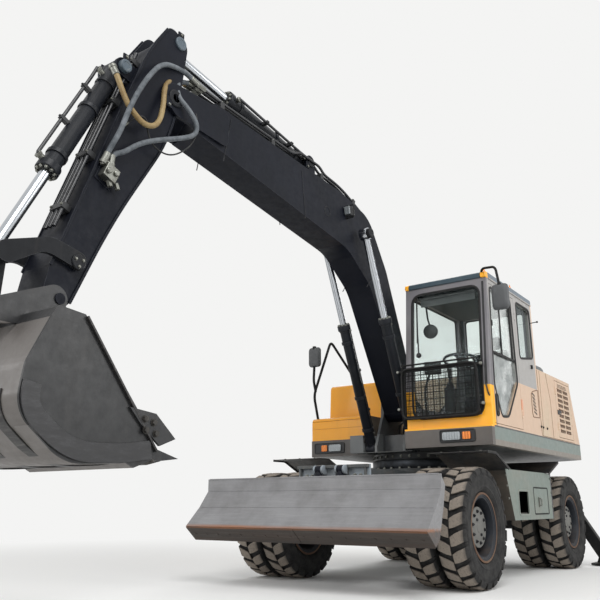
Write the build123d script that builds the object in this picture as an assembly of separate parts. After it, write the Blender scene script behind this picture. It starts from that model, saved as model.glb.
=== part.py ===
from build123d import *
from math import hypot, sqrt
import os

# Wheeled excavator with a mono boom, a dozer blade in front and two outriggers behind.
# Millimetres. +X forward, +Y the machine's left, +Z up. The ground is z = 0 and the
# origin lies on it, in the median plane, below the middle of the machine's length.

# Running gear
FRONT_AXLE_X = -310.0
WHEELBASE = 2765.0
MACHINE_WIDTH = 2510.0
TYRE_R = 527.0
TYRE_WIDTH = 275.0
TYRE_SHOULDER = 45.0
TWIN_PITCH = 321.0
RIM_R = 262.0
RIM_FLANGE_R = 300.0
RIM_FLANGE_T = 14.0
RIM_WALL = 12.0
RIM_DISC_T = 20.0
HUB_R = 165.0
HUB_CAP_R = 95.0
HUB_DEPTH = 165.0
HUB_CAP_T = 60.0
KINGPIN_Y = 545.0
KINGPIN_R = 32.0
KNUCKLE_R = 92.0
KNUCKLE_T = 60.0
STEER_GAP = 6.0
AXLE_TUBE_R = 95.0
AXLE_DIFF_R = 158.0
AXLE_DIFF_HALF_W = 150.0
AXLE_NOSE_R = 75.0
AXLE_NOSE_L = 70.0
AXLE_PAD_W = 150.0
AXLE_PAD_X = 110.0
REAR_STUB_R = 80.0
SHAFT_R = 38.0
GEARBOX_L = 460.0
GEARBOX_W = 320.0
GEARBOX_H = 340.0
FIT = 0.3
CYL_WALL = 10.0
HINGE_R = 9.0
HINGE_L = 90.0
HINGE_LEAF = 8.0
PIN_GAP = 3.0
MOVING_GAP = 6.0

# Chassis
FRAME_HALF_W = 350.0
FRAME_BOTTOM = 690.0
FRAME_TOP = 1045.0
FRAME_WALL = 16.0
PEDESTAL_R = 640.0
RING_R = 600.0
RING_BORE_R = 470.0
RING_BOTTOM = 1100.0
RING_TOP = 1195.0
FRONT_PLATE_T = 25.0
FRONT_PLATE_X = 574.0
FRONT_PLATE_HALF_W = 395.0
FRONT_PLATE_TOP = 1080.0

# Step boxes and mudguards; places are measured rearwards from the front axle
BOX_SIDE_Y = 1210.0
BOX_INNER_Y = 770.0
BOX_TOP = 1060.0
BOX_BOTTOM = 570.0
BOX_FRONT_TOP = 670.0
BOX_FRONT_BOTTOM = 850.0
BOX_REAR = 2120.0
BOX_WALL = 12.0
GUARD_T = 8.0
GUARD_TOP = 1205.0
GUARD_FRONT = 130.0
GUARD_BEND = 340.0
GUARD_REAR = 2330.0
GUARD_INNER_Y = 640.0
STEP_FRONT = 1000.0
STEP_W = 300.0
STEP_H = 230.0
STEP_Z = 625.0
BOX_DOOR_FRONT = 1480.0
BOX_DOOR_W = 470.0
BOX_DOOR_H = 270.0
BOX_DOOR_T = 14.0
BRACKET_T = 20.0

# Blade; the profile's table gives x from the front axle and z above the ground
BLADE_HALF_W = 1255.0
BLADE_PLATE = 16.0
BLADE_PROFILE = (
    (930.0, 962.0),
    (930.0, 845.0),
    (1045.0, 697.0),
    (1225.0, 524.0),
    (1080.0, 403.0),
)
BLADE_END_DEPTH = 75.0
BLADE_PIVOT = (420.0, 560.0)
BLADE_PIN_R = 28.0
BLADE_ARM_T = 30.0
BLADE_ARM_Y = 265.0
BLADE_CYL_Y = 120.0
BLADE_CYL_BASE = (625.0, 1035.0)
BLADE_CYL_EYE = (840.0, 560.0)
BLADE_CYL_L = 450.0
BLADE_CYL_R = 39.0
BLADE_ROD_R = 22.0
BLADE_EYE_R = 38.0

# Outriggers; places are y and z on the left side
OUT_X = 3420.0
OUT_PIVOT = (430.0, 700.0)
OUT_ELBOW = (1085.0, 640.0)
OUT_FOOT = (1400.0, 110.0)
OUT_LEG_T = 110.0
OUT_LEG_H = 150.0
OUT_PIN_R = 30.0
OUT_CYL_BASE = (300.0, 1010.0)
OUT_CYL_EYE = (1030.0, 800.0)
OUT_CYL_R = 48.0
OUT_CYL_L = 455.0
OUT_ROD_R = 25.0
OUT_PAD_W = 300.0
OUT_PAD_L = 260.0
OUT_PAD_T = 22.0
OUT_PAD_LIFT = 12.0

# Upper structure; places are measured from the slew axis
DECK_BOTTOM = 1270.0
DECK_TOP = 1460.0
DECK_FRONT_CAB = 1105.0
DECK_FRONT_MID = 830.0
DECK_FRONT_RIGHT = 490.0
DECK_PLATE = 9.0
SKIRT_T = 16.0
TAIL_R = 2340.0
BODY_TOP = 2225.0
PANEL_T = 14.0
CAB_INNER_Y = 345.0
CAB_FRONT = 1072.0
CAB_REAR = 425.0
CAB_LEAN = 95.0
CAB_KNEE_Z = 1850.0
CAB_TOP = 2975.0
ROOF_H = 60.0
CAB_WALL = 48.0
CAB_FLOOR_T = 40.0
GLASS_T = 6.0
GLASS_IN = 20.0
B_PILLAR_X = 185.0
DOOR_FRONT_IN = 62.0
DOOR_BOTTOM = 1478.0
DOOR_TOP = 2922.0
DOOR_GAP = 6.0
DOOR_GLASS = (
    (900.0, 2885.0, 30.0),
    (290.0, 2885.0, 30.0),
    (255.0, 1960.0, 60.0),
    (600.0, 1580.0, 60.0),
    (800.0, 1560.0, 60.0),
    (950.0, 1860.0, 60.0),
)
SERVICE_FRONT = 1100.0
SERVICE_REAR = 1710.0
SERVICE_BOTTOM = 1500.0
SERVICE_TOP = 2180.0
HOOD_FRONT = 900.0
HOOD_REAR = 1700.0
HOOD_HALF_W = 650.0
HOOD_RISE = 25.0
HOOD_HINGE_Z = 8.0
GUARD_GAP = 25.0
GUARD_BAR = 22.0
GUARD_LOW = 1560.0
GUARD_HIGH = 2075.0
CW_DEPTH = 600.0
CW_TOP = 2150.0
CW_CHAMFER = 190.0
ENGINE_L = 700.0
ENGINE_W = 900.0
ENGINE_H = 560.0
TANK_WALL = 12.0
CW_RECESS = (240.0, 900.0, 60.0)
TANK_FRONT_X = 500.0
TANK_BACK_X = 80.0
TANK_LOW_TOP = 1733.0
TANK_TOP = 2190.0
TANK_INNER_Y = 500.0

# Boom; the outline's table gives x and z from the foot pin and the corner's radius
BOOM_FOOT = (532.5, 1750.0)
BOOM_HALF_W = 150.0
BOOM_WALL = 14.0
BOOM_PIN_R = 45.0
BOOM_BOSS_R = 135.0
BOOM_OUTLINE = (
    (-110.0, 80.0, 0.0),
    (520.0, 1470.0, 500.0),
    (880.0, 1985.0, 350.0),
    (1400.0, 2085.0, 800.0),
    (3380.0, 2165.0, 0.0),
    (3560.0, 1800.0, 0.0),
    (1330.0, 1500.0, 500.0),
    (880.0, 1205.0, 500.0),
    (125.0, -50.0, 0.0),
)
BOOM_TIP = (3850.0, 1960.0)
BOOM_EAR_T = 28.0
BOOM_CYL_BASE = (762.5, 1310.0)
BOOM_CYL_EYE = (1150.0, 1690.0)
BOOM_CYL_Y = 255.0
BOOM_CYL_R = 60.0
BOOM_CYL_L = 1410.0
BOOM_ROD_R = 35.0
ARM_CYL_BASE = (1930.0, 2235.0)
ARM_CYL_R = 72.0
ARM_CYL_L = 1180.0
ARM_ROD_R = 42.0

# Arm; the outline's table gives x and z from the arm's pivot and the corner's radius
ARM_HALF_W = 138.0
ARM_WALL = 12.0
ARM_PIN_R = 45.0
ARM_OUTLINE = (
    (-140.0, 560.0, 85.0),
    (60.0, 640.0, 85.0),
    (259.0, 310.0, 200.0),
    (455.0, -228.0, 900.0),
    (921.0, -1590.0, 60.0),
    (960.0, -1800.0, 90.0),
    (860.0, -1895.0, 90.0),
    (760.0, -1800.0, 60.0),
    (483.0, -1169.0, 900.0),
    (30.0, -376.0, 500.0),
    (-85.0, 100.0, 400.0),
)
ARM_CYL_EYE = (-54.0, 533.0)
ARM_SLOT_Z = 345.0
ARM_EAR_T = 30.0
BUCKET_CYL_BASE = (453.0, 59.0)
BUCKET_CYL_R = 68.0
BUCKET_CYL_L = 1100.0
BUCKET_ROD_R = 38.0
ROCKER_PIN = (744.0, -1533.0)
ROCKER_END = (1246.0, -1614.0)
ROCKER_T = 30.0
BUCKET_PIN = (860.0, -1800.0)
BUCKET_PIN_R = 35.0

# Bucket; the outline's table gives x and z from the bucket's pin and the corner's radius
BUCKET_HALF_W = 500.0
BUCKET_PLATE = 17.0
BUCKET_OUTLINE = (
    (41.0, -154.0, 0.0),
    (-389.0, -650.0, 0.0),
    (-552.0, -905.0, 0.0),
    (-300.0, -962.0, 200.0),
    (100.0, -985.0, 330.0),
    (420.0, -730.0, 200.0),
    (390.0, -480.0, 200.0),
    (230.0, -138.0, 30.0),
)
BUCKET_LINK_PIN = (400.0, -150.0)
BUCKET_EAR_T = 38.0
TOOTH_COUNT = 5
TOOTH_W = 75.0
LINK_T = 36.0
LINK_INNER = 72.0
BUCKET_MOUTH = (
    (41.0, -176.0),
    (-560.0, -870.0),
    (-900.0, -700.0),
    (-300.0, 100.0),
)
BUCKET_LIP = (
    (-540.0, -868.0),
    (-600.0, -905.0),
    (-380.0, -985.0),
    (-300.0, -945.0),
)
BUCKET_TOOTH = (
    (-740.0, -917.0),
    (-560.0, -870.0),
    (-500.0, -905.0),
    (-560.0, -940.0),
)
SIDE_CUTTER = (
    (-310.0, -640.0),
    (-520.0, -660.0),
    (-690.0, -800.0),
    (-560.0, -850.0),
    (-400.0, -730.0),
)


def block(x0, x1, y0, y1, z0, z1):
    """Box between two corners."""
    middle = Pos((x0 + x1) / 2, (y0 + y1) / 2, (z0 + z1) / 2)
    return middle * Box(abs(x1 - x0), abs(y1 - y0), abs(z1 - z0))


def outline(points):
    """Closed face from rows of two places and an optional corner radius."""
    corners = [(row[0], row[1]) for row in points]
    radii = [row[2] if len(row) > 2 else 0.0 for row in points]
    return make_face(FilletPolyline(*corners, radius=radii, close=True))


def side_plate(points, y0, y1):
    """Prism with its outline in x and z, from y0 to y1."""
    return extrude(Plane.XZ.offset(-y1) * outline(points), amount=y1 - y0)


def plan_plate(points, z0, z1):
    """Prism with its outline in x and y, from z0 to z1."""
    return extrude(Plane.XY.offset(z0) * outline(points), amount=z1 - z0)


def front_plate(points, x0, x1):
    """Prism with its outline in y and z, from x0 to x1."""
    return extrude(Plane.YZ.offset(x0) * outline(points), amount=x1 - x0)


def bar(start, end, radius):
    """Round bar between two points."""
    a = Vector(*start)
    b = Vector(*end)
    plane = Plane(origin=a, z_dir=b - a)
    return plane * Cylinder(radius, (b - a).length, align=(Align.CENTER, Align.CENTER, Align.MIN))


def tube(start, end, outer, inner):
    """Round tube between two points."""
    return bar(start, end, outer) - bar(start, end, inner)


def cross_pin(place, y0, y1, radius):
    """Round bar along y at a place in x and z."""
    return bar((place[0], y0, place[1]), (place[0], y1, place[1]), radius)


def shifted(points, dx, dz):
    """Table rows moved by dx and dz, with their radii kept."""
    return [(row[0] + dx, row[1] + dz) + tuple(row[2:]) for row in points]


def at(origin, place):
    """Sum of two places in a plane."""
    return (origin[0] + place[0], origin[1] + place[1])


def strap(a, b, width):
    """Rows of a straight bar's outline with round ends, from a to b."""
    length = hypot(b[0] - a[0], b[1] - a[1])
    ux, uz = (b[0] - a[0]) / length, (b[1] - a[1]) / length
    r = width / 2
    corners = [(-r, r), (length + r, r), (length + r, -r), (-r, -r)]
    return [(a[0] + ux * s - uz * t, a[1] + uz * s + ux * t, r * 0.98) for s, t in corners]


def mirror_y(shape):
    """Copy on the machine's other side."""
    return mirror(shape, about=Plane.XZ)


def joined(*shapes):
    """One shape from several."""
    total = shapes[0]
    for shape in shapes[1:]:
        total = total + shape
    return total


def kept(name, shape):
    """Write one node, its solids in a compound."""
    solids = list(shape.solids())
    body = solids[0] if len(solids) == 1 else Compound(children=solids)
    export_step(body, f"parts/{name}.step")


def between(a, b, distance):
    """Point at a distance from a towards b."""
    length = sqrt(sum((q - p) ** 2 for p, q in zip(a, b)))
    return tuple(p + (q - p) * distance / length for p, q in zip(a, b))


def barrel(base, eye, radius, length, rod_r, eye_w, pin_r, side):
    """Cylinder barrel from its base pin to its gland. side is the pins' direction."""
    gland = between(base, eye, length)
    head = between(base, eye, length - 70.0)
    foot = between(base, eye, radius * 1.25)
    floor = between(base, eye, radius * 1.25 + 20.0)
    half = Vector(*side) * (eye_w / 2)
    a = Vector(*base) - half
    b = Vector(*base) + half
    shell = bar(foot, head, radius) - bar(floor, head, radius - CYL_WALL)
    shell = shell + (bar(head, gland, radius * 1.1) - bar(head, gland, rod_r + FIT))
    shell = shell + bar(base, floor, min(eye_w / 2, radius) * 0.98)
    lug = bar(tuple(a), tuple(b), radius * 1.05)
    return shell + lug - bar(tuple(a - half), tuple(b + half), pin_r + FIT)


def piston_rod(base, eye, radius, inner_from_base, eye_r, eye_w, side, bore_r):
    """Rod with its eye and its piston. inner_from_base is where the piston starts."""
    start = between(base, eye, inner_from_base)
    crown = between(base, eye, inner_from_base + 50.0)
    half = Vector(*side) * (eye_w / 2)
    a = Vector(*eye) - half
    b = Vector(*eye) + half
    return bar(start, eye, radius) + bar(start, crown, bore_r) + bar(tuple(a), tuple(b), eye_r)


REAR_AXLE_X = FRONT_AXLE_X - WHEELBASE
SLEW_X = FRONT_AXLE_X - WHEELBASE / 2
HUB_Z = TYRE_R
OUTER_TYRE_Y = MACHINE_WIDTH / 2 - TYRE_WIDTH / 2 - 7.0
INNER_TYRE_Y = OUTER_TYRE_Y - TWIN_PITCH
HALF_W = MACHINE_WIDTH / 2
CW_FRONT = TAIL_R - CW_DEPTH
ROOF_TOP = CAB_TOP + ROOF_H
FOOT = at((SLEW_X, 0.0), BOOM_FOOT)
TIP = at(FOOT, BOOM_TIP)
CYL_SIDE = (0.0, 1.0, 0.0)
OUT_SIDE = (1.0, 0.0, 0.0)


def spin_about_y(profile, axle_x):
    """Ring round a wheel's axis from rows of radius and y."""
    face = make_face(FilletPolyline(*[(r, y) for r, y, c in profile],
                                    radius=[c for r, y, c in profile], close=True))
    ring = revolve(Plane.XY * face, axis=Axis.Y)
    return Pos(axle_x, 0, HUB_Z) * ring


def tyre_profile(centre_y):
    """Rows of radius, y and corner radius of one tyre."""
    half = TYRE_WIDTH / 2
    bead = RIM_R + FIT
    seat = half - 25.0
    side = TYRE_SHOULDER
    return (
        (bead, centre_y - seat + RIM_FLANGE_T, 0.0),
        (RIM_FLANGE_R + 5.0, centre_y - seat + RIM_FLANGE_T, 8.0),
        (RIM_FLANGE_R + 10.0, centre_y - half, 30.0),
        (TYRE_R, centre_y - half, side),
        (TYRE_R, centre_y + half, side),
        (RIM_FLANGE_R + 10.0, centre_y + half, 30.0),
        (RIM_FLANGE_R + 5.0, centre_y + seat - RIM_FLANGE_T, 8.0),
        (bead, centre_y + seat - RIM_FLANGE_T, 0.0),
    )


def twin_tyres(axle_x):
    """Two tyres of one wheel on the left side."""
    return [spin_about_y(tyre_profile(y), axle_x) for y in (INNER_TYRE_Y, OUTER_TYRE_Y)]


def rim_ring(centre_y):
    """Rows of one rim's barrel with its two flanges."""
    half = TYRE_WIDTH / 2 - 25.0
    inner = RIM_R - RIM_WALL
    flange = RIM_FLANGE_T
    return (
        (inner, centre_y - half, 0.0),
        (RIM_FLANGE_R, centre_y - half, 0.0),
        (RIM_FLANGE_R, centre_y - half + flange - 1.0, 0.0),
        (RIM_R, centre_y - half + flange - 1.0, 0.0),
        (RIM_R, centre_y + half - flange + 1.0, 0.0),
        (RIM_FLANGE_R, centre_y + half - flange + 1.0, 0.0),
        (RIM_FLANGE_R, centre_y + half, 0.0),
        (inner, centre_y + half, 0.0),
    )


def twin_rims(axle_x):
    """Two rims with their disc, spacer and hub on the left side."""
    rims = joined(*[spin_about_y(rim_ring(y), axle_x) for y in (INNER_TYRE_Y, OUTER_TYRE_Y)])
    half = TYRE_WIDTH / 2 - 25.0
    hub_y = HALF_W - 57.0 - HUB_DEPTH
    place = (axle_x, HUB_Z)
    spacer = cross_pin(place, INNER_TYRE_Y + half - 5, OUTER_TYRE_Y - half + 5, RIM_R - 2)
    spacer = spacer - cross_pin(place, INNER_TYRE_Y, OUTER_TYRE_Y, RIM_R - RIM_WALL)
    disc = cross_pin(place, hub_y - RIM_DISC_T * 2, hub_y - RIM_DISC_T, RIM_R - 5)
    hub = cross_pin(place, hub_y - RIM_DISC_T * 1.5, hub_y, HUB_R)
    cap = cross_pin(place, hub_y - 5, hub_y + HUB_CAP_T, HUB_CAP_R)
    seat = cross_pin(place, hub_y - RIM_DISC_T * 2 - 120.0, hub_y - RIM_DISC_T * 1.5, HUB_R)
    bore = cross_pin(place, hub_y - RIM_DISC_T * 2 - 130.0, hub_y - RIM_DISC_T, REAR_STUB_R + FIT)
    return joined(rims, spacer, disc, hub, cap, seat) - bore


def hub_seat_y():
    """Where a wheel's bore ends on its stub axle, on the left side."""
    return HALF_W - 57.0 - HUB_DEPTH - RIM_DISC_T - 1.0


def axle_beam(axle_x, half_w):
    """Tube with its differential housing and spring pads."""
    place = (axle_x, HUB_Z)
    beam = cross_pin(place, -half_w, half_w, AXLE_TUBE_R)
    ball = cross_pin(place, -AXLE_DIFF_HALF_W, AXLE_DIFF_HALF_W, AXLE_DIFF_R)
    cones = [Pos(axle_x, s * (AXLE_DIFF_HALF_W + 60), HUB_Z) * Rot(90 * -s, 0, 0)
             * Cone(AXLE_DIFF_R, AXLE_TUBE_R, 120) for s in (-1, 1)]
    pads = [block(axle_x - AXLE_PAD_X, axle_x + AXLE_PAD_X, s * FRAME_HALF_W,
                  s * (FRAME_HALF_W - AXLE_PAD_W), HUB_Z, FRAME_BOTTOM) for s in (-1, 1)]
    nose_end = axle_x + (AXLE_DIFF_R + AXLE_NOSE_L) * (1 if axle_x < SLEW_X else -1)
    nose = bar((axle_x, 0, HUB_Z), (nose_end, 0, HUB_Z), AXLE_NOSE_R)
    return joined(beam, ball, nose, *cones, *pads)


def front_axle():
    """Steered axle's beam with a fork end round each kingpin."""
    reach = KINGPIN_Y + 40.0
    beam = axle_beam(FRONT_AXLE_X, KINGPIN_Y - KNUCKLE_R - 20.0)
    for side in (-1, 1):
        for z in (-KNUCKLE_R - KNUCKLE_T - STEER_GAP, KNUCKLE_R + STEER_GAP):
            beam = beam + block(FRONT_AXLE_X - 55, FRONT_AXLE_X + 55, side * (KINGPIN_Y - 130.0),
                                side * reach, HUB_Z + z, HUB_Z + z + KNUCKLE_T)
        yoke = block(FRONT_AXLE_X - 55, FRONT_AXLE_X + 55, side * (KINGPIN_Y - 150.0),
                     side * (KINGPIN_Y - KNUCKLE_R - 15.0), HUB_Z - KNUCKLE_R - KNUCKLE_T,
                     HUB_Z + KNUCKLE_R + KNUCKLE_T)
        pin = bar((FRONT_AXLE_X, side * KINGPIN_Y, HUB_Z - KNUCKLE_R - KNUCKLE_T),
                  (FRONT_AXLE_X, side * KINGPIN_Y, HUB_Z + KNUCKLE_R + KNUCKLE_T), KINGPIN_R)
        beam = beam + yoke + pin
    return beam


def knuckle():
    """Left steering knuckle with its stub for the twin wheel."""
    axis = (FRONT_AXLE_X, KINGPIN_Y)
    post = bar((axis[0], axis[1], HUB_Z - KNUCKLE_R), (axis[0], axis[1], HUB_Z + KNUCKLE_R),
               KNUCKLE_R - 12.0)
    stub = cross_pin((FRONT_AXLE_X, HUB_Z), KINGPIN_Y, hub_seat_y(), REAR_STUB_R)
    bore = bar((axis[0], axis[1], HUB_Z - 2 * KNUCKLE_R), (axis[0], axis[1], HUB_Z + 2 * KNUCKLE_R),
               KINGPIN_R + FIT)
    return post + stub - bore


def rear_axle():
    """Driven rear axle, its tube ends as stubs for the twin wheels."""
    beam = axle_beam(REAR_AXLE_X, KINGPIN_Y)
    return beam + cross_pin((REAR_AXLE_X, HUB_Z), -hub_seat_y(), hub_seat_y(), REAR_STUB_R)


def drive_line():
    """Gearbox under the frame with a shaft to each axle's nose."""
    box = block(SLEW_X - GEARBOX_L / 2, SLEW_X + GEARBOX_L / 2, -GEARBOX_W / 2, GEARBOX_W / 2,
                FRAME_BOTTOM - GEARBOX_H, FRAME_BOTTOM)
    reach = AXLE_DIFF_R + AXLE_NOSE_L
    shaft = bar((REAR_AXLE_X + reach, 0, HUB_Z), (FRONT_AXLE_X - reach, 0, HUB_Z), SHAFT_R)
    return box + shaft


def hollow_block(x0, x1, y0, y1, z0, z1, wall):
    """Closed box made of plate."""
    inner = block(x0 + wall, x1 - wall, y0 + wall, y1 - wall, z0 + wall, z1 - wall)
    return block(x0, x1, y0, y1, z0, z1) - inner


def pin_ears(place, middle_y, gap, thickness, radius, root, pin_r):
    """Two ears with their pin, side by side along y, reaching from a pin to a root place."""
    ears = []
    for side in (-1, 1):
        inner = middle_y + side * gap / 2
        outer = middle_y + side * (gap / 2 + thickness)
        low, high = min(inner, outer), max(inner, outer)
        ears.append(side_plate(strap(place, root, radius * 2), low, high))
    if pin_r > 0:
        reach = gap / 2 + thickness
        ears.append(cross_pin(place, middle_y - reach, middle_y + reach, pin_r))
    return ears


def hinge_parts(start, end):
    """Fixed knuckles with their pin, the moving knuckle, and the room cleared round both."""
    length = (Vector(*end) - Vector(*start)).length
    gap = 0.5
    low = between(start, end, length / 3)
    high = between(start, end, length * 2 / 3)
    fixed = joined(bar(start, low, HINGE_R), bar(high, end, HINGE_R), bar(start, end, HINGE_R * 0.5))
    moving = bar(between(start, end, length / 3 + gap), between(start, end, length * 2 / 3 - gap), HINGE_R)
    moving = moving - bar(start, end, HINGE_R * 0.5 + FIT)
    room = bar(between(start, end, -2.0), between(start, end, length + 2.0), HINGE_R + 2.0)
    return fixed, moving, room


def side_hinges(carrier, door, x, face_y, heights):
    """Carrier and door with upright hinges. The door lies behind x, the carrier ahead."""
    for z in heights:
        third = HINGE_L / 3
        fixed, moving, room = hinge_parts((x, face_y, z), (x, face_y, z + HINGE_L))
        leaf_y = face_y - HINGE_LEAF
        for z0 in (z, z + 2 * third):
            fixed = fixed + block(x + 2, x + 32, leaf_y, face_y, z0, z0 + third)
        leaf = block(x - 32, x - HINGE_R * 0.5 - 1, leaf_y, face_y, z + third + 1, z + 2 * third - 1)
        carrier = carrier - room + fixed
        door = door - room + moving + leaf
    return carrier, door


def out_plates():
    """Two plates across the frame's rear end that hold the outriggers."""
    half_t = OUT_LEG_T / 2 + MOVING_GAP
    x = FRONT_AXLE_X - OUT_X
    rows = (
        (-OUT_PIVOT[0] - 90, OUT_PIVOT[1] - 70, 40.0),
        (OUT_PIVOT[0] + 90, OUT_PIVOT[1] - 70, 40.0),
        (OUT_PIVOT[0] + 90, OUT_PIVOT[1] + 120, 40.0),
        (OUT_CYL_BASE[0] + 80, OUT_CYL_BASE[1] + 70, 40.0),
        (-OUT_CYL_BASE[0] - 80, OUT_CYL_BASE[1] + 70, 40.0),
        (-OUT_PIVOT[0] - 90, OUT_PIVOT[1] + 120, 40.0),
    )
    plates = [front_plate(rows, x + half_t, x + half_t + BRACKET_T),
              front_plate(rows, x - half_t - BRACKET_T, x - half_t)]
    for place, radius in ((OUT_PIVOT, OUT_PIN_R), (OUT_CYL_BASE, OUT_PIN_R)):
        for side in (-1, 1):
            plates.append(bar((x - half_t - BRACKET_T, side * place[0], place[1]),
                              (x + half_t + BRACKET_T, side * place[0], place[1]), radius))
    return plates


def chassis_frame():
    """Box frame with pedestal, front plate, blade ears and outrigger plates."""
    front = FRONT_AXLE_X + FRONT_PLATE_X
    rear = FRONT_AXLE_X - OUT_X + OUT_LEG_T / 2 + MOVING_GAP
    frame = hollow_block(rear, front - FRONT_PLATE_T, -FRAME_HALF_W, FRAME_HALF_W,
                         FRAME_BOTTOM, FRAME_TOP, FRAME_WALL)
    plate = block(front - FRONT_PLATE_T, front, -FRONT_PLATE_HALF_W, FRONT_PLATE_HALF_W,
                  FRAME_BOTTOM, FRONT_PLATE_TOP)
    pedestal = bar((SLEW_X, 0, FRAME_TOP - FRAME_WALL), (SLEW_X, 0, RING_BOTTOM), PEDESTAL_R)
    pedestal = pedestal - bar((SLEW_X, 0, FRAME_TOP), (SLEW_X, 0, RING_BOTTOM + 1), RING_BORE_R)
    frame = joined(frame, plate, pedestal, *out_plates())
    pivot = at((FRONT_AXLE_X, 0.0), BLADE_PIVOT)
    gap = BLADE_ARM_T + 2 * PIN_GAP
    for side in (-1, 1):
        frame = joined(frame, *pin_ears(pivot, side * BLADE_ARM_Y, gap, BRACKET_T, 55.0,
                                        (pivot[0], FRAME_BOTTOM + 60.0), BLADE_PIN_R))
        base = at((FRONT_AXLE_X, 0.0), BLADE_CYL_BASE)
        frame = joined(frame, *pin_ears(base, side * BLADE_CYL_Y, 66.0, BRACKET_T, 42.0,
                                        (front - 5.0, base[1]), 22.0))
    for side in (-1, 1):
        for x in (BOX_FRONT_BOTTOM + 60.0, BOX_REAR - 90.0):
            y = side * (BOX_INNER_Y - FIT)
            frame = frame + block(FRONT_AXLE_X - x, FRONT_AXLE_X - x - 60.0,
                                  side * (FRAME_HALF_W - 2.0), y, 800.0, 880.0)
    return frame


def slew_ring():
    """Fixed outer ring of the slew bearing."""
    return tube((SLEW_X, 0, RING_BOTTOM), (SLEW_X, 0, RING_TOP), RING_R, RING_BORE_R)


def box_rows():
    """Rows of a step box's side outline."""
    x = FRONT_AXLE_X
    return ((x - BOX_FRONT_TOP, BOX_TOP), (x - BOX_REAR, BOX_TOP),
            (x - BOX_REAR, BOX_BOTTOM), (x - BOX_FRONT_BOTTOM, BOX_BOTTOM))


def box_hole(x0, width, z0, height):
    """Opening through a step box's outer wall, on the left side."""
    x = FRONT_AXLE_X - x0
    return block(x - width, x, BOX_SIDE_Y - 3 * BOX_WALL, BOX_SIDE_Y + BOX_WALL, z0, z0 + height)


def step_box():
    """Left step box with the mudguard over each wheel."""
    x = FRONT_AXLE_X
    w = BOX_WALL
    box = side_plate(box_rows(), BOX_INNER_Y, BOX_SIDE_Y)
    slope = (BOX_FRONT_BOTTOM - BOX_FRONT_TOP) / (BOX_TOP - BOX_BOTTOM)
    inner = ((x - BOX_FRONT_TOP - w - slope * w, BOX_TOP - w), (x - BOX_REAR + w, BOX_TOP - w),
             (x - BOX_REAR + w, BOX_BOTTOM + w), (x - BOX_FRONT_BOTTOM - w + slope * w, BOX_BOTTOM + w))
    box = box - side_plate(inner, BOX_INNER_Y + w, BOX_SIDE_Y - w)
    box = box - box_hole(STEP_FRONT, STEP_W, STEP_Z, STEP_H)
    box = box - box_hole(BOX_DOOR_FRONT, BOX_DOOR_W, STEP_Z, BOX_DOOR_H)
    box = box_door_pair(box)[0]
    t = GUARD_T
    front = ((x - GUARD_FRONT, GUARD_TOP), (x - GUARD_BEND, GUARD_TOP), (x - BOX_FRONT_TOP - 30, BOX_TOP),
             (x - BOX_FRONT_TOP, BOX_TOP), (x - GUARD_BEND, GUARD_TOP - t), (x - GUARD_FRONT, GUARD_TOP - t))
    rear = ((x - GUARD_REAR, GUARD_TOP), (x - BOX_REAR + 190, BOX_TOP), (x - BOX_REAR + 160, BOX_TOP),
            (x - GUARD_REAR, GUARD_TOP - t * 1.5))
    return joined(box, side_plate(front, GUARD_INNER_Y, HALF_W), side_plate(rear, GUARD_INNER_Y, HALF_W))


def box_door_pair(box):
    """A step box's shape with the small door's fixed hinges, and the door."""
    x = FRONT_AXLE_X - BOX_DOOR_FRONT
    g = DOOR_GAP
    door = block(x - BOX_DOOR_W + g, x - g, BOX_SIDE_Y - BOX_DOOR_T, BOX_SIDE_Y,
                 STEP_Z + g, STEP_Z + BOX_DOOR_H - g)
    return side_hinges(box, door, x - g / 2, BOX_SIDE_Y, (STEP_Z + BOX_DOOR_H / 2 - HINGE_L / 2,))


def box_door():
    """Small hinged door in the left step box."""
    spare = block(FRONT_AXLE_X, FRONT_AXLE_X + 1, 0, 1, 0, 1)
    return box_door_pair(spare)[1]


def blade():
    """Mouldboard with its cutting edge, end plates, arms and cylinder ears."""
    x0 = FRONT_AXLE_X
    face = [(x + x0, z) for x, z in BLADE_PROFILE]
    t = BLADE_PLATE
    back = [(face[0][0] - t, face[0][1]), (face[1][0] - t, face[1][1] - t * 0.4),
            (face[2][0] - t, face[2][1] - t), (face[3][0] - 90, face[3][1] - 20), face[4]]
    board = side_plate(face[:4] + [face[4]] + back[3::-1], -BLADE_HALF_W, BLADE_HALF_W)
    ends = []
    for side in (-1, 1):
        y0, y1 = sorted((side * (BLADE_HALF_W - t), side * BLADE_HALF_W))
        rows = [face[0], face[1], face[2], face[3], face[4],
                (face[4][0] - BLADE_END_DEPTH, face[4][1] + 60), (face[2][0] - BLADE_END_DEPTH - 60, face[2][1]),
                (face[0][0] - BLADE_END_DEPTH, face[0][1] - 90)]
        ends.append(side_plate(rows, y0, y1))
    pivot = at((x0, 0.0), BLADE_PIVOT)
    root = (face[2][0] - 10.0, 600.0)
    arms = []
    for side in (-1, 1):
        y = side * BLADE_ARM_Y
        arm = side_plate(strap(pivot, root, 100.0), y - BLADE_ARM_T / 2, y + BLADE_ARM_T / 2)
        arms.append(arm - cross_pin(pivot, y - BLADE_ARM_T, y + BLADE_ARM_T, BLADE_PIN_R + FIT))
    eye = at((x0, 0.0), BLADE_CYL_EYE)
    beam = cross_pin((eye[0] + 110.0, eye[1] + 10.0), -BLADE_ARM_Y, BLADE_ARM_Y, 45.0)
    ears = []
    for side in (-1, 1):
        ears += pin_ears(eye, side * BLADE_CYL_Y, 78.0, BRACKET_T, 42.0,
                         (eye[0] + 120.0, eye[1] + 10.0), 0.0)
    rib = block(x0 + 1000.0, x0 + 1040.0, -BLADE_ARM_Y, BLADE_ARM_Y, 560.0, 640.0)
    return joined(board, *ends, *arms, beam, *ears, rib)


def twin(make):
    """Left and right copies of a shape in one node."""
    left = make()
    return left + mirror_y(left)


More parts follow.
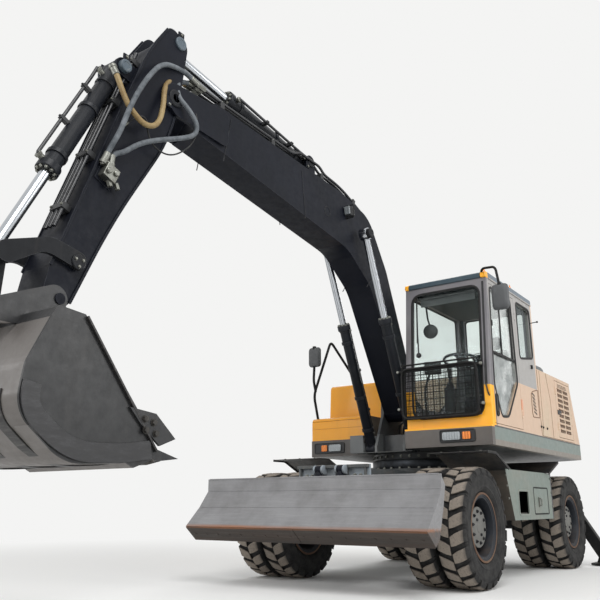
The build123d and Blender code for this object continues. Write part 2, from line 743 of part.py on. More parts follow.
def blade_points():
    """Base and eye of the left blade cylinder."""
    base = at((FRONT_AXLE_X, 0.0), BLADE_CYL_BASE)
    eye = at((FRONT_AXLE_X, 0.0), BLADE_CYL_EYE)
    return (base[0], BLADE_CYL_Y, base[1]), (eye[0], BLADE_CYL_Y, eye[1])


def blade_barrels():
    """Barrels of the two blade cylinders."""
    base, eye = blade_points()
    return twin(lambda: barrel(base, eye, BLADE_CYL_R, BLADE_CYL_L, BLADE_ROD_R, 60.0, 22.0, CYL_SIDE))


def blade_rods():
    """Rods of the two blade cylinders."""
    base, eye = blade_points()
    bore_r = BLADE_CYL_R - CYL_WALL - 1.0
    return twin(lambda: piston_rod(base, eye, BLADE_ROD_R, 97.0, BLADE_EYE_R, 60.0, CYL_SIDE, bore_r))


def out_points():
    """Base and eye of the left outrigger's cylinder."""
    x = FRONT_AXLE_X - OUT_X
    return (x, OUT_CYL_BASE[0], OUT_CYL_BASE[1]), (x, OUT_CYL_EYE[0], OUT_CYL_EYE[1])


def outrigger_leg():
    """Left leg with its foot plate."""
    x = FRONT_AXLE_X - OUT_X
    half_t = OUT_LEG_T / 2
    h = OUT_LEG_H
    upper = front_plate(strap(OUT_PIVOT, OUT_ELBOW, h), x - half_t, x + half_t)
    lower = front_plate(strap(OUT_ELBOW, OUT_FOOT, h * 0.85), x - half_t, x + half_t)
    leg = upper + lower
    leg = leg - bar((x - h, OUT_PIVOT[0], OUT_PIVOT[1]), (x + h, OUT_PIVOT[0], OUT_PIVOT[1]), OUT_PIN_R + FIT)
    for side in (-1, 1):
        x0, x1 = sorted((x + side * 36.0, x + side * half_t))
        leg = leg + front_plate(strap(OUT_CYL_EYE, (OUT_CYL_EYE[0] + 10, OUT_ELBOW[1]), 100.0), x0, x1)
    slot = block(x - 35.0, x + 35.0, OUT_CYL_EYE[0] - 150, OUT_CYL_EYE[0] + 150,
                 OUT_CYL_EYE[1] - 60, OUT_CYL_EYE[1] + 200)
    leg = leg - slot
    pad = block(x - OUT_PAD_W / 2 - 30, x + OUT_PAD_W / 2 + 30, OUT_FOOT[0] - OUT_PAD_L / 2,
                OUT_FOOT[0] + OUT_PAD_L / 2, OUT_PAD_LIFT, OUT_PAD_LIFT + OUT_PAD_T)
    for side in (-1, 1):
        x0, x1 = sorted((x + side * half_t, x + side * (half_t + 18.0)))
        rows = ((OUT_FOOT[0] - 90, OUT_PAD_LIFT + 5), (OUT_FOOT[0] + 90, OUT_PAD_LIFT + 5),
                (OUT_FOOT[0] + 40, OUT_FOOT[1] + 45), (OUT_FOOT[0] - 40, OUT_FOOT[1] + 45))
        pad = pad + front_plate(rows, x0, x1)
    ground = block(x - 400, x + 400, 0, 2000, -500, OUT_PAD_LIFT)
    return leg + pad - ground


def outrigger_barrel():
    """Left outrigger's cylinder barrel."""
    base, eye = out_points()
    return barrel(base, eye, OUT_CYL_R, OUT_CYL_L, OUT_ROD_R, 100.0, OUT_PIN_R, OUT_SIDE)


def outrigger_rod():
    """Left outrigger's cylinder rod."""
    base, eye = out_points()
    return piston_rod(base, eye, OUT_ROD_R, 327.0, 42.0, 58.0, OUT_SIDE, OUT_CYL_R - CYL_WALL - 1.0)


def tail_round(inset):
    """Round column that limits the upper structure's rear."""
    return bar((SLEW_X, 0, 0), (SLEW_X, 0, ROOF_TOP), TAIL_R - inset)


def deck_rows(inset):
    """Rows of the deck's plan, drawn in by an inset."""
    x = SLEW_X
    w = HALF_W - inset
    cab = CAB_INNER_Y - 15.0 + inset
    tank = -TANK_INNER_Y - inset
    return ((x + DECK_FRONT_CAB - inset, w, 0.0), (x - TAIL_R, w, 0.0), (x - TAIL_R, -w, 0.0),
            (x + DECK_FRONT_RIGHT - inset, -w, 0.0), (x + DECK_FRONT_RIGHT - inset, tank, 0.0),
            (x + DECK_FRONT_MID - inset, tank, 0.0), (x + DECK_FRONT_MID - inset, cab, 0.0),
            (x + DECK_FRONT_CAB - inset, cab, 0.0))


def upper_deck():
    """Revolving frame with skirts, bearing race and the boom's foot brackets."""
    deck = plan_plate(deck_rows(0.0), DECK_BOTTOM, DECK_TOP) & tail_round(0.0)
    hollow = plan_plate(deck_rows(SKIRT_T), DECK_BOTTOM + DECK_PLATE, DECK_TOP - DECK_PLATE)
    deck = deck - (hollow & tail_round(SKIRT_T))
    race = bar((SLEW_X, 0, RING_BOTTOM + 12), (SLEW_X, 0, RING_TOP + PIN_GAP), RING_BORE_R - FIT)
    race = race + bar((SLEW_X, 0, RING_TOP + PIN_GAP), (SLEW_X, 0, DECK_BOTTOM + DECK_PLATE), RING_R - 20)
    race = race - bar((SLEW_X, 0, RING_BOTTOM), (SLEW_X, 0, DECK_BOTTOM + 1), RING_BORE_R - 70)
    well = block(SLEW_X + BOOM_CYL_BASE[0] - 130, SLEW_X + DECK_FRONT_MID + 10, -BOOM_CYL_Y - 75,
                 BOOM_CYL_Y + 75, DECK_BOTTOM - 10, DECK_TOP + 10)
    deck = deck + race - well
    back = block(SLEW_X + BOOM_CYL_BASE[0] - 150, SLEW_X + BOOM_CYL_BASE[0] - 120,
                 -BOOM_CYL_Y - 75, BOOM_CYL_Y + 75, DECK_BOTTOM, DECK_TOP)
    deck = deck + back
    base = at((SLEW_X, 0.0), BOOM_CYL_BASE)
    for side in (-1, 1):
        inner = side * (BOOM_HALF_W + MOVING_GAP)
        y0, y1 = sorted((inner, inner + side * 30.0))
        rows = ((FOOT[0] - 330, DECK_TOP - 10), (FOOT[0] - 110, FOOT[1] + 60, 60.0), (FOOT[0] + 60, FOOT[1] + 110, 90.0),
                (FOOT[0] + 130, FOOT[1] - 60, 60.0), (base[0] + 70, base[1] + 20, 40.0),
                (base[0] + 70, DECK_BOTTOM + 0.5), (FOOT[0] - 330, DECK_BOTTOM + 0.5))
        deck = deck + side_plate(rows, y0, y1)
        outer = side * (BOOM_CYL_Y + BOOM_CYL_R + 8.0)
        y0, y1 = sorted((outer, outer + side * 14.0))
        ear = side_plate(((base[0] - 122, DECK_BOTTOM), (base[0] + 60, DECK_BOTTOM, 40.0),
                          (base[0] + 60, base[1] + 70, 50.0), (base[0] - 122, base[1] + 70)), y0, y1)
        deck = deck + ear
    reach = BOOM_CYL_Y + BOOM_CYL_R + 20.0
    inner = BOOM_HALF_W + MOVING_GAP + 1.0
    for side in (-1, 1):
        y0, y1 = sorted((side * inner, side * reach))
        deck = deck + cross_pin(base, y0, y1, 34.0)
    pin_reach = BOOM_HALF_W + MOVING_GAP + 30.0
    return deck + cross_pin(FOOT, -pin_reach, pin_reach, BOOM_PIN_R)


def counterweight():
    """Rounded cast weight at the tail, its upper edge drawn in."""
    x = SLEW_X
    block_ = block(x - TAIL_R, x - CW_FRONT, -HALF_W, HALF_W, DECK_TOP, CW_TOP)
    slope = (TAIL_R - CW_CHAMFER, CW_TOP - DECK_TOP)
    cone = Pos(SLEW_X, 0, DECK_TOP + slope[1] / 2) * Cone(TAIL_R, slope[0], slope[1])
    depth, half_w, rim = CW_RECESS
    recess = block(x - CW_FRONT - depth, x - CW_FRONT, -half_w, half_w, DECK_TOP + rim, CW_TOP - rim)
    return (block_ & cone) - recess


def engine_block():
    """Engine as one plain mass on the deck."""
    x = SLEW_X - CW_FRONT + 120.0
    return block(x, x + ENGINE_L, -ENGINE_W / 2, ENGINE_W / 2, DECK_TOP, DECK_TOP + ENGINE_H)


def housing_void(inset):
    """Block of the engine housing drawn in by an inset."""
    return block(SLEW_X - CW_FRONT + 0.5 + inset, SLEW_X - CAB_REAR - 6.0 - inset,
                 -HALF_W + inset, HALF_W - inset, DECK_TOP, BODY_TOP - inset)


def service_hole(extra):
    """Left opening for the service door, grown by extra on each side."""
    return block(SLEW_X - SERVICE_REAR - extra, SLEW_X - SERVICE_FRONT + extra, HALF_W - PANEL_T - 1,
                 HALF_W + 1, SERVICE_BOTTOM - extra, SERVICE_TOP + extra)


def hood_hole(extra):
    """Opening for the hood in the housing's top, grown by extra on each side."""
    return block(SLEW_X - HOOD_REAR - extra, SLEW_X - HOOD_FRONT + extra, -HOOD_HALF_W - extra,
                 HOOD_HALF_W + extra, BODY_TOP - PANEL_T - 1, BODY_TOP + 1)


def service_pair(shell):
    """The housing with the left door's fixed hinges, and the door."""
    door = block(SLEW_X - SERVICE_REAR, SLEW_X - SERVICE_FRONT, HALF_W - PANEL_T, HALF_W,
                 SERVICE_BOTTOM, SERVICE_TOP)
    heights = (SERVICE_BOTTOM + 80, SERVICE_TOP - 80 - HINGE_L)
    return side_hinges(shell, door, SLEW_X - SERVICE_FRONT + DOOR_GAP / 2, HALF_W, heights)


def service_door():
    """Left louvred door of the engine housing."""
    spare = block(SLEW_X, SLEW_X + 1, 0, 1, 0, 1)
    return service_pair(spare)[1]


def hood_pair(shell):
    """The housing with the hood's fixed hinges, and the hood."""
    lid = block(SLEW_X - HOOD_REAR, SLEW_X - HOOD_FRONT, -HOOD_HALF_W, HOOD_HALF_W,
                BODY_TOP - PANEL_T, BODY_TOP + HOOD_RISE)
    t = PANEL_T
    lid = lid - block(SLEW_X - HOOD_REAR + t, SLEW_X - HOOD_FRONT - t, -HOOD_HALF_W + t, HOOD_HALF_W - t,
                      BODY_TOP - PANEL_T - 1, BODY_TOP + HOOD_RISE - t)
    x = SLEW_X - HOOD_FRONT + DOOR_GAP / 2
    z = BODY_TOP + HOOD_HINGE_Z
    third = HINGE_L / 3
    for side in (-1, 1):
        y = side * HOOD_HALF_W * 0.7 - HINGE_L / 2
        fixed, moving, room = hinge_parts((x, y, z), (x, y + HINGE_L, z))
        for y0 in (y, y + 2 * third):
            fixed = fixed + block(x + 2, x + 32, y0, y0 + third, BODY_TOP - 1, z)
        leaf = block(x - 16, x - HINGE_R * 0.5 - 1, y + third + 1, y + 2 * third - 1, z - 5, z + 5)
        shell = shell - room + fixed
        lid = lid - room + moving + leaf
    return shell, lid


def engine_housing():
    """Sheet housing behind the cab, open below, with its door openings."""
    shell = housing_void(0.0) - housing_void(PANEL_T)
    hole = service_hole(DOOR_GAP)
    shell = shell - hole - mirror_y(hole) - hood_hole(DOOR_GAP)
    shell = service_pair(shell)[0]
    shell = mirror_y(service_pair(mirror_y(shell))[0])
    return hood_pair(shell)[0]


def engine_hood():
    """Hood over the engine, a shallow lid standing proud of the housing."""
    spare = block(SLEW_X, SLEW_X + 1, 0, 1, 0, 1)
    return hood_pair(spare)[1]


def tank_boxes():
    """Right-hand tank and tool boxes, low in front and high behind."""
    x = SLEW_X
    rows = ((x + TANK_FRONT_X - 20, DECK_TOP, 0.0), (x + TANK_FRONT_X - 20, TANK_LOW_TOP, 60.0),
            (x + TANK_BACK_X, TANK_LOW_TOP, 0.0), (x + TANK_BACK_X - 30, TANK_TOP, 60.0),
            (x - CAB_REAR + 1.0, TANK_TOP, 0.0), (x - CAB_REAR + 1.0, DECK_TOP, 0.0))
    solid = side_plate(rows, -HALF_W + 2, -TANK_INNER_Y)
    face = offset(outline(rows), amount=-TANK_WALL, kind=Kind.INTERSECTION)
    core = extrude(Plane.XZ.offset(TANK_INNER_Y + TANK_WALL) * face,
                   amount=HALF_W - TANK_INNER_Y - 2 - 2 * TANK_WALL)
    return solid - core


def cab_rows(inset):
    """Rows of the cab's side outline, drawn in by an inset."""
    x = SLEW_X
    return ((x + CAB_FRONT - inset, DECK_TOP), (x + CAB_FRONT - inset, CAB_KNEE_Z),
            (x + CAB_FRONT - CAB_LEAN - inset, CAB_TOP - inset), (x - CAB_REAR + inset, CAB_TOP - inset),
            (x - CAB_REAR + inset, DECK_TOP))


def cab_solid(inset):
    """The cab's whole volume, drawn in by an inset, open towards the floor."""
    return side_plate(cab_rows(inset), CAB_INNER_Y + inset, HALF_W - inset)


def cab_windows():
    """Volumes that cut the fixed windows through the cab's walls."""
    x = SLEW_X
    front = block(x + CAB_FRONT - CAB_LEAN - 80, x + CAB_FRONT + 10, CAB_INNER_Y + 75, HALF_W - 75, 1560, 2900)
    right = side_plate(((x - 330, 2080, 40.0), (x - 330, 2900, 40.0), (x + 880, 2900, 40.0),
                        (x + 960, 2000, 40.0), (x + 960, 1700, 40.0), (x + 300, 1700, 40.0)),
                       CAB_INNER_Y - 10, CAB_INNER_Y + CAB_WALL + 10)
    rear = block(x - CAB_REAR - 10, x - CAB_REAR + CAB_WALL + 10, CAB_INNER_Y + 90, HALF_W - 90, 2300, 2900)
    quarter = side_plate(((x - 345, 2330, 50.0), (x - 345, 2900, 50.0), (x + 110, 2900, 30.0), (x + 110, 2260, 30.0)),
                         HALF_W - CAB_WALL - 10, HALF_W + 10)
    return joined(front, right, rear, quarter)


def door_rows(inset):
    """Rows of the cab door's outline, drawn in by an inset."""
    x = SLEW_X
    front = x + CAB_FRONT - DOOR_FRONT_IN
    return ((x + B_PILLAR_X + inset, DOOR_BOTTOM + inset, 0.0), (x + B_PILLAR_X + inset, DOOR_TOP - inset, 0.0),
            (front - CAB_LEAN - inset, DOOR_TOP - inset, 0.0), (front - inset, CAB_KNEE_Z - inset, 0.0),
            (front - inset, DOOR_BOTTOM + inset, 0.0))


def door_glass_rows():
    """Rows of the glass in the cab door."""
    return [(SLEW_X + x, z, r) for x, z, r in DOOR_GLASS]


def cab_shell():
    """Cab body of walls and pillars with its windows and door opening cut."""
    shell = cab_solid(0.0) - cab_solid(CAB_WALL)
    opening = side_plate(door_rows(0.0), HALF_W - CAB_WALL - 10, HALF_W + 10)
    return cab_door_pair(shell - cab_windows() - opening)[0]


def cab_door_pair(shell):
    """The cab with the door's fixed hinges, and the door, hung at its rear edge."""
    panel = side_plate(door_rows(DOOR_GAP), HALF_W - CAB_WALL + 5, HALF_W)
    panel = panel - side_plate(door_glass_rows(), HALF_W - CAB_WALL, HALF_W + 5)
    x = SLEW_X + B_PILLAR_X + DOOR_GAP / 2
    flip = Plane(origin=(x, 0, 0), z_dir=(1, 0, 0))
    heights = (DOOR_BOTTOM + 120, DOOR_TOP - 160 - HINGE_L)
    shell, panel = side_hinges(mirror(shell, about=flip), mirror(panel, about=flip), x, HALF_W, heights)
    return mirror(shell, about=flip), mirror(panel, about=flip)


def cab_glass():
    """Fixed panes, set inside the walls."""
    sheet = cab_solid(GLASS_IN) - cab_solid(GLASS_IN + GLASS_T)
    return sheet & cab_windows()


def cab_door():
    """Cab door as thick as its frame, with its glass opening."""
    spare = block(SLEW_X - 1, SLEW_X, 0, 1, 0, 1)
    return cab_door_pair(spare)[1]


def cab_door_glass():
    """Pane of the cab door."""
    return side_plate(door_glass_rows(), HALF_W - GLASS_IN - GLASS_T, HALF_W - GLASS_IN)


def cab_roof():
    """Roof panel over the cab."""
    x = SLEW_X
    front = x + CAB_FRONT - CAB_LEAN + 12.0
    rows = ((x - CAB_REAR - 4, CAB_TOP, 0.0), (x - CAB_REAR - 4, ROOF_TOP, 25.0), (front - 40, ROOF_TOP, 40.0),
            (front, CAB_TOP, 0.0))
    solid = side_plate(rows, CAB_INNER_Y - 4, HALF_W + 2)
    return solid - block(x - CAB_REAR + 40, front - 100, CAB_INNER_Y + 40, HALF_W - 40, CAB_TOP, ROOF_TOP - 10)


def cab_floor():
    """Floor plate with the seat's plinth, side consoles and steering column."""
    x = SLEW_X
    inner_y = CAB_INNER_Y + CAB_WALL + 1.0
    outer_y = HALF_W - CAB_WALL - 1.0
    floor = block(x - CAB_REAR + CAB_WALL + 1, x + CAB_FRONT - CAB_WALL - 1, inner_y, outer_y,
                  DECK_TOP, DECK_TOP + CAB_FLOOR_T)
    middle = (inner_y + outer_y) / 2
    top = DECK_TOP + CAB_FLOOR_T
    plinth = block(x - 150, x + 300, middle - 210, middle + 210, top, top + 240)
    consoles = [block(x - 180, x + 380, middle + s * 235, middle + s * 335, top, top + 470) for s in (-1, 1)]
    levers = [bar((x + 330, middle + s * 285, top + 465), (x + 345, middle + s * 275, top + 640), 16)
              for s in (-1, 1)]
    foot = (x + 800, middle, top - 5)
    head = (x + 640, middle, top + 700)
    column = bar(foot, head, 45)
    wheel_plane = Plane(origin=head, z_dir=Vector(*head) - Vector(*foot))
    rim = wheel_plane * Torus(185, 15)
    spokes = wheel_plane * (Box(360, 30, 14) + Cylinder(50, 40))
    return joined(floor, plinth, *consoles, *levers, column, rim, spokes)


def seat():
    """Operator's seat: cushion, back and head rest."""
    x = SLEW_X
    middle = (CAB_INNER_Y + HALF_W) / 2
    top = DECK_TOP + CAB_FLOOR_T + 240.0
    cushion = block(x - 130, x + 330, middle - 225, middle + 225, top, top + 130)
    back = side_plate(((x - 215, top + 60, 30.0), (x - 100, top + 60, 30.0), (x - 175, top + 720, 50.0),
                       (x - 275, top + 720, 40.0)), middle - 220, middle + 220)
    head = side_plate(((x - 280, top + 700, 20.0), (x - 190, top + 700, 20.0), (x - 205, top + 880, 40.0),
                       (x - 285, top + 880, 40.0)), middle - 130, middle + 130)
    return joined(cushion, back, head)


def window_guard():
    """Hinged bar guard over the cab's lower front window."""
    x0 = SLEW_X + CAB_FRONT + GUARD_GAP
    x1 = x0 + GUARD_BAR
    y0, y1 = CAB_INNER_Y - 15.0, HALF_W - 105.0
    frame = block(x0, x1, y0, y1, GUARD_LOW, GUARD_HIGH)
    frame = frame - block(x0 - 1, x1 + 1, y0 + 30, y1 - 30, GUARD_LOW + 30, GUARD_HIGH - 30)
    count = 12
    for i in range(1, count):
        y = y0 + (y1 - y0) * i / count
        frame = frame + bar((x0 + 8, y, GUARD_LOW + 10), (x0 + 8, y, GUARD_HIGH - 10), 4)
    rows = 8
    for i in range(1, rows):
        z = GUARD_LOW + (GUARD_HIGH - GUARD_LOW) * i / rows
        frame = frame + bar((x0 + 15, y0 + 10, z), (x0 + 15, y1 - 10, z), 4)
    for y in (y0 + 40, y1 - 40):
        frame = frame + block(SLEW_X + CAB_FRONT, x1, y - 20, y + 20, GUARD_LOW + 2, GUARD_LOW + 32)
    return frame


def tube_path(points, radius):
    """Round tube through points with ball corners."""
    legs = [bar(a, b, radius) for a, b in zip(points, points[1:])]
    balls = [Pos(*p) * Sphere(radius) for p in points[1:-1]]
    return joined(*legs, *balls)


def mirror_left():
    """Left mirror on its bent tube from the roof's corner."""
    x = SLEW_X + CAB_FRONT
    stay = tube_path(((x - 130, HALF_W - 60, ROOF_TOP - 30), (x - 60, HALF_W - 20, ROOF_TOP + 20),
                      (x + 20, HALF_W + 150, ROOF_TOP - 15), (x + 25, HALF_W + 170, ROOF_TOP - 200)), 13)
    stay = stay - cab_roof()
    shell = block(x - 10, x + 50, HALF_W + 95, HALF_W + 265, ROOF_TOP - 465, ROOF_TOP - 200)
    return stay + shell


def mirror_right():
    """Right mirror on the handrail beside the tank box."""
    x = SLEW_X + TANK_FRONT_X
    y = -HALF_W + 35.0
    rail = tube_path(((x - 100, y, TANK_LOW_TOP - 6), (x - 10, y, 2020), (x - 130, y + 180, 2700),
                      (x - 560, y + 320, TANK_TOP - 1)), 16)
    rail = rail - tank_boxes()
    shell = block(x - 20, x + 35, y - 60, y + 130, 2370, 2620)
    arm = bar((x - 15, y + 60, 2420), (x - 80.6, y + 106, 2420), 12)
    return joined(rail, shell, arm)


def boom():
    """Hollow box boom with foot boss, fork ears, cylinder bosses and brackets."""
    rows = shifted(BOOM_OUTLINE, *FOOT)
    solid = side_plate(rows, -BOOM_HALF_W, BOOM_HALF_W)
    face = offset(outline(rows), amount=-BOOM_WALL, kind=Kind.INTERSECTION)
    y = BOOM_HALF_W - BOOM_WALL
    core = extrude(Plane.XZ.offset(-y) * face, amount=2 * y)
    foot_clear = cross_pin(FOOT, -y - 1, y + 1, BOOM_BOSS_R)
    solid = solid - (core - foot_clear)
    solid = solid + cross_pin(FOOT, -BOOM_HALF_W, BOOM_HALF_W, BOOM_BOSS_R)
    solid = solid - cross_pin(FOOT, -BOOM_HALF_W - 1, BOOM_HALF_W + 1, BOOM_PIN_R + FIT)
    ears = []
    for side in (-1, 1):
        y0, y1 = sorted((side * (ARM_HALF_W + MOVING_GAP), side * (ARM_HALF_W + MOVING_GAP + BOOM_EAR_T)))
        ear_rows = ((TIP[0] - 620, TIP[1] - 150, 60.0), (TIP[0] - 620, TIP[1] + 170, 60.0),
                    (TIP[0] + 60, TIP[1] + 130, 120.0), (TIP[0] + 130, TIP[1] - 30, 120.0),
                    (TIP[0] - 20, TIP[1] - 130, 100.0))
        ears.append(side_plate(ear_rows, y0, y1))
    reach = ARM_HALF_W + MOVING_GAP + BOOM_EAR_T + 12.0
    base = at(FOOT, ARM_CYL_BASE)
    ears += pin_ears(base, 0.0, 2 * ARM_CYL_R + 14, 26.0, 75.0, (base[0], base[1] - 170), 40.0)
    return joined(solid, *ears, cross_pin(TIP, -reach, reach, ARM_PIN_R))


def boom_cylinder_points():
    """Base and eye of the left boom cylinder."""
    base = at((SLEW_X, 0.0), BOOM_CYL_BASE)
    eye = at(FOOT, BOOM_CYL_EYE)
    return (base[0], BOOM_CYL_Y, base[1]), (eye[0], BOOM_CYL_Y, eye[1])


def boom_barrels():
    """Barrels of the two boom cylinders."""
    base, eye = boom_cylinder_points()
    return twin(lambda: barrel(base, eye, BOOM_CYL_R * 0.9, BOOM_CYL_L, BOOM_ROD_R, 100.0, 34.0, CYL_SIDE))


def boom_rods():
    """Rods of the two boom cylinders."""
    base, eye = boom_cylinder_points()
    bore_r = BOOM_CYL_R * 0.9 - CYL_WALL - 1.0
    return twin(lambda: piston_rod(base, eye, BOOM_ROD_R, 640.0, 62.0, 90.0, CYL_SIDE, bore_r))


def arm_cylinder_points():
    """Base and eye of the arm cylinder."""
    base = at(FOOT, ARM_CYL_BASE)
    eye = at(TIP, ARM_CYL_EYE)
    return (base[0], 0.0, base[1]), (eye[0], 0.0, eye[1])


def arm_barrel():
    """Barrel of the arm cylinder."""
    base, eye = arm_cylinder_points()
    return barrel(base, eye, ARM_CYL_R * 0.95, ARM_CYL_L, ARM_ROD_R, 144.0, 40.0, CYL_SIDE)


def arm_rod():
    """Rod of the arm cylinder."""
    base, eye = arm_cylinder_points()
    return piston_rod(base, eye, ARM_ROD_R, 560.0, 72.0, 110.0, CYL_SIDE, ARM_CYL_R * 0.95 - CYL_WALL - 1.0)


def arm():
    """Hollow box arm with its slot for the cylinder eye, ears and pins."""
    rows = shifted(ARM_OUTLINE, *TIP)
    solid = side_plate(rows, -ARM_HALF_W, ARM_HALF_W)
    face = offset(outline(rows), amount=-ARM_WALL, kind=Kind.INTERSECTION)
    y = ARM_HALF_W - ARM_WALL
    core = extrude(Plane.XZ.offset(-y) * face, amount=2 * y)
    low = block(TIP[0] - 500, TIP[0] + 2000, -y - 1, y + 1, TIP[1] - 1720, TIP[1] + ARM_SLOT_Z - ARM_WALL)
    solid = solid - ((core & low) - cross_pin(TIP, -y - 2, y + 2, ARM_PIN_R + 40.0))
    ear = ARM_HALF_W - ARM_EAR_T
    slot = block(TIP[0] - 500, TIP[0] + 500, -ear, ear, TIP[1] + ARM_SLOT_Z, TIP[1] + 900)
    solid = solid - slot
    solid = solid - cross_pin(TIP, -ARM_HALF_W - 1, ARM_HALF_W + 1, ARM_PIN_R + FIT)
    base = at(TIP, BUCKET_CYL_BASE)
    ears = pin_ears(base, 0.0, 2 * BUCKET_CYL_R + 10, 26.0, 72.0, (base[0] - 190, base[1] - 40), 38.0)
    rocker = at(TIP, ROCKER_PIN)
    reach = ARM_HALF_W + MOVING_GAP + ROCKER_T + PIN_GAP
    ears.append(cross_pin(rocker, -reach, reach, 36.0))
    pin = at(TIP, BUCKET_PIN)
    reach = ARM_HALF_W + MOVING_GAP + BUCKET_EAR_T + 10.0
    ears.append(cross_pin(pin, -reach, reach, BUCKET_PIN_R))
    return joined(solid, *ears)


def bucket_cylinder_points():
    """Base and eye of the bucket cylinder."""
    base = at(TIP, BUCKET_CYL_BASE)
    eye = at(TIP, ROCKER_END)
    return (base[0], 0.0, base[1]), (eye[0], 0.0, eye[1])


def bucket_barrel():
    """Barrel of the bucket cylinder."""
    base, eye = bucket_cylinder_points()
    return barrel(base, eye, BUCKET_CYL_R * 0.95, BUCKET_CYL_L, BUCKET_ROD_R, 136.0, 38.0, CYL_SIDE)


def bucket_rod():
    """Rod of the bucket cylinder."""
    base, eye = bucket_cylinder_points()
    return piston_rod(base, eye, BUCKET_ROD_R, 685.0, 60.0, 110.0, CYL_SIDE,
                      BUCKET_CYL_R * 0.95 - CYL_WALL - 1.0)


def rocker():
    """Two arched side plates with the stub pins that carry the link."""
    a = at(TIP, ROCKER_PIN)
    b = at(TIP, ROCKER_END)
    parts = []
    for side in (-1, 1):
        inner = side * (ARM_HALF_W + MOVING_GAP)
        outer = side * (ARM_HALF_W + MOVING_GAP + ROCKER_T)
        y0, y1 = sorted((inner, outer))
        rows = ((a[0] - 60, a[1] - 60, 55.0), (a[0] - 60, a[1] + 60, 55.0), (a[0] + 200, a[1] + 110, 150.0),
                (b[0] + 30, b[1] + 70, 55.0), (b[0] + 60, b[1] - 40, 55.0), (b[0] - 40, b[1] - 52, 30.0),
                (a[0] + 240, a[1] + 10, 150.0))
        plate = side_plate(rows, y0, y1) - cross_pin(a, y0 - 1, y1 + 1, 36.0 + FIT)
        p0, p1 = sorted((side * LINK_INNER, outer))
        parts.append(plate + cross_pin(b, p0, p1, 34.0))
    return joined(*parts)


def bucket_link():
    """H-shaped link from the rocker's end down to the bucket."""
    a = at(TIP, ROCKER_END)
    b = at(TIP, at(BUCKET_PIN, BUCKET_LINK_PIN))
    plates = []
    for side in (-1, 1):
        y0, y1 = sorted((side * LINK_INNER, side * (LINK_INNER + LINK_T)))
        plate = side_plate(strap(a, b, 116.0), y0, y1)
        plates.append(plate - cross_pin(a, y0 - 1, y1 + 1, 34.0 + FIT))
    middle = (a[0] * 0.42 + b[0] * 0.58, a[1] * 0.42 + b[1] * 0.58)
    web = cross_pin(middle, -LINK_INNER - 1, LINK_INNER + 1, 42.0)
    return joined(*plates, web)


def bucket():
    """Bucket of wrapper, side plates, lip, teeth and hinge ears."""
    pin = at(TIP, BUCKET_PIN)
    rows = shifted(BUCKET_OUTLINE, *pin)
    solid = side_plate(rows, -BUCKET_HALF_W, BUCKET_HALF_W)
    face = offset(outline(rows), amount=-BUCKET_PLATE, kind=Kind.INTERSECTION)
    y = BUCKET_HALF_W - BUCKET_PLATE
    core = extrude(Plane.XZ.offset(-y) * face, amount=2 * y)
    mouth = side_plate(shifted(BUCKET_MOUTH, *pin), -y, y)
    solid = solid - core - mouth
    ears = []
    for side in (-1, 1):
        inner = side * (ARM_HALF_W + MOVING_GAP)
        y0, y1 = sorted((inner, inner + side * BUCKET_EAR_T))
        link = at(pin, BUCKET_LINK_PIN)
        ear_rows = ((pin[0] - 95, pin[1] + 10, 80.0), (pin[0] + 20, pin[1] + 92, 85.0), (link[0] + 60, link[1] + 50, 60.0),
                    (link[0] + 60, link[1] - 90, 40.0), (pin[0] + 300, pin[1] - 210, 0.0), (pin[0] + 60, pin[1] - 170, 0.0))
        ear = side_plate(ear_rows, y0, y1) - cross_pin(pin, y0 - 1, y1 + 1, BUCKET_PIN_R + FIT)
        ears.append(ear)
    lip = shifted(BUCKET_LIP, *pin)
    ears.append(side_plate(lip, -BUCKET_HALF_W, BUCKET_HALF_W))
    for i in range(TOOTH_COUNT):
        span = 2 * BUCKET_HALF_W - TOOTH_W
        y = -span / 2 + span * i / (TOOTH_COUNT - 1)
        ears.append(side_plate(shifted(BUCKET_TOOTH, *pin), y - TOOTH_W / 2, y + TOOTH_W / 2))
    for side in (-1, 1):
        y0, y1 = sorted((side * BUCKET_HALF_W, side * (BUCKET_HALF_W + 18.0)))
        ears.append(side_plate(shifted(SIDE_CUTTER, *pin), y0, y1))
    return joined(solid, *ears)


def lamps():
    """Headlamps in the skirt's front and the cab roof's work lamp."""
    x = SLEW_X + DECK_FRONT_CAB
    left = block(x + FIT, x + 30, 720, 1080, 1320, 1435)
    x = SLEW_X + DECK_FRONT_RIGHT
    right = block(x + FIT, x + 30, -1120, -790, 1320, 1435)
    return left + right


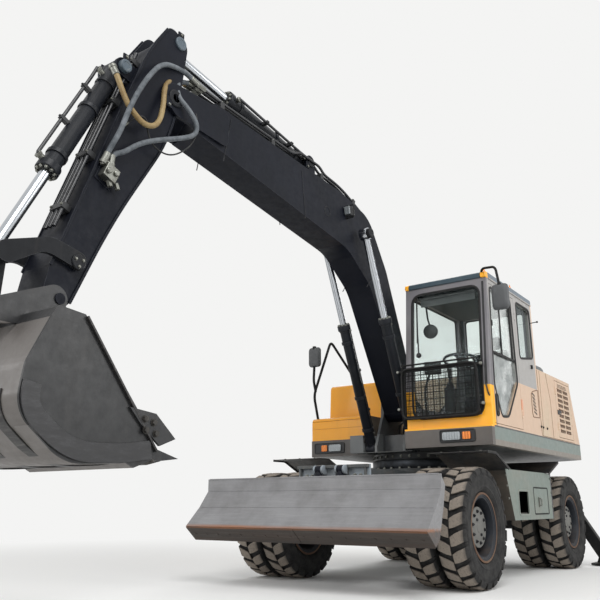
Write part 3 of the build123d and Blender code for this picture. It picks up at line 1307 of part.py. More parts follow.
os.makedirs("parts", exist_ok=True)
NODES = {
    "chassis_frame": chassis_frame,
    "front_axle": front_axle,
    "rear_axle": rear_axle,
    "drive_line": drive_line,
    "slew_ring": slew_ring,
    "step_box_left": step_box,
    "step_box_right": lambda: mirror_y(step_box()),
    "box_door_left": box_door,
    "box_door_right": lambda: mirror_y(box_door()),
    "blade": blade,
    "blade_barrels": blade_barrels,
    "blade_rods": blade_rods,
    "outrigger_leg_left": outrigger_leg,
    "outrigger_leg_right": lambda: mirror_y(outrigger_leg()),
    "outrigger_barrel_left": outrigger_barrel,
    "outrigger_barrel_right": lambda: mirror_y(outrigger_barrel()),
    "outrigger_rod_left": outrigger_rod,
    "outrigger_rod_right": lambda: mirror_y(outrigger_rod()),
    "knuckle_left": knuckle,
    "knuckle_right": lambda: mirror_y(knuckle()),
    "upper_deck": upper_deck,
    "counterweight": counterweight,
    "engine_block": engine_block,
    "engine_housing": engine_housing,
    "engine_hood": engine_hood,
    "service_door_left": service_door,
    "service_door_right": lambda: mirror_y(service_door()),
    "tank_boxes": tank_boxes,
    "cab_shell": cab_shell,
    "cab_glass": cab_glass,
    "cab_door": cab_door,
    "cab_door_glass": cab_door_glass,
    "cab_roof": cab_roof,
    "cab_floor": cab_floor,
    "seat": seat,
    "window_guard": window_guard,
    "mirror_left": mirror_left,
    "mirror_right": mirror_right,
    "lamps": lamps,
    "boom": boom,
    "boom_barrels": boom_barrels,
    "boom_rods": boom_rods,
    "arm_barrel": arm_barrel,
    "arm_rod": arm_rod,
    "arm": arm,
    "bucket_barrel": bucket_barrel,
    "bucket_rod": bucket_rod,
    "rocker": rocker,
    "bucket_link": bucket_link,
    "bucket": bucket,
}
for axle_name, axle_x in (("front", FRONT_AXLE_X), ("rear", REAR_AXLE_X)):
    rims = twin_rims(axle_x)
    inner_tyre, outer_tyre = twin_tyres(axle_x)
    NODES[f"rims_{axle_name}_left"] = lambda shape=rims: shape
    NODES[f"rims_{axle_name}_right"] = lambda shape=rims: mirror_y(shape)
    pair = inner_tyre + outer_tyre
    NODES[f"tyres_{axle_name}_left"] = lambda shape=pair: shape
    NODES[f"tyres_{axle_name}_right"] = lambda shape=pair: mirror_y(shape)
for node, make in NODES.items():
    kept(node, make())
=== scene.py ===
"""Wheeled excavator: finishes, trim, hoses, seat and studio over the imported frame."""
import logging
import math
from collections.abc import Iterable, Sequence
from dataclasses import dataclass
from enum import Enum

import bmesh
import bpy
from mathutils import Matrix, Vector


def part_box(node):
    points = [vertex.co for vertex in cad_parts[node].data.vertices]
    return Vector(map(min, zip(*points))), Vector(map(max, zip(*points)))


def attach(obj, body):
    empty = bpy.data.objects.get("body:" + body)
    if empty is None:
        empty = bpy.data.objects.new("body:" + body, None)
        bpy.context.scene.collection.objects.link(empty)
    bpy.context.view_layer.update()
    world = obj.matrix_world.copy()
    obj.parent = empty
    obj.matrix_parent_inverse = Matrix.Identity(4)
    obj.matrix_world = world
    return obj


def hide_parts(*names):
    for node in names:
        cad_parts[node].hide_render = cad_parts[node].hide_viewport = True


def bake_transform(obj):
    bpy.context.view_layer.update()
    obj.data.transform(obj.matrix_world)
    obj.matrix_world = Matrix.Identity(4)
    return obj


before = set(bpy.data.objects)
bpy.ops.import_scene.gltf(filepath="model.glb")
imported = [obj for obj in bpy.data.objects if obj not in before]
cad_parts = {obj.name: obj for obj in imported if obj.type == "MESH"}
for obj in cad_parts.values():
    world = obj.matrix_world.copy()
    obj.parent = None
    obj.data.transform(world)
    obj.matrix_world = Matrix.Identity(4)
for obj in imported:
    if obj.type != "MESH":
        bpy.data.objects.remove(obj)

log = logging.getLogger("excavator")

Point = tuple[float, float, float]
Flat = tuple[float, float]
Tree = bpy.types.NodeTree
Socket = bpy.types.NodeSocket

SLEW_X = -1.6925        # axis that the upper body turns about
FRONT_X = -0.310        # front axle
REAR_X = -3.075         # rear axle
HUB_Z = 0.527           # height of both axles
FOOT = (-1.160, 1.750)  # boom's foot pin, x and z
TIP = (2.690, 3.710)    # pin between boom and arm, x and z
CORE = 0.0005           # radius that closes a turned part at its axis
PROUD = 0.0005          # how far trim stands off the plate behind it
ANY = 99.0              # a masked zone has no limit here


def linear(hex_code: str) -> tuple[float, float, float, float]:
    """Turn an sRGB hex colour into linear light.

    Args:
        hex_code: Colour as #RRGGBB.

    Returns:
        Linear red, green and blue with full opacity.
    """
    parts = [int(hex_code[i:i + 2], 16) / 255 for i in (1, 3, 5)]
    red, green, blue = (c / 12.92 if c <= 0.04045 else ((c + 0.055) / 1.055) ** 2.4 for c in parts)
    return red, green, blue, 1.0


def add(tree: Tree, kind: str, links: dict | None = None, **settings: object) -> bpy.types.Node:
    """Add one node with its settings, values and links.

    Args:
        tree: Node tree of the material.
        kind: Node type without its ShaderNode prefix.
        links: Socket name or index with the value or the output that feeds it.
        **settings: Properties of the node itself.

    Returns:
        The new node.
    """
    node = tree.nodes.new("ShaderNode" + kind)
    for name, value in settings.items():
        setattr(node, name, value)
    for key, value in (links or {}).items():
        if isinstance(value, Socket):
            tree.links.new(value, node.inputs[key])
        else:
            node.inputs[key].default_value = value
    return node


def per_metre(millimetres: float) -> float:
    """Noise scale whose features measure this many millimetres."""
    return 1000.0 / millimetres


def clouds(tree: Tree, where: Socket, millimetres: float, detail: float, roughness: float = 0.5,
           distortion: float = 0.0) -> Socket:
    """Noise from 0 to 1 whose features measure this many millimetres."""
    return add(tree, "TexNoise", {"Vector": where, "Scale": per_metre(millimetres), "Detail": detail,
                                  "Roughness": roughness, "Distortion": distortion}).outputs["Fac"]


def spread(tree: Tree, value: Socket, low: float, high: float, bottom: float = 0.0,
           top: float = 1.0) -> Socket:
    """The values from low to high, spread over the range from bottom to top."""
    return add(tree, "MapRange", {"Value": value, "From Min": low, "From Max": high, "To Min": bottom,
                                  "To Max": top}).outputs[0]


def over(tree: Tree, share: Socket, under: str | Socket, hue: str) -> Socket:
    """A hue laid over a hue or a mixture, by a share from 0 to 1."""
    start = linear(under) if isinstance(under, str) else under
    return add(tree, "Mix", {0: share, 6: start, 7: linear(hue)}, data_type="RGBA").outputs[2]


def product(tree: Tree, one: Socket, two: float | Socket) -> Socket:
    """Two strengths multiplied, kept from 0 to 1."""
    return add(tree, "Math", {0: one, 1: two}, operation="MULTIPLY", use_clamp=True).outputs[0]


def stretched(tree: Tree, where: Socket, scale: Point) -> Socket:
    """Places drawn out along the axes whose scale is small."""
    return add(tree, "Mapping", {"Vector": where, "Scale": scale}).outputs[0]


def bands(tree: Tree, where: Socket, millimetres: float, way: str) -> Socket:
    """Soft stripes of this width, one after another along an axis or a diagonal."""
    turns_a_metre = per_metre(millimetres) / math.tau
    return add(tree, "TexWave", {"Vector": where, "Scale": turns_a_metre},
               bands_direction=way).outputs["Fac"]


def relief(tree: Tree, height: Socket, strength: float, metres: float) -> Socket:
    """Small ups and downs of the surface."""
    return add(tree, "Bump", {"Height": height, "Strength": strength, "Distance": metres}).outputs[0]


def principled(tree: Tree, values: dict) -> None:
    """End the tree in one principled surface."""
    add(tree, "OutputMaterial", {"Surface": add(tree, "BsdfPrincipled", values).outputs[0]})


class Finish:
    """A material that is built once and shared."""

    built: dict[str, bpy.types.Material] = {}
    name: str

    def material(self) -> bpy.types.Material:
        """Build the finish's material at its first use.

        Returns:
            The material, the same one each time.
        """
        if self.name not in Finish.built:
            made = bpy.data.materials.new(self.name)
            made.use_nodes = True
            made.node_tree.nodes.clear()
            where = add(made.node_tree, "TexCoord").outputs["Object"]
            self.build(made.node_tree, where)
            Finish.built[self.name] = made
        return Finish.built[self.name]

    def build(self, tree: Tree, where: Socket) -> None:
        """Lay out the finish's nodes.

        Args:
            tree: Empty node tree of the material.
            where: Place of each point on the piece, in metres.
        """
        raise NotImplementedError


@dataclass(frozen=True)
class Enamel(Finish):
    """Two-pack machine enamel, sprayed on steel plate: a soft gloss that dust and rain have dulled."""

    name: str
    paint: str
    faded: str = "#8C8880"
    dust: str = "#A39A8C"
    rust: str = "#7A4526"
    fade: float = 0.35
    dusty: float = 0.25
    rusty: float = 0.0
    streaks: float = 0.15
    roughness: float = 0.42
    coat: float = 0.0
    orange_peel_mm: float = 9.0
    bump: float = 0.06
    edges: float = 0.0
    edge_hue: str = "#9A9A98"
    gloss: float = 0.5

    def build(self, tree: Tree, where: Socket) -> None:
        """Lay out paint, fading, rain streaks, dust, edge wear and rust.

        Args:
            tree: Empty node tree of the material.
            where: Place of each point on the piece, in metres.
        """
        fading = spread(tree, clouds(tree, where, 420, 5.0, 0.6), 0.42, 0.72, top=self.fade)
        colour = over(tree, fading, self.paint, self.faded)
        drawn = stretched(tree, where, (1.0, 1.0, 0.07))
        wet = spread(tree, clouds(tree, drawn, 45, 4.0, 0.65), 0.52, 0.75, top=self.streaks)
        colour = over(tree, wet, colour, self.dust)
        grit = clouds(tree, where, 70, 8.0, 0.7)
        up = add(tree, "SeparateXYZ", {0: add(tree, "NewGeometry").outputs["Normal"]}).outputs["Z"]
        lying = spread(tree, up, 0.1, 1.0, bottom=0.12)
        settled = spread(tree, grit, 0.35, 0.7, top=self.dusty * 1.8)
        colour = over(tree, product(tree, lying, settled), colour, self.dust)
        if self.edges:
            round_edge = add(tree, "Bevel", {"Radius": 0.006}, samples=4).outputs[0]
            true = add(tree, "NewGeometry").outputs["Normal"]
            bend = add(tree, "VectorMath", {0: round_edge, 1: true},
                       operation="DOT_PRODUCT").outputs["Value"]
            broken = spread(tree, grit, 0.42, 0.6, top=self.edges)
            rubbed = product(tree, spread(tree, bend, 0.995, 0.9), broken)
            colour = over(tree, rubbed, colour, self.edge_hue)
        if self.rusty:
            spots = clouds(tree, drawn, 130, 9.0, 0.75, 0.4)
            bloom = spread(tree, spots, 0.62 - 0.16 * self.rusty, 0.72 - 0.10 * self.rusty,
                           top=min(1.0, self.rusty * 1.5))
            colour = over(tree, bloom, colour, self.rust)
        peel = clouds(tree, where, self.orange_peel_mm, 2.0)
        principled(tree, {
            "Base Color": colour, "Coat Weight": self.coat, "Coat Roughness": 0.25,
            "Roughness": spread(tree, grit, 0.3, 0.75, self.roughness - 0.07, self.roughness + 0.22),
            "Specular IOR Level": self.gloss, "Normal": relief(tree, peel, self.bump, 0.002)})


@dataclass(frozen=True)
class ZonedEnamel(Finish):
    """Enamel in several colours, masked off along straight lines: crisp colour breaks on one plate; a zone
    can also hold painted shade.

    Each zone is a hex colour with a box (x0, x1, y0, y1, z0, z1) in metres, without a limit where it says
    ANY, and a later zone covers an earlier one.
    """

    name: str
    ground: str
    zones: tuple[tuple[str, tuple[float, float, float, float, float, float]], ...]
    dust: str = "#9A8E80"
    stain: str = "#6B4A33"
    dusty: float = 0.2
    stained: float = 0.2
    roughness: float = 0.45

    def build(self, tree: Tree, where: Socket) -> None:
        """Lay out the ground coat, the masked coats, dust and brown water stains.

        Args:
            tree: Empty node tree of the material.
            where: Place of each point on the piece, in metres.
        """
        axes = add(tree, "SeparateXYZ", {0: where}).outputs
        colour: str | Socket = self.ground
        for hue, box in self.zones:
            inside = None
            for i, edge in enumerate(box):
                if abs(edge) == ANY:
                    continue
                test = "LESS_THAN" if i % 2 else "GREATER_THAN"
                side = add(tree, "Math", {0: axes[i // 2], 1: edge}, operation=test).outputs[0]
                inside = side if inside is None else product(tree, inside, side)
            colour = over(tree, inside, colour, hue)
        drawn = stretched(tree, where, (1.0, 1.0, 0.09))
        wet = spread(tree, clouds(tree, drawn, 60, 7.0, 0.7), 0.55, 0.8, top=self.stained)
        colour = over(tree, wet, colour, self.stain)
        dim = spread(tree, clouds(tree, where, 380, 6.0, 0.6), 0.45, 0.75, top=self.dusty)
        colour = over(tree, dim, colour, self.dust)
        grit = clouds(tree, where, 60, 8.0, 0.7)
        principled(tree, {
            "Base Color": colour, "Coat Weight": 0.12, "Coat Roughness": 0.2,
            "Roughness": spread(tree, grit, 0.3, 0.75, self.roughness - 0.08, self.roughness + 0.2),
            "Normal": relief(tree, clouds(tree, where, 14, 2.0), 0.05, 0.002)})


@dataclass(frozen=True)
class Rubber(Finish):
    """Vulcanised natural rubber: near black, matt, and grey where dust sits on it."""

    name: str
    base: str = "#1B1B1C"
    dust: str = "#8A8279"
    dusty: float = 0.5
    roughness: float = 0.82
    grain_mm: float = 6.0
    bump: float = 0.25

    def build(self, tree: Tree, where: Socket) -> None:
        """Lay out black rubber with dust in clouds and a fine moulded grain.

        Args:
            tree: Empty node tree of the material.
            where: Place of each point on the piece, in metres.
        """
        veil = spread(tree, clouds(tree, where, 150, 9.0, 0.72), 0.36, 0.68, top=self.dusty)
        grain = clouds(tree, where, self.grain_mm, 4.0)
        principled(tree, {
            "Base Color": over(tree, veil, self.base, self.dust), "Roughness": self.roughness,
            "Specular IOR Level": 0.35, "Normal": relief(tree, grain, self.bump, 0.0015)})


@dataclass(frozen=True)
class TreadRubber(Finish):
    """Tyre rubber: scuffed to pale dust on its lug tips, black in its grooves, brown-grey on its wall."""

    name: str
    base: str = "#1D1D1E"
    scuffed: str = "#978D82"
    wall: str = "#4A4947"
    axle_x: float = FRONT_X
    tip: float = HUB_Z
    tip_dust: float = 0.85

    def build(self, tree: Tree, where: Socket) -> None:
        """Lay out dust by the distance from the axle, cut up by fine scratches.

        Args:
            tree: Empty node tree of the material.
            where: Place of each point on the piece, in metres.
        """
        spin = add(tree, "Mapping", {"Vector": where, "Location": (-self.axle_x, 0.0, -HUB_Z),
                                     "Scale": (1.0, 0.0, 1.0)}).outputs[0]
        radius = add(tree, "VectorMath", {0: spin}, operation="LENGTH").outputs["Value"]
        fleck = clouds(tree, where, 18, 6.0, 0.8)
        high = spread(tree, radius, self.tip - 0.014, self.tip - 0.003)
        scuff = product(tree, high, spread(tree, fleck, 0.15, 0.50, top=self.tip_dust))
        veil = spread(tree, clouds(tree, where, 90, 10.0, 0.75), 0.38, 0.7, top=0.62)
        colour = over(tree, scuff, over(tree, veil, self.base, self.wall), self.scuffed)
        principled(tree, {"Base Color": colour, "Roughness": 0.86, "Specular IOR Level": 0.3,
                          "Normal": relief(tree, fleck, 0.15, 0.002)})


@dataclass(frozen=True)
class BareMetal(Finish):
    """Metal with no paint, turned, plated or zinc dipped: mirror highlights broken by lines and grime."""

    name: str
    tone: str = "#C9CBCE"
    grime: str = "#5A5148"
    grimy: float = 0.15
    roughness: float = 0.12
    line_mm: float = 4.0
    lines: float = 0.04

    def build(self, tree: Tree, where: Socket) -> None:
        """Lay out metal with a thin film of oil and dirt.

        Args:
            tree: Empty node tree of the material.
            where: Place of each point on the piece, in metres.
        """
        film = clouds(tree, where, 60, 8.0, 0.7)
        veil = spread(tree, film, 0.45, 0.75, top=self.grimy)
        principled(tree, {
            "Base Color": over(tree, veil, self.tone, self.grime), "Metallic": 1.0,
            "Roughness": spread(tree, film, 0.3, 0.7, self.roughness, self.roughness + 0.16),
            "Normal": relief(tree, clouds(tree, where, self.line_mm, 2.0), self.lines, 0.001)})


@dataclass(frozen=True)
class WornSteel(Finish):
    """Hot-rolled plate worn by soil: dark mill scale, pale drag scratches along an axis, rust below."""

    name: str
    base: str = "#6F7073"
    scratch: str = "#9B9B9C"
    rust: str = "#A4562A"
    dark: str = "#3A3532"
    scratch_scale: Point = (1.0, 1.0, 0.08)
    scratch_mm: float = 26.0
    scratched: float = 0.5
    rust_low: float = -10.0
    rust_high: float = -9.0
    rusty: float = 0.0
    line_z: float = -10.0
    line_rust: float = 0.0
    roughness: float = 0.5
    metallic: float = 0.25

    def build(self, tree: Tree, where: Socket) -> None:
        """Lay out plate, scratches, a rusty band between two heights and dark stains.

        Args:
            tree: Empty node tree of the material.
            where: Place of each point on the piece, in metres.
        """
        height = add(tree, "SeparateXYZ", {0: where}).outputs["Z"]
        patch = spread(tree, clouds(tree, where, 300, 8.0, 0.65), 0.4, 0.75, top=0.4)
        colour = over(tree, patch, self.base, self.dark)
        drag = stretched(tree, where, self.scratch_scale)
        fine = clouds(tree, drag, self.scratch_mm, 8.0, 0.8)
        colour = over(tree, spread(tree, fine, 0.5, 0.72, top=self.scratched), colour, self.scratch)
        band = spread(tree, height, self.rust_low, self.rust_high, 1.0, 0.0)
        spots = clouds(tree, drag, 90, 9.0, 0.75)
        bloom = spread(tree, spots, 0.4, 0.62, top=self.rusty)
        colour = over(tree, product(tree, band, 0.8), colour, self.dark)
        colour = over(tree, product(tree, band, bloom), colour, self.rust)
        away = add(tree, "Math", {0: height, 1: self.line_z}, operation="SUBTRACT").outputs[0]
        away = add(tree, "Math", {0: away}, operation="ABSOLUTE").outputs[0]
        near = spread(tree, away, 0.003, 0.020, self.line_rust, 0.0)
        ragged = spread(tree, spots, 0.35, 0.6)
        colour = over(tree, product(tree, near, ragged), colour, self.rust)
        principled(tree, {
            "Base Color": colour, "Metallic": self.metallic,
            "Roughness": spread(tree, fine, 0.3, 0.7, self.roughness + 0.15, self.roughness - 0.1),
            "Normal": relief(tree, fine, 0.12, 0.003)})


@dataclass(frozen=True)
class SheetGlass(Finish):
    """Tempered safety glass: clear with a green cast, a bright skin of reflection and a dusty veil."""

    name: str
    tint: str = "#FAFDFC"
    clear: float = 0.985
    dust: str = "#D4D6D4"
    dusty: float = 0.025
    mirrored: str = "#747E82"

    def build(self, tree: Tree, where: Socket) -> None:
        """Lay out thin glass: see-through, a mirror skin that grows at grazing angles, and dust.

        Args:
            tree: Empty node tree of the material.
            where: Place of each point on the piece, in metres.
        """
        film = spread(tree, clouds(tree, where, 240, 6.0, 0.65), 0.4, 0.7, top=self.dusty)
        clear = add(tree, "BsdfTransparent", {"Color": linear(self.tint)}).outputs[0]
        gloss = add(tree, "BsdfPrincipled", {"Base Color": linear(self.mirrored), "Roughness": 0.02,
                                             "Metallic": 1.0}).outputs[0]
        facing = add(tree, "LayerWeight", {"Blend": 0.5}).outputs["Facing"]
        edge = add(tree, "Math", {0: facing, 1: 5.0}, operation="POWER", use_clamp=True).outputs[0]
        skin = spread(tree, edge, 0.0, 1.0, bottom=1.0 - self.clear)
        pane = add(tree, "MixShader", {0: skin, 1: clear, 2: gloss}).outputs[0]
        powder = add(tree, "BsdfDiffuse", {"Color": linear(self.dust)}).outputs[0]
        pane = add(tree, "MixShader", {0: film, 1: pane, 2: powder}).outputs[0]
        add(tree, "OutputMaterial", {"Surface": pane})


@dataclass(frozen=True)
class MouldedPlastic(Finish):
    """Injection-moulded ABS or acrylic: even colour and a fine leather grain."""

    name: str
    tone: str = "#202124"
    worn: str = "#4A4B4D"
    roughness: float = 0.5
    grain_mm: float = 3.0
    bump: float = 0.12

    def build(self, tree: Tree, where: Socket) -> None:
        """Lay out the pigment, a worn cloud and the moulded grain.

        Args:
            tree: Empty node tree of the material.
            where: Place of each point on the piece, in metres.
        """
        rub = spread(tree, clouds(tree, where, 120, 6.0, 0.65), 0.45, 0.8, top=0.5)
        grain = add(tree, "TexVoronoi", {"Vector": where, "Scale": per_metre(self.grain_mm)})
        principled(tree, {
            "Base Color": over(tree, rub, self.tone, self.worn), "Roughness": self.roughness,
            "Normal": relief(tree, grain.outputs["Distance"], self.bump, 0.0006)})


@dataclass(frozen=True)
class WovenCloth(Finish):
    """Flat-woven polyester seat cover: over and under threads that catch light in turn, a soft sheen."""

    name: str
    warp: str = "#3A3D42"
    weft: str = "#24262A"
    thread_mm: float = 2.4      # real thread is 0.8 mm; drawn coarser so that it shows

    def build(self, tree: Tree, where: Socket) -> None:
        """Lay out crossed threads and a sheen.

        Args:
            tree: Empty node tree of the material.
            where: Place of each point on the piece, in metres.
        """
        across, along = (bands(tree, where, self.thread_mm, way) for way in ("Y", "DIAGONAL"))
        weave = product(tree, across, along)
        principled(tree, {
            "Base Color": over(tree, weave, self.weft, self.warp), "Roughness": 0.9, "Sheen Weight": 0.4,
            "Sheen Roughness": 0.4, "Normal": relief(tree, weave, 0.4, 0.001)})


@dataclass(frozen=True)
class ClearLens(Finish):
    """Polycarbonate lamp lens over a bright reflector: ribbed, wet-looking and lit by what it mirrors."""

    name: str
    tone: str = "#E8ECEE"
    rib_mm: float = 14.0

    def build(self, tree: Tree, where: Socket) -> None:
        """Lay out a glossy ribbed skin over a pale reflector.

        Args:
            tree: Empty node tree of the material.
            where: Place of each point on the piece, in metres.
        """
        ribs = bands(tree, where, self.rib_mm, "Y")
        principled(tree, {
            "Base Color": linear(self.tone), "Roughness": 0.12, "Metallic": 0.35, "Coat Weight": 1.0,
            "Coat Roughness": 0.04, "Normal": relief(tree, ribs, 0.35, 0.003)})


@dataclass(frozen=True)
class StudioPaper(Finish):
    """Seamless paper: matt, pale, and plain white where the camera sees it far off."""

    name: str
    tone: str = "#F2F2F1"
    shade: str = "#DEDEDD"
    sweep: str = "#F4F4F3"
    middle: Point = (-1.2, 0.0, 0.0)

    def build(self, tree: Tree, where: Socket) -> None:
        """Lay out paper with the faintest unevenness, and the bright sweep far from the machine.

        Args:
            tree: Empty node tree of the material.
            where: Place of each point on the piece, in metres.
        """
        uneven = add(tree, "TexNoise", {"Vector": where, "Scale": 0.4, "Detail": 2.0}).outputs["Fac"]
        veil = spread(tree, uneven, 0.0, 1.0, top=0.06)
        paper = add(tree, "BsdfPrincipled", {"Base Color": over(tree, veil, self.tone, self.shade),
                                             "Roughness": 0.95, "Specular IOR Level": 0.1})
        distance = add(tree, "VectorMath", {0: where, 1: self.middle}, operation="DISTANCE").outputs["Value"]
        far = add(tree, "MapRange", {"Value": distance, "From Min": 4.0, "From Max": 10.0},
                  interpolation_type="SMOOTHSTEP").outputs[0]
        swept = product(tree, far, add(tree, "LightPath").outputs["Is Camera Ray"])
        sweep = add(tree, "Emission", {"Color": linear(self.sweep), "Strength": 1.0})
        surface = add(tree, "MixShader", {0: swept, 1: paper.outputs[0], 2: sweep.outputs[0]})
        add(tree, "OutputMaterial", {"Surface": surface.outputs[0]})


# Finishes of this machine; the hues are read from the photograph.
CHARCOAL = Enamel("charcoal_enamel_on_plate", "#10131B", faded="#191C26", dust="#3E3A38", fade=0.5,
                  dusty=0.12, streaks=0.06, roughness=0.42, edges=0.30, edge_hue="#74777E", gloss=0.12)
CHARCOAL_ROUGH = Enamel("charcoal_enamel_on_castings", "#16181C", faded="#222428", dust="#4A4641", fade=0.5,
                        dusty=0.25, roughness=0.5, bump=0.2, orange_peel_mm=16, edges=0.4,
                        edge_hue="#77787A", gloss=0.18)
AMBER_YELLOW = Enamel("amber_yellow_enamel", "#FFB010", faded="#FFBC34", dust="#B08A40", rust="#7B4A20",
                      fade=0.35, dusty=0.2, streaks=0.1, roughness=0.33, coat=0.3, rusty=0.05)
BEIGE = Enamel("sun_bleached_beige_enamel", "#CDB097", faded="#BDB499", dust="#92704F", rust="#7A5038",
               fade=0.5, dusty=0.25, streaks=0.3, roughness=0.42, coat=0.12, rusty=0.10)
MINT = Enamel("mint_grey_enamel", "#7C857E", faded="#8F958F", dust="#8A7D6C", rust="#6B4630", fade=0.45,
              dusty=0.35, streaks=0.35, roughness=0.5, rusty=0.22)
SATIN_BLACK = Enamel("satin_black_enamel", "#101112", faded="#1C1D1F", dust="#5A544C", fade=0.3, dusty=0.2,
                     streaks=0.08, roughness=0.5, rusty=0.03, gloss=0.25)
CHASSIS_GREY = Enamel("chassis_grey_enamel", "#4A4E50", faded="#5E6262", dust="#857A6C", rust="#6A432A",
                      fade=0.5, dusty=0.5, streaks=0.3, roughness=0.6, rusty=0.2)
RIM_GREY = Enamel("rim_blue_grey_enamel", "#1E232A", faded="#2C323A", dust="#4E443C", rust="#5E3F2C",
                  fade=0.5, dusty=0.4, streaks=0.1, roughness=0.5, rusty=0.15, gloss=0.3)
PIN_GREY = Enamel("pin_cap_blue_grey_enamel", "#48545D", faded="#5C6972", dust="#6E6A64", fade=0.5,
                  dusty=0.3, roughness=0.45, edges=0.5, gloss=0.4)
RIM_LIP = Enamel("rim_lip_rust_brown", "#5C4435", faded="#77614F", dust="#8E8174", rust="#7A4A2C", fade=0.6,
                 dusty=0.4, roughness=0.7, rusty=0.4, gloss=0.3)
HUB_GREY = Enamel("hub_face_grey_enamel", "#656562", faded="#757570", dust="#5E564D", rust="#6B4B38",
                  fade=0.5, dusty=0.4, streaks=0.2, roughness=0.55, rusty=0.12)
AXLE_GREY = Enamel("axle_grey_enamel_on_castings", "#3C3F41", faded="#4B4D4E", dust="#7B7064", fade=0.4,
                   dusty=0.6, roughness=0.6, bump=0.25, orange_peel_mm=20, rusty=0.15)
ROOF_EDGE = Enamel("roof_edge_slate_enamel", "#33454F", faded="#46565F", dust="#7D8284", fade=0.4,
                   dusty=0.25, streaks=0.1, roughness=0.4, gloss=0.4)
ROOF_GREY = Enamel("roof_blue_grey_enamel", "#5A6672", faded="#6C7883", dust="#8B8B88", fade=0.4, dusty=0.35,
                   streaks=0.1, roughness=0.4, coat=0.2)
BLADE_STEEL = WornSteel("blade_plate_worn", base="#88888A", scratch="#A2A2A2", rust="#96603A",
                        dark="#3A3531", scratch_scale=(1.0, 0.05, 1.0), scratch_mm=22, scratched=0.35,
                        rust_low=0.520, rust_high=0.532, rusty=0.12, line_z=0.530, line_rust=0.8,
                        metallic=0.1)
BUCKET_SIDE = WornSteel("bucket_side_enamel_scuffed", base="#222224", scratch="#45464A", rust="#5A4030",
                        dark="#18181A", scratch_scale=(0.3, 1.0, 1.0), scratch_mm=40, scratched=0.35,
                        roughness=0.42, metallic=0.0)
TEETH_STEEL = WornSteel("teeth_forged_steel", base="#34322F", scratch="#77726B", rust="#6A4528",
                        dark="#1E1C1B", scratch_mm=18, scratched=0.4, roughness=0.55)
CHROME = BareMetal("hard_chrome_on_rod", tone="#B9BDC2", roughness=0.10, grimy=0.12, lines=0.004)
ZINC = BareMetal("zinc_plated_steel", tone="#84857F", roughness=0.38, grimy=0.6, grime="#3E3932")
RING_STEEL = BareMetal("oily_bearing_steel", tone="#3C3F43", roughness=0.35, grimy=0.6, grime="#201C18")
HOSE_GREY = Rubber("grey_hose_wrap", base="#3A4045", dust="#8F949A", dusty=0.55, roughness=0.6, grain_mm=4)
HOSE_GOLD = Rubber("gold_braid_hose", base="#7A6440", dust="#B7A477", dusty=0.5, roughness=0.5, grain_mm=4)
HOSE_BLACK = Rubber("black_hose_rubber", base="#141517", dust="#55534F", dusty=0.3, roughness=0.55,
                    grain_mm=4)
SEAL = Rubber("window_seal_rubber", base="#0E0F10", dust="#3A3836", dusty=0.25, roughness=0.6, grain_mm=3,
              bump=0.1)
GLASS = SheetGlass("tempered_cab_glass")
SIDE_GLASS = SheetGlass("tempered_side_glass", clear=0.80, dust="#EDEFEE", dusty=0.45, mirrored="#DDE2E2")
BLACK_ABS = MouldedPlastic("black_abs", tone="#1A1B1D", worn="#3A3B3D")
GREY_ABS = MouldedPlastic("grey_abs", tone="#4B4D4F", worn="#6E6F70", roughness=0.55)
DARK_TRIM = MouldedPlastic("dark_interior_trim", tone="#2E3032", worn="#47494B", roughness=0.65)
LINING = MouldedPlastic("cab_lining_grey_green", tone="#4B5254", worn="#5C6263", roughness=0.8, grain_mm=6.0)
AMBER_LENS = ClearLens("amber_lens", tone="#D9760E")
LAMP_LENS = ClearLens("clear_lens", tone="#8E9497")
RED_LENS = ClearLens("red_lens", tone="#A3140E")
SEAT_CLOTH = WovenCloth("seat_polyester")
ENGINE_ALLOY = Enamel("engine_cast_iron_enamel", "#3A3D40", faded="#55585A", dust="#6B6259", fade=0.4,
                      dusty=0.5, roughness=0.6, bump=0.3, orange_peel_mm=18, rusty=0.15)
PAPER = StudioPaper("studio_paper")
AMBER_SHADE = Enamel("amber_enamel_in_shade", "#B56F0E", faded="#C27C18", dust="#8A6A38", fade=0.3,
                     dusty=0.2, roughness=0.45)
BROWN_SEAM = Rubber("brown_seam_sealant", base="#5A3A26", dust="#8A6B52", dusty=0.4, grain_mm=3, bump=0.1)
# Dark brown of the louvre slots: painted shade, with a little dust on it.
LOUVRE_SHADE = Rubber("louvre_slot_painted_shade", base="#3A281D", dust="#6E5340", dusty=0.3, grain_mm=4, bump=0.1)
EDGE_STEEL = WornSteel("cutting_edge_steel", base="#38332F", scratch="#5E5850", rust="#8E5A36",
                       dark="#2A2622", scratch_scale=(1.0, 0.05, 1.0), scratch_mm=20, scratched=0.25,
                       rust_low=0.40, rust_high=0.52, rusty=0.10, line_z=0.524, line_rust=0.9,
                       roughness=0.65, metallic=0.05)
BUCKET_STRIP = WornSteel("bucket_strip_worn", base="#2B2A2A", scratch="#6A6560", rust="#5A4030",
                         dark="#1B1A1A", scratch_scale=(1.0, 0.1, 1.0), scratch_mm=24, scratched=0.4,
                         roughness=0.45)
PIPE_BLACK = Enamel("pipe_black_enamel", "#14161B", faded="#24272D", dust="#55534F", fade=0.4, dusty=0.3,
                    roughness=0.28, gloss=0.5)
DARK_GREY = Enamel("dark_grey_enamel_on_ballast", "#5C6265", faded="#6E7374", dust="#8A7F74", fade=0.4,
                   dusty=0.3, streaks=0.3, roughness=0.5, rusty=0.08)
CYLINDER_GREY = Enamel("cylinder_blue_grey_enamel", "#15181E", faded="#20242B", dust="#46443F", fade=0.5,
                       dusty=0.15, roughness=0.36, edges=0.25, gloss=0.22)
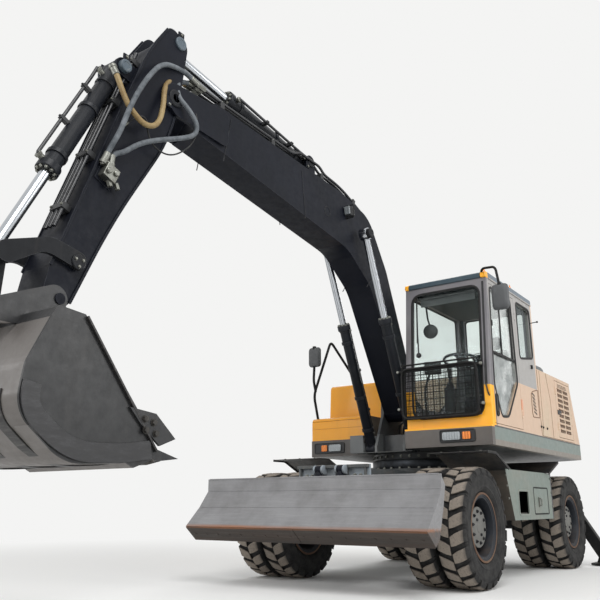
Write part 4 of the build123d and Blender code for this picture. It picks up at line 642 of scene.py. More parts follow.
CAB_COAT = ZonedEnamel("cab_masked_enamel", ground="#727074", dust="#A79C90", stain="#6E5A4B", dusty=0.12,
                       stained=0.15, zones=(
    ("#9E9C9A", (-ANY, -0.745, 1.200, ANY, 1.975, 3.0)),
    ("#CBAF97", (-ANY, -0.745, 1.200, ANY, 1.40, 1.975)),
    ("#CFB49D", (-ANY, -2.085, 1.200, ANY, 1.40, 2.99)),
    ("#FFB418", (-0.72, ANY, 0.0, 1.30, 1.40, 1.562)),
    ("#FFB418", (-0.72, ANY, 1.157, 1.30, 1.40, 1.850)),
    ("#FFB418", (-0.72, ANY, 0.0, 0.425, 1.40, 1.846)),
))
DECK_COAT = ZonedEnamel("deck_masked_enamel", ground="#3E4143", dust="#7D7164", stain="#5A4030", zones=(
    ("#717D78", (-ANY, ANY, 1.19, 1.30, 1.325, 1.445)),
    ("#7C766E", (-ANY, ANY, 1.19, 1.30, 1.20, 1.325)),
    ("#55504C", (-0.66, ANY, 0.30, 1.256, 1.20, 1.445)),
    ("#FFB418", (-0.66, ANY, 0.30, 1.30, 1.443, 1.60)),
    ("#4E4A47", (-1.30, ANY, -1.30, -0.45, 1.20, 1.47)),
    ("#5C5F60", (-1.00, ANY, -0.52, 0.33, 1.20, 1.47)),
))
CHASSIS_COAT = ZonedEnamel("chassis_masked_enamel", ground="#3F4345", dust="#7A6F62", stain="#4E3526",
                           dusty=0.4, stained=0.4, roughness=0.6, zones=(
    ("#8D979F", (0.235, ANY, -0.42, 0.42, 0.60, 1.20)),
))
BALLAST_COAT = ZonedEnamel("ballast_masked_enamel", ground="#93A69B", dust="#8A7F74", stain="#5E5144",
                           zones=(
    ("#CDB097", (-ANY, ANY, 1.2535, 1.30, 1.40, 3.0)),
    ("#CDB097", (-ANY, ANY, -1.30, -1.2535, 1.40, 3.0)),
))
TANK_COAT = ZonedEnamel("tank_masked_enamel", ground="#F5A61A", dust="#B58A4C", stain="#7D5528", dusty=0.25,
                        stained=0.25, roughness=0.34, zones=(
    ("#3A3B3C", (-ANY, ANY, -0.515, 0.0, 1.40, 2.30)),
))
# Step boxes in mint enamel; the dark blue-grey rear face is painted shade.
STEP_COAT_AND_SHADE = ZonedEnamel("step_box_enamel_and_painted_shade", ground="#717C75", dust="#8C7F70", stain="#6B5240",
                        dusty=0.3, stained=0.35, roughness=0.5, zones=(
    ("#45403A", (-1.17, -0.90, -1.2088, 1.2088, 0.50, 1.062)),
    ("#131415", (-0.985, ANY, -ANY, ANY, 0.90, 1.30)),
    ("#131415", (-ANY, -2.22, -ANY, ANY, 1.056, 1.30)),
    # Rear face of the box below the mudguard, dark blue-grey: painted shade.
    ("#2A3039", (-ANY, -2.398, -ANY, ANY, 0.50, 1.056)),
))
BUCKET_COAT = ZonedEnamel("bucket_side_and_back_enamel", ground="#625E5B", dust="#4A4642", stain="#2C2927",
                          dusty=0.15, stained=0.4, roughness=0.5, zones=(
    ("#17181A", (-ANY, ANY, 0.486, 0.55, -9, 1.80)),
    ("#17181A", (-ANY, ANY, -0.55, -0.486, -9, 1.80)),
    ("#1E1F21", (-ANY, ANY, -ANY, ANY, 1.70, 3.0)),
))

# Section of the rubber seal that holds a pane.
RUBBER_LIP = ((-0.012, -0.004), (0.012, -0.004), (0.012, 0.0025), (0.006, 0.0055), (-0.006, 0.0055),
              (-0.012, 0.0025))


class Side(Enum):
    """Left and right of the machine, as seen from the seat."""

    LEFT = 1
    RIGHT = -1


def rounded(before: Vector, corner: Vector, after: Vector, radius: float, steps: int) -> list[Vector]:
    """Curve that takes the place of a corner.

    Args:
        before: Point that the run comes from.
        corner: The corner itself.
        after: Point that the run goes to.
        radius: How far from the corner the curve starts and ends.
        steps: Parts of the curve.

    Returns:
        Points of the curve, or the corner alone where there is no room.
    """
    back, on = before - corner, after - corner
    reach = min(radius, back.length * 0.49, on.length * 0.49)
    if reach < 1e-5:
        return [corner]
    a, b = corner + back.normalized() * reach, corner + on.normalized() * reach
    shares = [i / steps for i in range(steps + 1)]
    return [a * (1 - t) ** 2 + corner * 2 * t * (1 - t) + b * t * t for t in shares]


def arc_rows(points: Iterable[Sequence[float]], steps: int = 5) -> list[Vector]:
    """Round the corners of a rigid pipe's or seal's run.

    Args:
        points: Rows of x, y, z and the corner's radius, which the ends and sharp corners leave out.
        steps: Parts of each corner.

    Returns:
        Points along the run.
    """
    rows = list(points)
    places = [Vector(row[:3]) for row in rows]
    run = [places[0]]
    for before, corner, after, row in zip(places, places[1:], places[2:], rows[1:]):
        run += rounded(before, corner, after, row[3] if len(row) > 3 else 0.0, steps)
    return [*run, places[-1]]


def loop_rows(corners: Iterable[Sequence[float]], radius: float, steps: int = 6) -> list[Vector]:
    """Closed run with every corner rounded.

    Args:
        corners: Places of the corners in order.
        radius: How far from each corner its curve starts.
        steps: Parts of each corner.

    Returns:
        Points round the loop, the first not repeated.
    """
    places = [Vector(c[:3]) for c in corners]
    run: list[Vector] = []
    for before, corner, after in zip(places[-1:] + places, places, places[1:] + places[:1]):
        run += rounded(before, corner, after, radius, steps)
    return run


def turns(count: int, start: float = 0.0) -> list[float]:
    """Angles evenly round a circle, the first moved on by a part of a step."""
    return [math.tau * (k + start) / count for k in range(count)]


def directions(path: Sequence[Vector], closed: bool) -> list[Vector]:
    """Find which way a run leads.

    Args:
        path: Points of the run.
        closed: Whether the run returns to its start.

    Returns:
        One direction for each point.
    """
    last = len(path) - 1
    leads = []
    for i, place in enumerate(path):
        ahead = path[(i + 1) % len(path)] if closed or i < last else place
        behind = path[i - 1] if closed or i > 0 else place
        leads.append((ahead - behind).normalized())
    return leads


def strip(half: float, low: float, high: float, top: float | None = None) -> tuple[Flat, ...]:
    """Section of a flat strip by its half width and heights, the upper edge narrower if asked."""
    upper = half if top is None else top
    return (-half, low), (half, low), (upper, high), (-upper, high)


def upright(x: float, y0: float, y1: float, z0: float, z1: float) -> list[Point]:
    """Corners of a rectangle that faces forward."""
    return [(x, y0, z0), (x, y1, z0), (x, y1, z1), (x, y0, z1)]


def level(x0: float, x1: float, y0: float, y1: float, z: float) -> list[Point]:
    """Corners of a rectangle that lies flat."""
    return [(x0, y0, z), (x1, y0, z), (x1, y1, z), (x0, y1, z)]


class Stock:
    """Plate, bar, tube and pressings gathered into the mesh of one piece."""

    def __init__(self) -> None:
        """Start with an empty mesh."""
        self.mesh = bmesh.new()

    def grid(self, rings: Sequence[Sequence[Vector]], closed: bool, caps: bool = True) -> None:
        """Skin rings of equal length with quads.

        Args:
            rings: Rings of points in order.
            closed: Whether the last ring joins the first.
            caps: Whether open ends get a face.
        """
        rows = [[self.mesh.verts.new(p) for p in ring] for ring in rings]
        pairs = list(zip(rows, rows[1:])) + ([(rows[-1], rows[0])] if closed else [])
        size = len(rows[0])
        for low, high in pairs:
            for i in range(size):
                k = (i + 1) % size
                self.mesh.faces.new((low[i], low[k], high[k], high[i]))
        if caps and not closed:
            self.mesh.faces.new(rows[0][::-1])
            self.mesh.faces.new(rows[-1])

    def box(self, one: Point, other: Point, turn: Matrix | None = None) -> None:
        """Add a block.

        Args:
            one: A corner.
            other: The corner across the block from it.
            turn: Turn about the block's middle.
        """
        low, high = (Vector(ends) for ends in zip(*(sorted(pair) for pair in zip(one, other))))
        middle, half = (low + high) / 2, (high - low) / 2
        spin = turn or Matrix.Identity(3)
        rings = [[middle + spin @ Vector((half.x * a, half.y * b, half.z * c))
                  for a, b in strip(1, -1, 1)] for c in (-1, 1)]
        self.grid(rings, closed=False)

    def sweep(self, path: Sequence[Vector], profile: Sequence[Flat], up: Vector,
              closed: bool = False, caps: bool = True) -> None:
        """Carry a flat profile along a run.

        Args:
            path: Points of the run.
            profile: Corners of the section as sideways and upward distances.
            up: The upward direction.
            closed: Whether the run returns to its start.
            caps: Whether open ends are closed.
        """
        rings = []
        for place, along in zip(path, directions(path, closed)):
            sideways = along.cross(up.normalized()).normalized()
            rise = sideways.cross(along).normalized()
            rings.append([place + sideways * a + rise * b for a, b in profile])
        self.grid(rings, closed, caps)

    def tube(self, path: Sequence[Vector], radius: float | Sequence[float], sides: int = 10,
             closed: bool = False) -> None:
        """Round tube along a run, with no twist.

        Args:
            path: Points of the run.
            radius: One radius, or one for each point.
            sides: Faces round the tube.
            closed: Whether the run returns to its start.
        """
        radii = [radius] * len(path) if isinstance(radius, float) else list(radius)
        leads = directions(path, closed)
        normal = leads[0].orthogonal().normalized()
        rings = []
        for place, along, r in zip(path, leads, radii):
            normal = (normal - along * normal.dot(along)).normalized()
            other = along.cross(normal)
            rings.append([place + (normal * math.cos(a) + other * math.sin(a)) * r for a in turns(sides)])
        self.grid(rings, closed)

    def bar(self, start: Sequence[float], end: Sequence[float], radius: float, sides: int = 24,
            chamfer: float = 0.0) -> None:
        """Add a round bar between two places.

        Args:
            start: Middle of one end.
            end: Middle of the other end.
            radius: Radius of the bar.
            sides: Faces round it.
            chamfer: Width of the chamfer at both ends, 0 for none.
        """
        a, b = Vector(start), Vector(end)
        along = (b - a).normalized()
        if chamfer:
            path = [a, a + along * chamfer, b - along * chamfer, b]
            self.tube(path, [radius - chamfer, radius, radius, radius - chamfer], sides)
        else:
            self.tube([a, b], radius, sides)

    def lathe(self, rows: Sequence[Flat], centre: Point, axis: Point, steps: int = 64,
              closed: bool = False) -> None:
        """Turn rows of radius and height round an axis.

        Args:
            rows: Radius and distance along the axis, in order along the profile.
            centre: Where the axis has distance 0.
            axis: Direction of the axis.
            steps: Faces round the axis.
            closed: Whether the profile is a closed loop.
        """
        along = Vector(axis).normalized()
        one = along.orthogonal().normalized()
        two = along.cross(one)
        columns = []
        for a in turns(steps):
            out = one * math.cos(a) + two * math.sin(a)
            columns.append([self.mesh.verts.new(Vector(centre) + out * r + along * h) for r, h in rows])
        size = len(rows)
        for i, column in enumerate(columns):
            following = columns[(i + 1) % steps]
            for k in range(size if closed else size - 1):
                j = (k + 1) % size
                self.mesh.faces.new((column[k], column[j], following[j], following[k]))

    def prism(self, outline: Sequence[Sequence[float]], depth: Point) -> None:
        """Pull a flat outline along a direction.

        Args:
            outline: Corners in space, in order.
            depth: Direction and length of the pull.
        """
        pull = Vector(depth)
        low = [Vector(p) for p in outline]
        self.grid([low, [p + pull for p in low]], closed=False)

    def bolt(self, place: Sequence[float], facing: Point, across: float = 0.022,
             rise: float = 0.010) -> None:
        """Add a hexagon head on its washer.

        Args:
            place: Middle of the head's seat.
            facing: Direction the head looks in.
            across: Width of the head over its flats.
            rise: Height of the head.
        """
        out = Vector(facing).normalized()
        seat = Vector(place)
        self.tube([seat - out * 0.002, seat + out * 0.0025], across * 0.68, 14)
        self.tube([seat, seat + out * rise * 0.85, seat + out * rise],
                  [across * 0.56, across * 0.56, across * 0.46], 6)

    def net(self, name: str) -> bpy.types.Mesh:
        """Turn the gathered shapes into one mesh, its faces turned outward.

        Args:
            name: Name of the mesh.

        Returns:
            The mesh.
        """
        bmesh.ops.recalc_face_normals(self.mesh, faces=self.mesh.faces)
        data = bpy.data.meshes.new(name)
        self.mesh.to_mesh(data)
        self.mesh.free()
        return data

    def made(self, name: str, finish: Finish, body: str, slot: str | None = None, bevel: float = 0.0,
             angle: float = 35.0) -> bpy.types.Object:
        """Turn the gathered shapes into a piece that rides on a body.

        Args:
            name: Name of the piece.
            finish: What the piece is finished in.
            body: CAD body that carries the piece.
            slot: The record's material slot; not used.
            bevel: Width of the rounded edges in metres.
            angle: Faces that meet more steeply keep a sharp edge.

        Returns:
            The piece.
        """
        return placed(name, self.net(name), finish, body, bevel, angle)


def round_edges(piece: bpy.types.Object, width: float, angle: float) -> None:
    """Round the sharp edges of a piece or a solid.

    Args:
        piece: What gets the rounding.
        width: Width of the rounded edge in metres.
        angle: Faces that meet more steeply, in degrees, are rounded where they meet.
    """
    edge = piece.modifiers.new("rounded_edges", "BEVEL")
    edge.width, edge.segments, edge.limit_method = width, 2, "ANGLE"
    edge.angle_limit = math.radians(angle)
    edge.harden_normals = True


def placed(name: str, data: bpy.types.Mesh, finish: Finish, body: str | None,
           bevel: float = 0.0, angle: float = 35.0) -> bpy.types.Object:
    """Make a piece of a mesh, smooth it, finish it and let it ride.

    Args:
        name: Name of the piece.
        data: The mesh.
        finish: What the piece is finished in.
        body: CAD body that carries the piece, or None for a piece that rides on no body.
        bevel: Width of the rounded edges in metres.
        angle: Faces that meet more steeply keep a sharp edge.

    Returns:
        The piece.
    """
    data.polygons.foreach_set("use_smooth", [True] * len(data.polygons))
    data.set_sharp_from_angle(angle=math.radians(angle))
    data.materials.append(finish.material())
    piece = bpy.data.objects.new(name, data)
    bpy.context.scene.collection.objects.link(piece)
    if bevel:
        round_edges(piece, bevel, angle)
    if body is not None:
        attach(piece, body)
    log.info("%s: %d faces", name, len(data.polygons))
    return piece


def side_points(rows: Iterable[Flat], y: float) -> list[Point]:
    """Places of rows of x and z at one y."""
    return [(x, y, z) for x, z in rows]


def crosswise(middle: Vector, reach: Vector, y0: float, y1: float) -> list[Point]:
    """Corners of a rectangle across the machine, so far to both sides of its middle line."""
    a, b = middle - reach, middle + reach
    return [(a.x, y0, a.z), (b.x, y0, b.z), (b.x, y1, b.z), (a.x, y1, a.z)]


@dataclass
class TwinWheel:
    """One hub with its two chevron tyres on dished rims."""

    axle_x: float
    side: Side
    body: str
    tip_r: float = 0.527
    carcass_r: float = 0.502
    outer_y: float = 1.1105
    inner_y: float = 0.7895
    lugs: int = 22
    lug_half: float = 0.050
    slant: float = 0.44
    rim_r: float = 0.262
    flange_r: float = 0.300
    hub_y: float = 1.033
    nuts: int = 10
    nut_ring: float = 0.136
    shoulder: float = 0.128

    def centre(self, y: float) -> Point:
        """Place on the axle at a distance from the machine's middle."""
        return self.axle_x, self.side.value * y, HUB_Z

    def carcass(self, stock: Stock, y: float) -> None:
        """Turn one tyre's casing: bead, bulged wall with its rings, shoulder and crown.

        Args:
            stock: Where the casing's mesh is gathered.
            y: Middle of the tyre, from the machine's middle.
        """
        half = [(0.264, 0.094), (0.303, 0.097), (0.311, 0.106), (0.318, 0.112), (0.330, 0.1245),
                (0.345, 0.1300), (0.350, 0.1335), (0.357, 0.1335), (0.362, 0.1310), (0.395, 0.1345),
                (0.425, 0.1362), (0.431, 0.1372), (0.437, 0.1372), (0.442, 0.1355), (0.462, 0.1325),
                (0.480, 0.1265), (0.492, 0.1160), (0.499, 0.1000), (0.5015, 0.0700),
                (self.carcass_r, 0.0300)]
        rows = half + [(r, -h) for r, h in reversed(half)]
        stock.lathe(rows, self.centre(y), (0, 1, 0), steps=88)

    def lug(self, stock: Stock, y: float, turn: float, row: int) -> None:
        """Shape one block of the chevron, over the crown and down its shoulder.

        Args:
            stock: Where the block's mesh is gathered.
            y: Middle of the tyre, from the machine's middle.
            turn: Angle of the block's inner end round the axle.
            row: 1 for the outer row, -1 for the inner one.
        """
        stations = ((0.006, self.tip_r, 0.490), (0.050, self.tip_r, 0.490),
                    (0.100, self.tip_r - 0.002, 0.488), (0.122, self.tip_r - 0.008, 0.478),
                    (0.133, self.tip_r - 0.024, 0.470), (0.1366, self.tip_r - 0.050, 0.462))
        rings = []
        for i, (reach, top, low) in enumerate(stations):
            lead = self.slant * min(reach, self.shoulder)
            wide = self.lug_half * (1.0 if i else 0.82)
            ring = []
            for radius, half in ((low, wide + 0.005), (top, wide), (top, -wide), (low, -wide - 0.005)):
                angle = turn + (lead + half) / self.tip_r
                ring.append(Vector((self.axle_x + radius * math.cos(angle),
                                    self.side.value * y + row * reach, HUB_Z + radius * math.sin(angle))))
            rings.append(ring)
        stock.grid(rings, closed=False)

    def tyres(self) -> None:
        """Build both tyres and let them stand for the plain ones."""
        stock = Stock()
        pitch = math.tau / self.lugs
        for y in (self.inner_y, self.outer_y):
            self.carcass(stock, y)
            for i in range(self.lugs):
                for row in (-1, 1):
                    self.lug(stock, y, (i + 0.25 * row) * pitch, row)
                    rib = (i + 0.25 * row + 0.5) * pitch + self.slant * self.shoulder / self.tip_r
                    out = Vector((math.cos(rib), 0, math.sin(rib)))
                    seat = Vector(self.centre(y)) + Vector((0, row * 0.1315, 0))
                    stock.sweep([seat + out * 0.452, seat + out * 0.470,
                                 seat + out * 0.490 - Vector((0, row * 0.012, 0))],
                                strip(0.009, -0.004, 0.004, 0.007), Vector((0, row, 0)))
        finish = TreadRubber(f"tyre_rubber_{self.body}", axle_x=self.axle_x, tip=self.tip_r)
        name = self.body.replace("wheel", "tyres")
        piece = stock.made(f"chevron_{name}", finish, self.body, "tyre_rubber", bevel=0.003, angle=28)
        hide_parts(name)

    def rims(self) -> None:
        """Build both rims with lock rings, the dish, the hub and its nuts."""
        stock = Stock()
        s = self.side.value
        for y, outer in ((self.inner_y, -1), (self.outer_y, 1)):
            rows = [(0.250, -0.112), (self.flange_r - 0.004, -0.1125), (self.flange_r, -0.109),
                    (self.flange_r, -0.102), (0.292, -0.099), (self.rim_r, -0.094), (self.rim_r, 0.094),
                    (0.292, 0.099), (self.flange_r, 0.102), (self.flange_r, 0.109),
                    (self.flange_r - 0.004, 0.1125), (0.284, 0.1125), (0.281, 0.107), (0.268, 0.106),
                    (0.264, 0.100), (0.254, 0.098), (0.250, 0.090), (0.247, 0.02), (0.247, -0.10)]
            rows = [(r, h * outer * s) for r, h in rows]
            stock.lathe(rows, self.centre(y), (0, 1, 0), steps=72, closed=True)
        band = [(0.255, self.inner_y + 0.11), (0.259, self.inner_y + 0.11), (0.259, self.outer_y - 0.11),
                (0.255, self.outer_y - 0.11)]
        stock.lathe([(r, s * h) for r, h in band], (self.axle_x, 0, HUB_Z), (0, 1, 0), 72, closed=True)
        lip = [(0.302, 0.1085), (0.3015, 0.1136), (0.2835, 0.1142), (0.2832, 0.1126), (0.298, 0.1112)]
        lips = Stock()
        for y, outer in ((self.inner_y, -1), (self.outer_y, 1)):
            lips.lathe([(r, h * outer * s) for r, h in lip], self.centre(y), (0, 1, 0), 72, closed=True)
        lips.made(f"rim_lips_{self.body[6:]}", RIM_LIP, self.body, "rim_grey")
        low = self.hub_y
        dish = [(0.254, low - 0.050), (0.254, low - 0.006), (0.246, low + 0.002), (0.238, low - 0.008),
                (0.228, low - 0.036), (0.208, low - 0.048), (0.196, low - 0.050), (0.186, low - 0.044),
                (0.180, low - 0.020), (0.178, low + 0.110), (0.174, low + 0.118), (CORE, low + 0.118),
                (CORE, low - 0.060)]
        stock.lathe([(r, s * h) for r, h in dish], (self.axle_x, 0, HUB_Z), (0, 1, 0), 72, closed=True)
        piece = stock.made(f"dished_{self.body.replace('wheel', 'rims')}", RIM_GREY, self.body, "rim_grey",
                           bevel=0.0015, angle=40)
        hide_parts(self.body.replace("wheel", "rims"))
        face = Stock()
        disc = [(CORE, low + 0.1185), (0.171, low + 0.1185), (0.1765, low + 0.122), (0.1765, low + 0.13),
                (0.173, low + 0.134), (0.118, low + 0.136), (0.112, low + 0.139), (0.052, low + 0.14),
                (0.048, low + 0.144), (CORE, low + 0.145)]
        face.lathe([(r, s * h) for r, h in disc], (self.axle_x, 0, HUB_Z), (0, 1, 0), 72, closed=True)
        face.made(f"hub_face_{self.body[6:]}", HUB_GREY, self.body, "rim_grey", bevel=0.001)
        nuts = Stock()
        for turn in turns(self.nuts, 0.3):
            out = Vector((math.cos(turn), 0, math.sin(turn)))
            place = Vector((self.axle_x, s * (low + 0.1345), HUB_Z)) + out * self.nut_ring
            nuts.bolt(place, (0, s, 0), across=0.024, rise=0.014)
            nuts.bar(place, place + Vector((0, s * 0.020, 0)), 0.007, 12, chamfer=0.002)
        for turn in (1.0, 4.2):
            place = Vector((self.axle_x + 0.075 * math.cos(turn), s * (low + 0.139),
                            HUB_Z + 0.075 * math.sin(turn)))
            nuts.bolt(place, (0, s, 0), across=0.022, rise=0.012)
        stem = [Vector((self.axle_x + 0.242, s * (self.outer_y + 0.02), HUB_Z)),
                Vector((self.axle_x + 0.236, s * (self.outer_y + 0.07), HUB_Z)),
                Vector((self.axle_x + 0.232, s * (self.outer_y + 0.085), HUB_Z))]
        nuts.tube(stem, 0.005, 8)
        nuts.made(f"wheel_nuts_{self.body[6:]}", CHARCOAL_ROUGH, self.body, "rim_grey", angle=40)


@dataclass
class Undercarriage:
    """Fasteners, lips, treads and brake lines of frame, axles, step boxes and mudguards."""

    box_y: float = 1.210
    guard_front: float = -0.440
    guard_bend: float = -0.650
    latch: Flat = (-1.946, 0.752)
    door_gap: tuple[Flat, ...] = ((-1.786, 0.621), (-1.786, 0.899), (-2.264, 0.899), (-2.264, 0.621))
    step_hole: tuple[Flat, ...] = ((-1.305, 0.620), (-1.305, 0.860), (-1.615, 0.860), (-1.615, 0.620))
    treads: int = 5
    ring_r: float = 0.60
    ring_screws: int = 36
    cover_r: float = 0.132
    cover_bolts: int = 12

    def dress(self) -> None:
        """Add everything that is bolted to the frame, the axles and the step boxes."""
        self.box_trim()
        self.guard_lips()
        self.ring_bolts()
        self.front_brackets()
        self.axle_details()

    def box_trim(self) -> None:
        """Latch, door seal, step frame and the step's tread bars on each step box."""
        for side in Side:
            s, name = side.value, side.name.lower()
            face = s * (self.box_y + PROUD)
            steel = Stock()
            x, z = self.latch
            steel.box((x - 0.020, face, z - 0.055), (x + 0.016, face + s * 0.010, z + 0.045))
            handle = arc_rows([(x, face + s * 0.008, z + 0.03), (x, face + s * 0.030, z + 0.028, 0.01),
                               (x, face + s * 0.030, z - 0.038, 0.01), (x, face + s * 0.008, z - 0.04)])
            steel.tube(handle, 0.006, 10)
            steel.made(f"box_latch_{name}", ZINC, f"box_door_{name}", bevel=0.002)
            seam = Stock()
            edge = loop_rows(side_points(self.door_gap, face), 0.02, 4)
            seam.sweep(edge, strip(0.004, -0.002, 0.003, 0.003), Vector((0, s, 0)), closed=True)
            seam.made(f"box_door_seal_{name}", SEAL, "chassis")
            tread = Stock()
            for k in range(self.treads):
                x0 = -1.330 - k * 0.062
                tread.prism([(x0, s * 1.07, 0.627), (x0 + 0.03, s * 1.07, 0.627),
                             (x0 + 0.022, s * 1.07, 0.640), (x0 + 0.008, s * 1.07, 0.640)],
                            (0, s * 0.125, 0))
            tread.made(f"step_tread_{name}", CHASSIS_GREY, "chassis", "chassis_grey", bevel=0.001)
            rail = Stock()
            frame_line = loop_rows(side_points(self.step_hole, face), 0.04, 5)
            rail.sweep(frame_line, strip(0.010, -0.001, 0.004, 0.008),
                       Vector((0, s, 0)), closed=True)
            rail.made(f"step_frame_{name}", MINT, "chassis", "mint")

    def guard_lips(self) -> None:
        """Rolled outer lips of the mudguards, and the bolts of mudguards and step boxes."""
        for side in Side:
            s, name = side.value, side.name.lower()
            lips = Stock()
            section = strip(0.004, -0.020, 0.004)
            front = arc_rows([(self.guard_front + 0.004, s * 1.251, 1.203),
                              (self.guard_bend, s * 1.251, 1.203, 0.03), (-0.978, s * 1.251, 1.066)])
            lips.sweep(front, section, Vector((0, 0, 1)))
            rear = [Vector((-2.240, s * 1.251, 1.060)), Vector((-2.638, s * 1.251, 1.200))]
            lips.sweep(rear, section, Vector((0, 0, 1)))
            lips.made(f"mudguard_lip_{name}", SATIN_BLACK, "chassis", "dark", bevel=0.0015)
            bolts = Stock()
            for x, z in ((-0.980, 1.0), (-0.995, 0.9), (-1.02, 0.78), (-2.40, 1.0), (-2.40, 0.85),
                         (-2.40, 0.7)):
                bolts.bolt((x, s * (self.box_y + 0.001), z), (0, s, 0), across=0.018)
            for x in (-0.52, -0.60):
                for y in (0.75, 0.95, 1.15):
                    bolts.bolt((x, s * y, 1.206), (0, 0, 1), across=0.020)
            bolts.made(f"box_bolts_{name}", ZINC, "chassis", angle=40)

    def ring_bolts(self) -> None:
        """Two rows of screws round the slew bearing and its dust seal."""
        low, high, seal = Stock(), Stock(), Stock()
        for turn in turns(self.ring_screws):
            out = Vector((math.cos(turn), math.sin(turn), 0))
            place = Vector((SLEW_X, 0, 1.102)) + out * (self.ring_r + 0.018)
            low.bolt(place, (0, 0, 1), across=0.026, rise=0.018)
            place = Vector((SLEW_X, 0, 1.236)) + out * 0.581
            high.bolt(place, tuple(out), across=0.024, rise=0.014)
        low.made("ring_screws_fixed", ZINC, "chassis", "ring_steel", angle=40)
        high.made("ring_screws_turning", ZINC, "upper", "ring_steel", angle=40)
        loop = [Vector((SLEW_X + 0.586 * math.cos(a), 0.586 * math.sin(a), 1.1975)) for a in turns(96)]
        seal.tube(loop, 0.005, 8, closed=True)
        seal.made("ring_dust_seal", SEAL, "upper")

    def front_brackets(self) -> None:
        """Stiffening ribs and bolts on the frame's front plate."""
        stock = Stock()
        for y in (-0.36, -0.17, 0.17, 0.36):
            stock.prism([(0.264, y - 0.008, 1.076), (0.264, y + 0.008, 1.076), (0.264, y + 0.008, 0.80),
                         (0.264, y - 0.008, 0.80)], (0.030, 0, 0))
        stock.box((0.2645, -0.392, 1.050), (0.300, 0.392, 1.079))
        stock.made("front_plate_ribs", CHASSIS_GREY, "chassis", "chassis_grey", bevel=0.003)
        bolts = Stock()
        for y in (-0.30, -0.24, 0.24, 0.30):
            for z in (0.86, 0.98):
                bolts.bolt((0.266, y, z), (1, 0, 0), across=0.028, rise=0.016)
        bolts.made("front_plate_bolts", ZINC, "chassis", angle=40)

    def axle_details(self) -> None:
        """Bolts of the axles' covers, and their brake lines."""
        for x, name, face in ((FRONT_X, "front", 1), (REAR_X, "rear", -1)):
            bolts = Stock()
            for turn in turns(self.cover_bolts):
                out = Vector((math.cos(turn), 0, math.sin(turn))) * self.cover_r
                for side in (1, -1):
                    bolts.bolt(Vector((x, side * 0.151, HUB_Z)) + out, (0, side, 0), across=0.022,
                               rise=0.012)
            bolts.made(f"axle_bolts_{name}", ZINC, "chassis", angle=40)
            lines = Stock()
            for y in (-0.3, 0.3):
                run = arc_rows([(x - face * 0.05, y * 0.5, HUB_Z + 0.16),
                                (x - face * 0.09, y * 0.7, HUB_Z + 0.13, 0.03),
                                (x - face * 0.09, y * 1.3, HUB_Z + 0.11, 0.03),
                                (x - face * 0.03, y * 1.42, HUB_Z + 0.08)])
                lines.tube(run, 0.006, 8)
            lines.made(f"brake_lines_{name}", ZINC, "chassis")


@dataclass
class DozerBlade:
    """Curved blade in front, with its bolted cutting edge, fold welds and top lip."""

    half_w: float = 1.255
    axle: float = FRONT_X
    edge_top: Flat = (1.225, 0.524)
    edge_low: Flat = (1.080, 0.403)
    bolts: int = 18

    def dress(self) -> None:
        """Add the cutting edge, its plough bolts, the welds at the folds and the top lip."""
        edge = Stock()
        (x0, z0), (x1, z1) = self.edge_top, self.edge_low
        run = Vector((x1 - x0, 0, z1 - z0)).normalized()
        out = Vector((run.z, 0, -run.x))
        if out.x < 0:
            out = -out
        a = Vector((self.axle + x0, 0, z0)) + run * 0.004
        b = Vector((self.axle + x1, 0, z1))
        for k in range(2):
            y0, y1 = (-self.half_w + 0.003, -0.002) if k == 0 else (0.002, self.half_w - 0.003)
            rows = [a + out * 0.001, a + out * 0.010, b + out * 0.010, b + out * 0.001]
            edge.prism([(p.x, y0, p.z) for p in rows], (0, y1 - y0, 0))
        edge.made("blade_cutting_edge", EDGE_STEEL, "blade", "blade_grey", bevel=0.002)
        heads = Stock()
        middle = (a + b) / 2
        for k in range(self.bolts):
            y = -self.half_w + 0.07 + (2 * self.half_w - 0.14) * k / (self.bolts - 1)
            seat = Vector((middle.x, y, middle.z)) + out * 0.010
            heads.tube([seat, seat + out * 0.003, seat + out * 0.004], [0.013, 0.012, 0.009], 12)
        heads.made("blade_edge_bolts", EDGE_STEEL, "blade", "blade_grey", angle=40)
        fold = Stock()
        for x, z in ((0.930, 0.845), (1.045, 0.697)):
            line = [Vector((self.axle + x + 0.001, -self.half_w + 0.02, z)),
                    Vector((self.axle + x + 0.001, self.half_w - 0.02, z))]
            fold.tube(line, 0.0035, 8)
        fold.made("blade_fold_welds", BLADE_STEEL, "blade", "blade_grey")
        lip = Stock()
        lip.box((self.axle + 0.912, -self.half_w + 0.02, 0.953),
                (self.axle + 0.934, self.half_w - 0.02, 0.966))
        lip.made("blade_top_lip", BLADE_STEEL, "blade", "blade_grey", bevel=0.003)


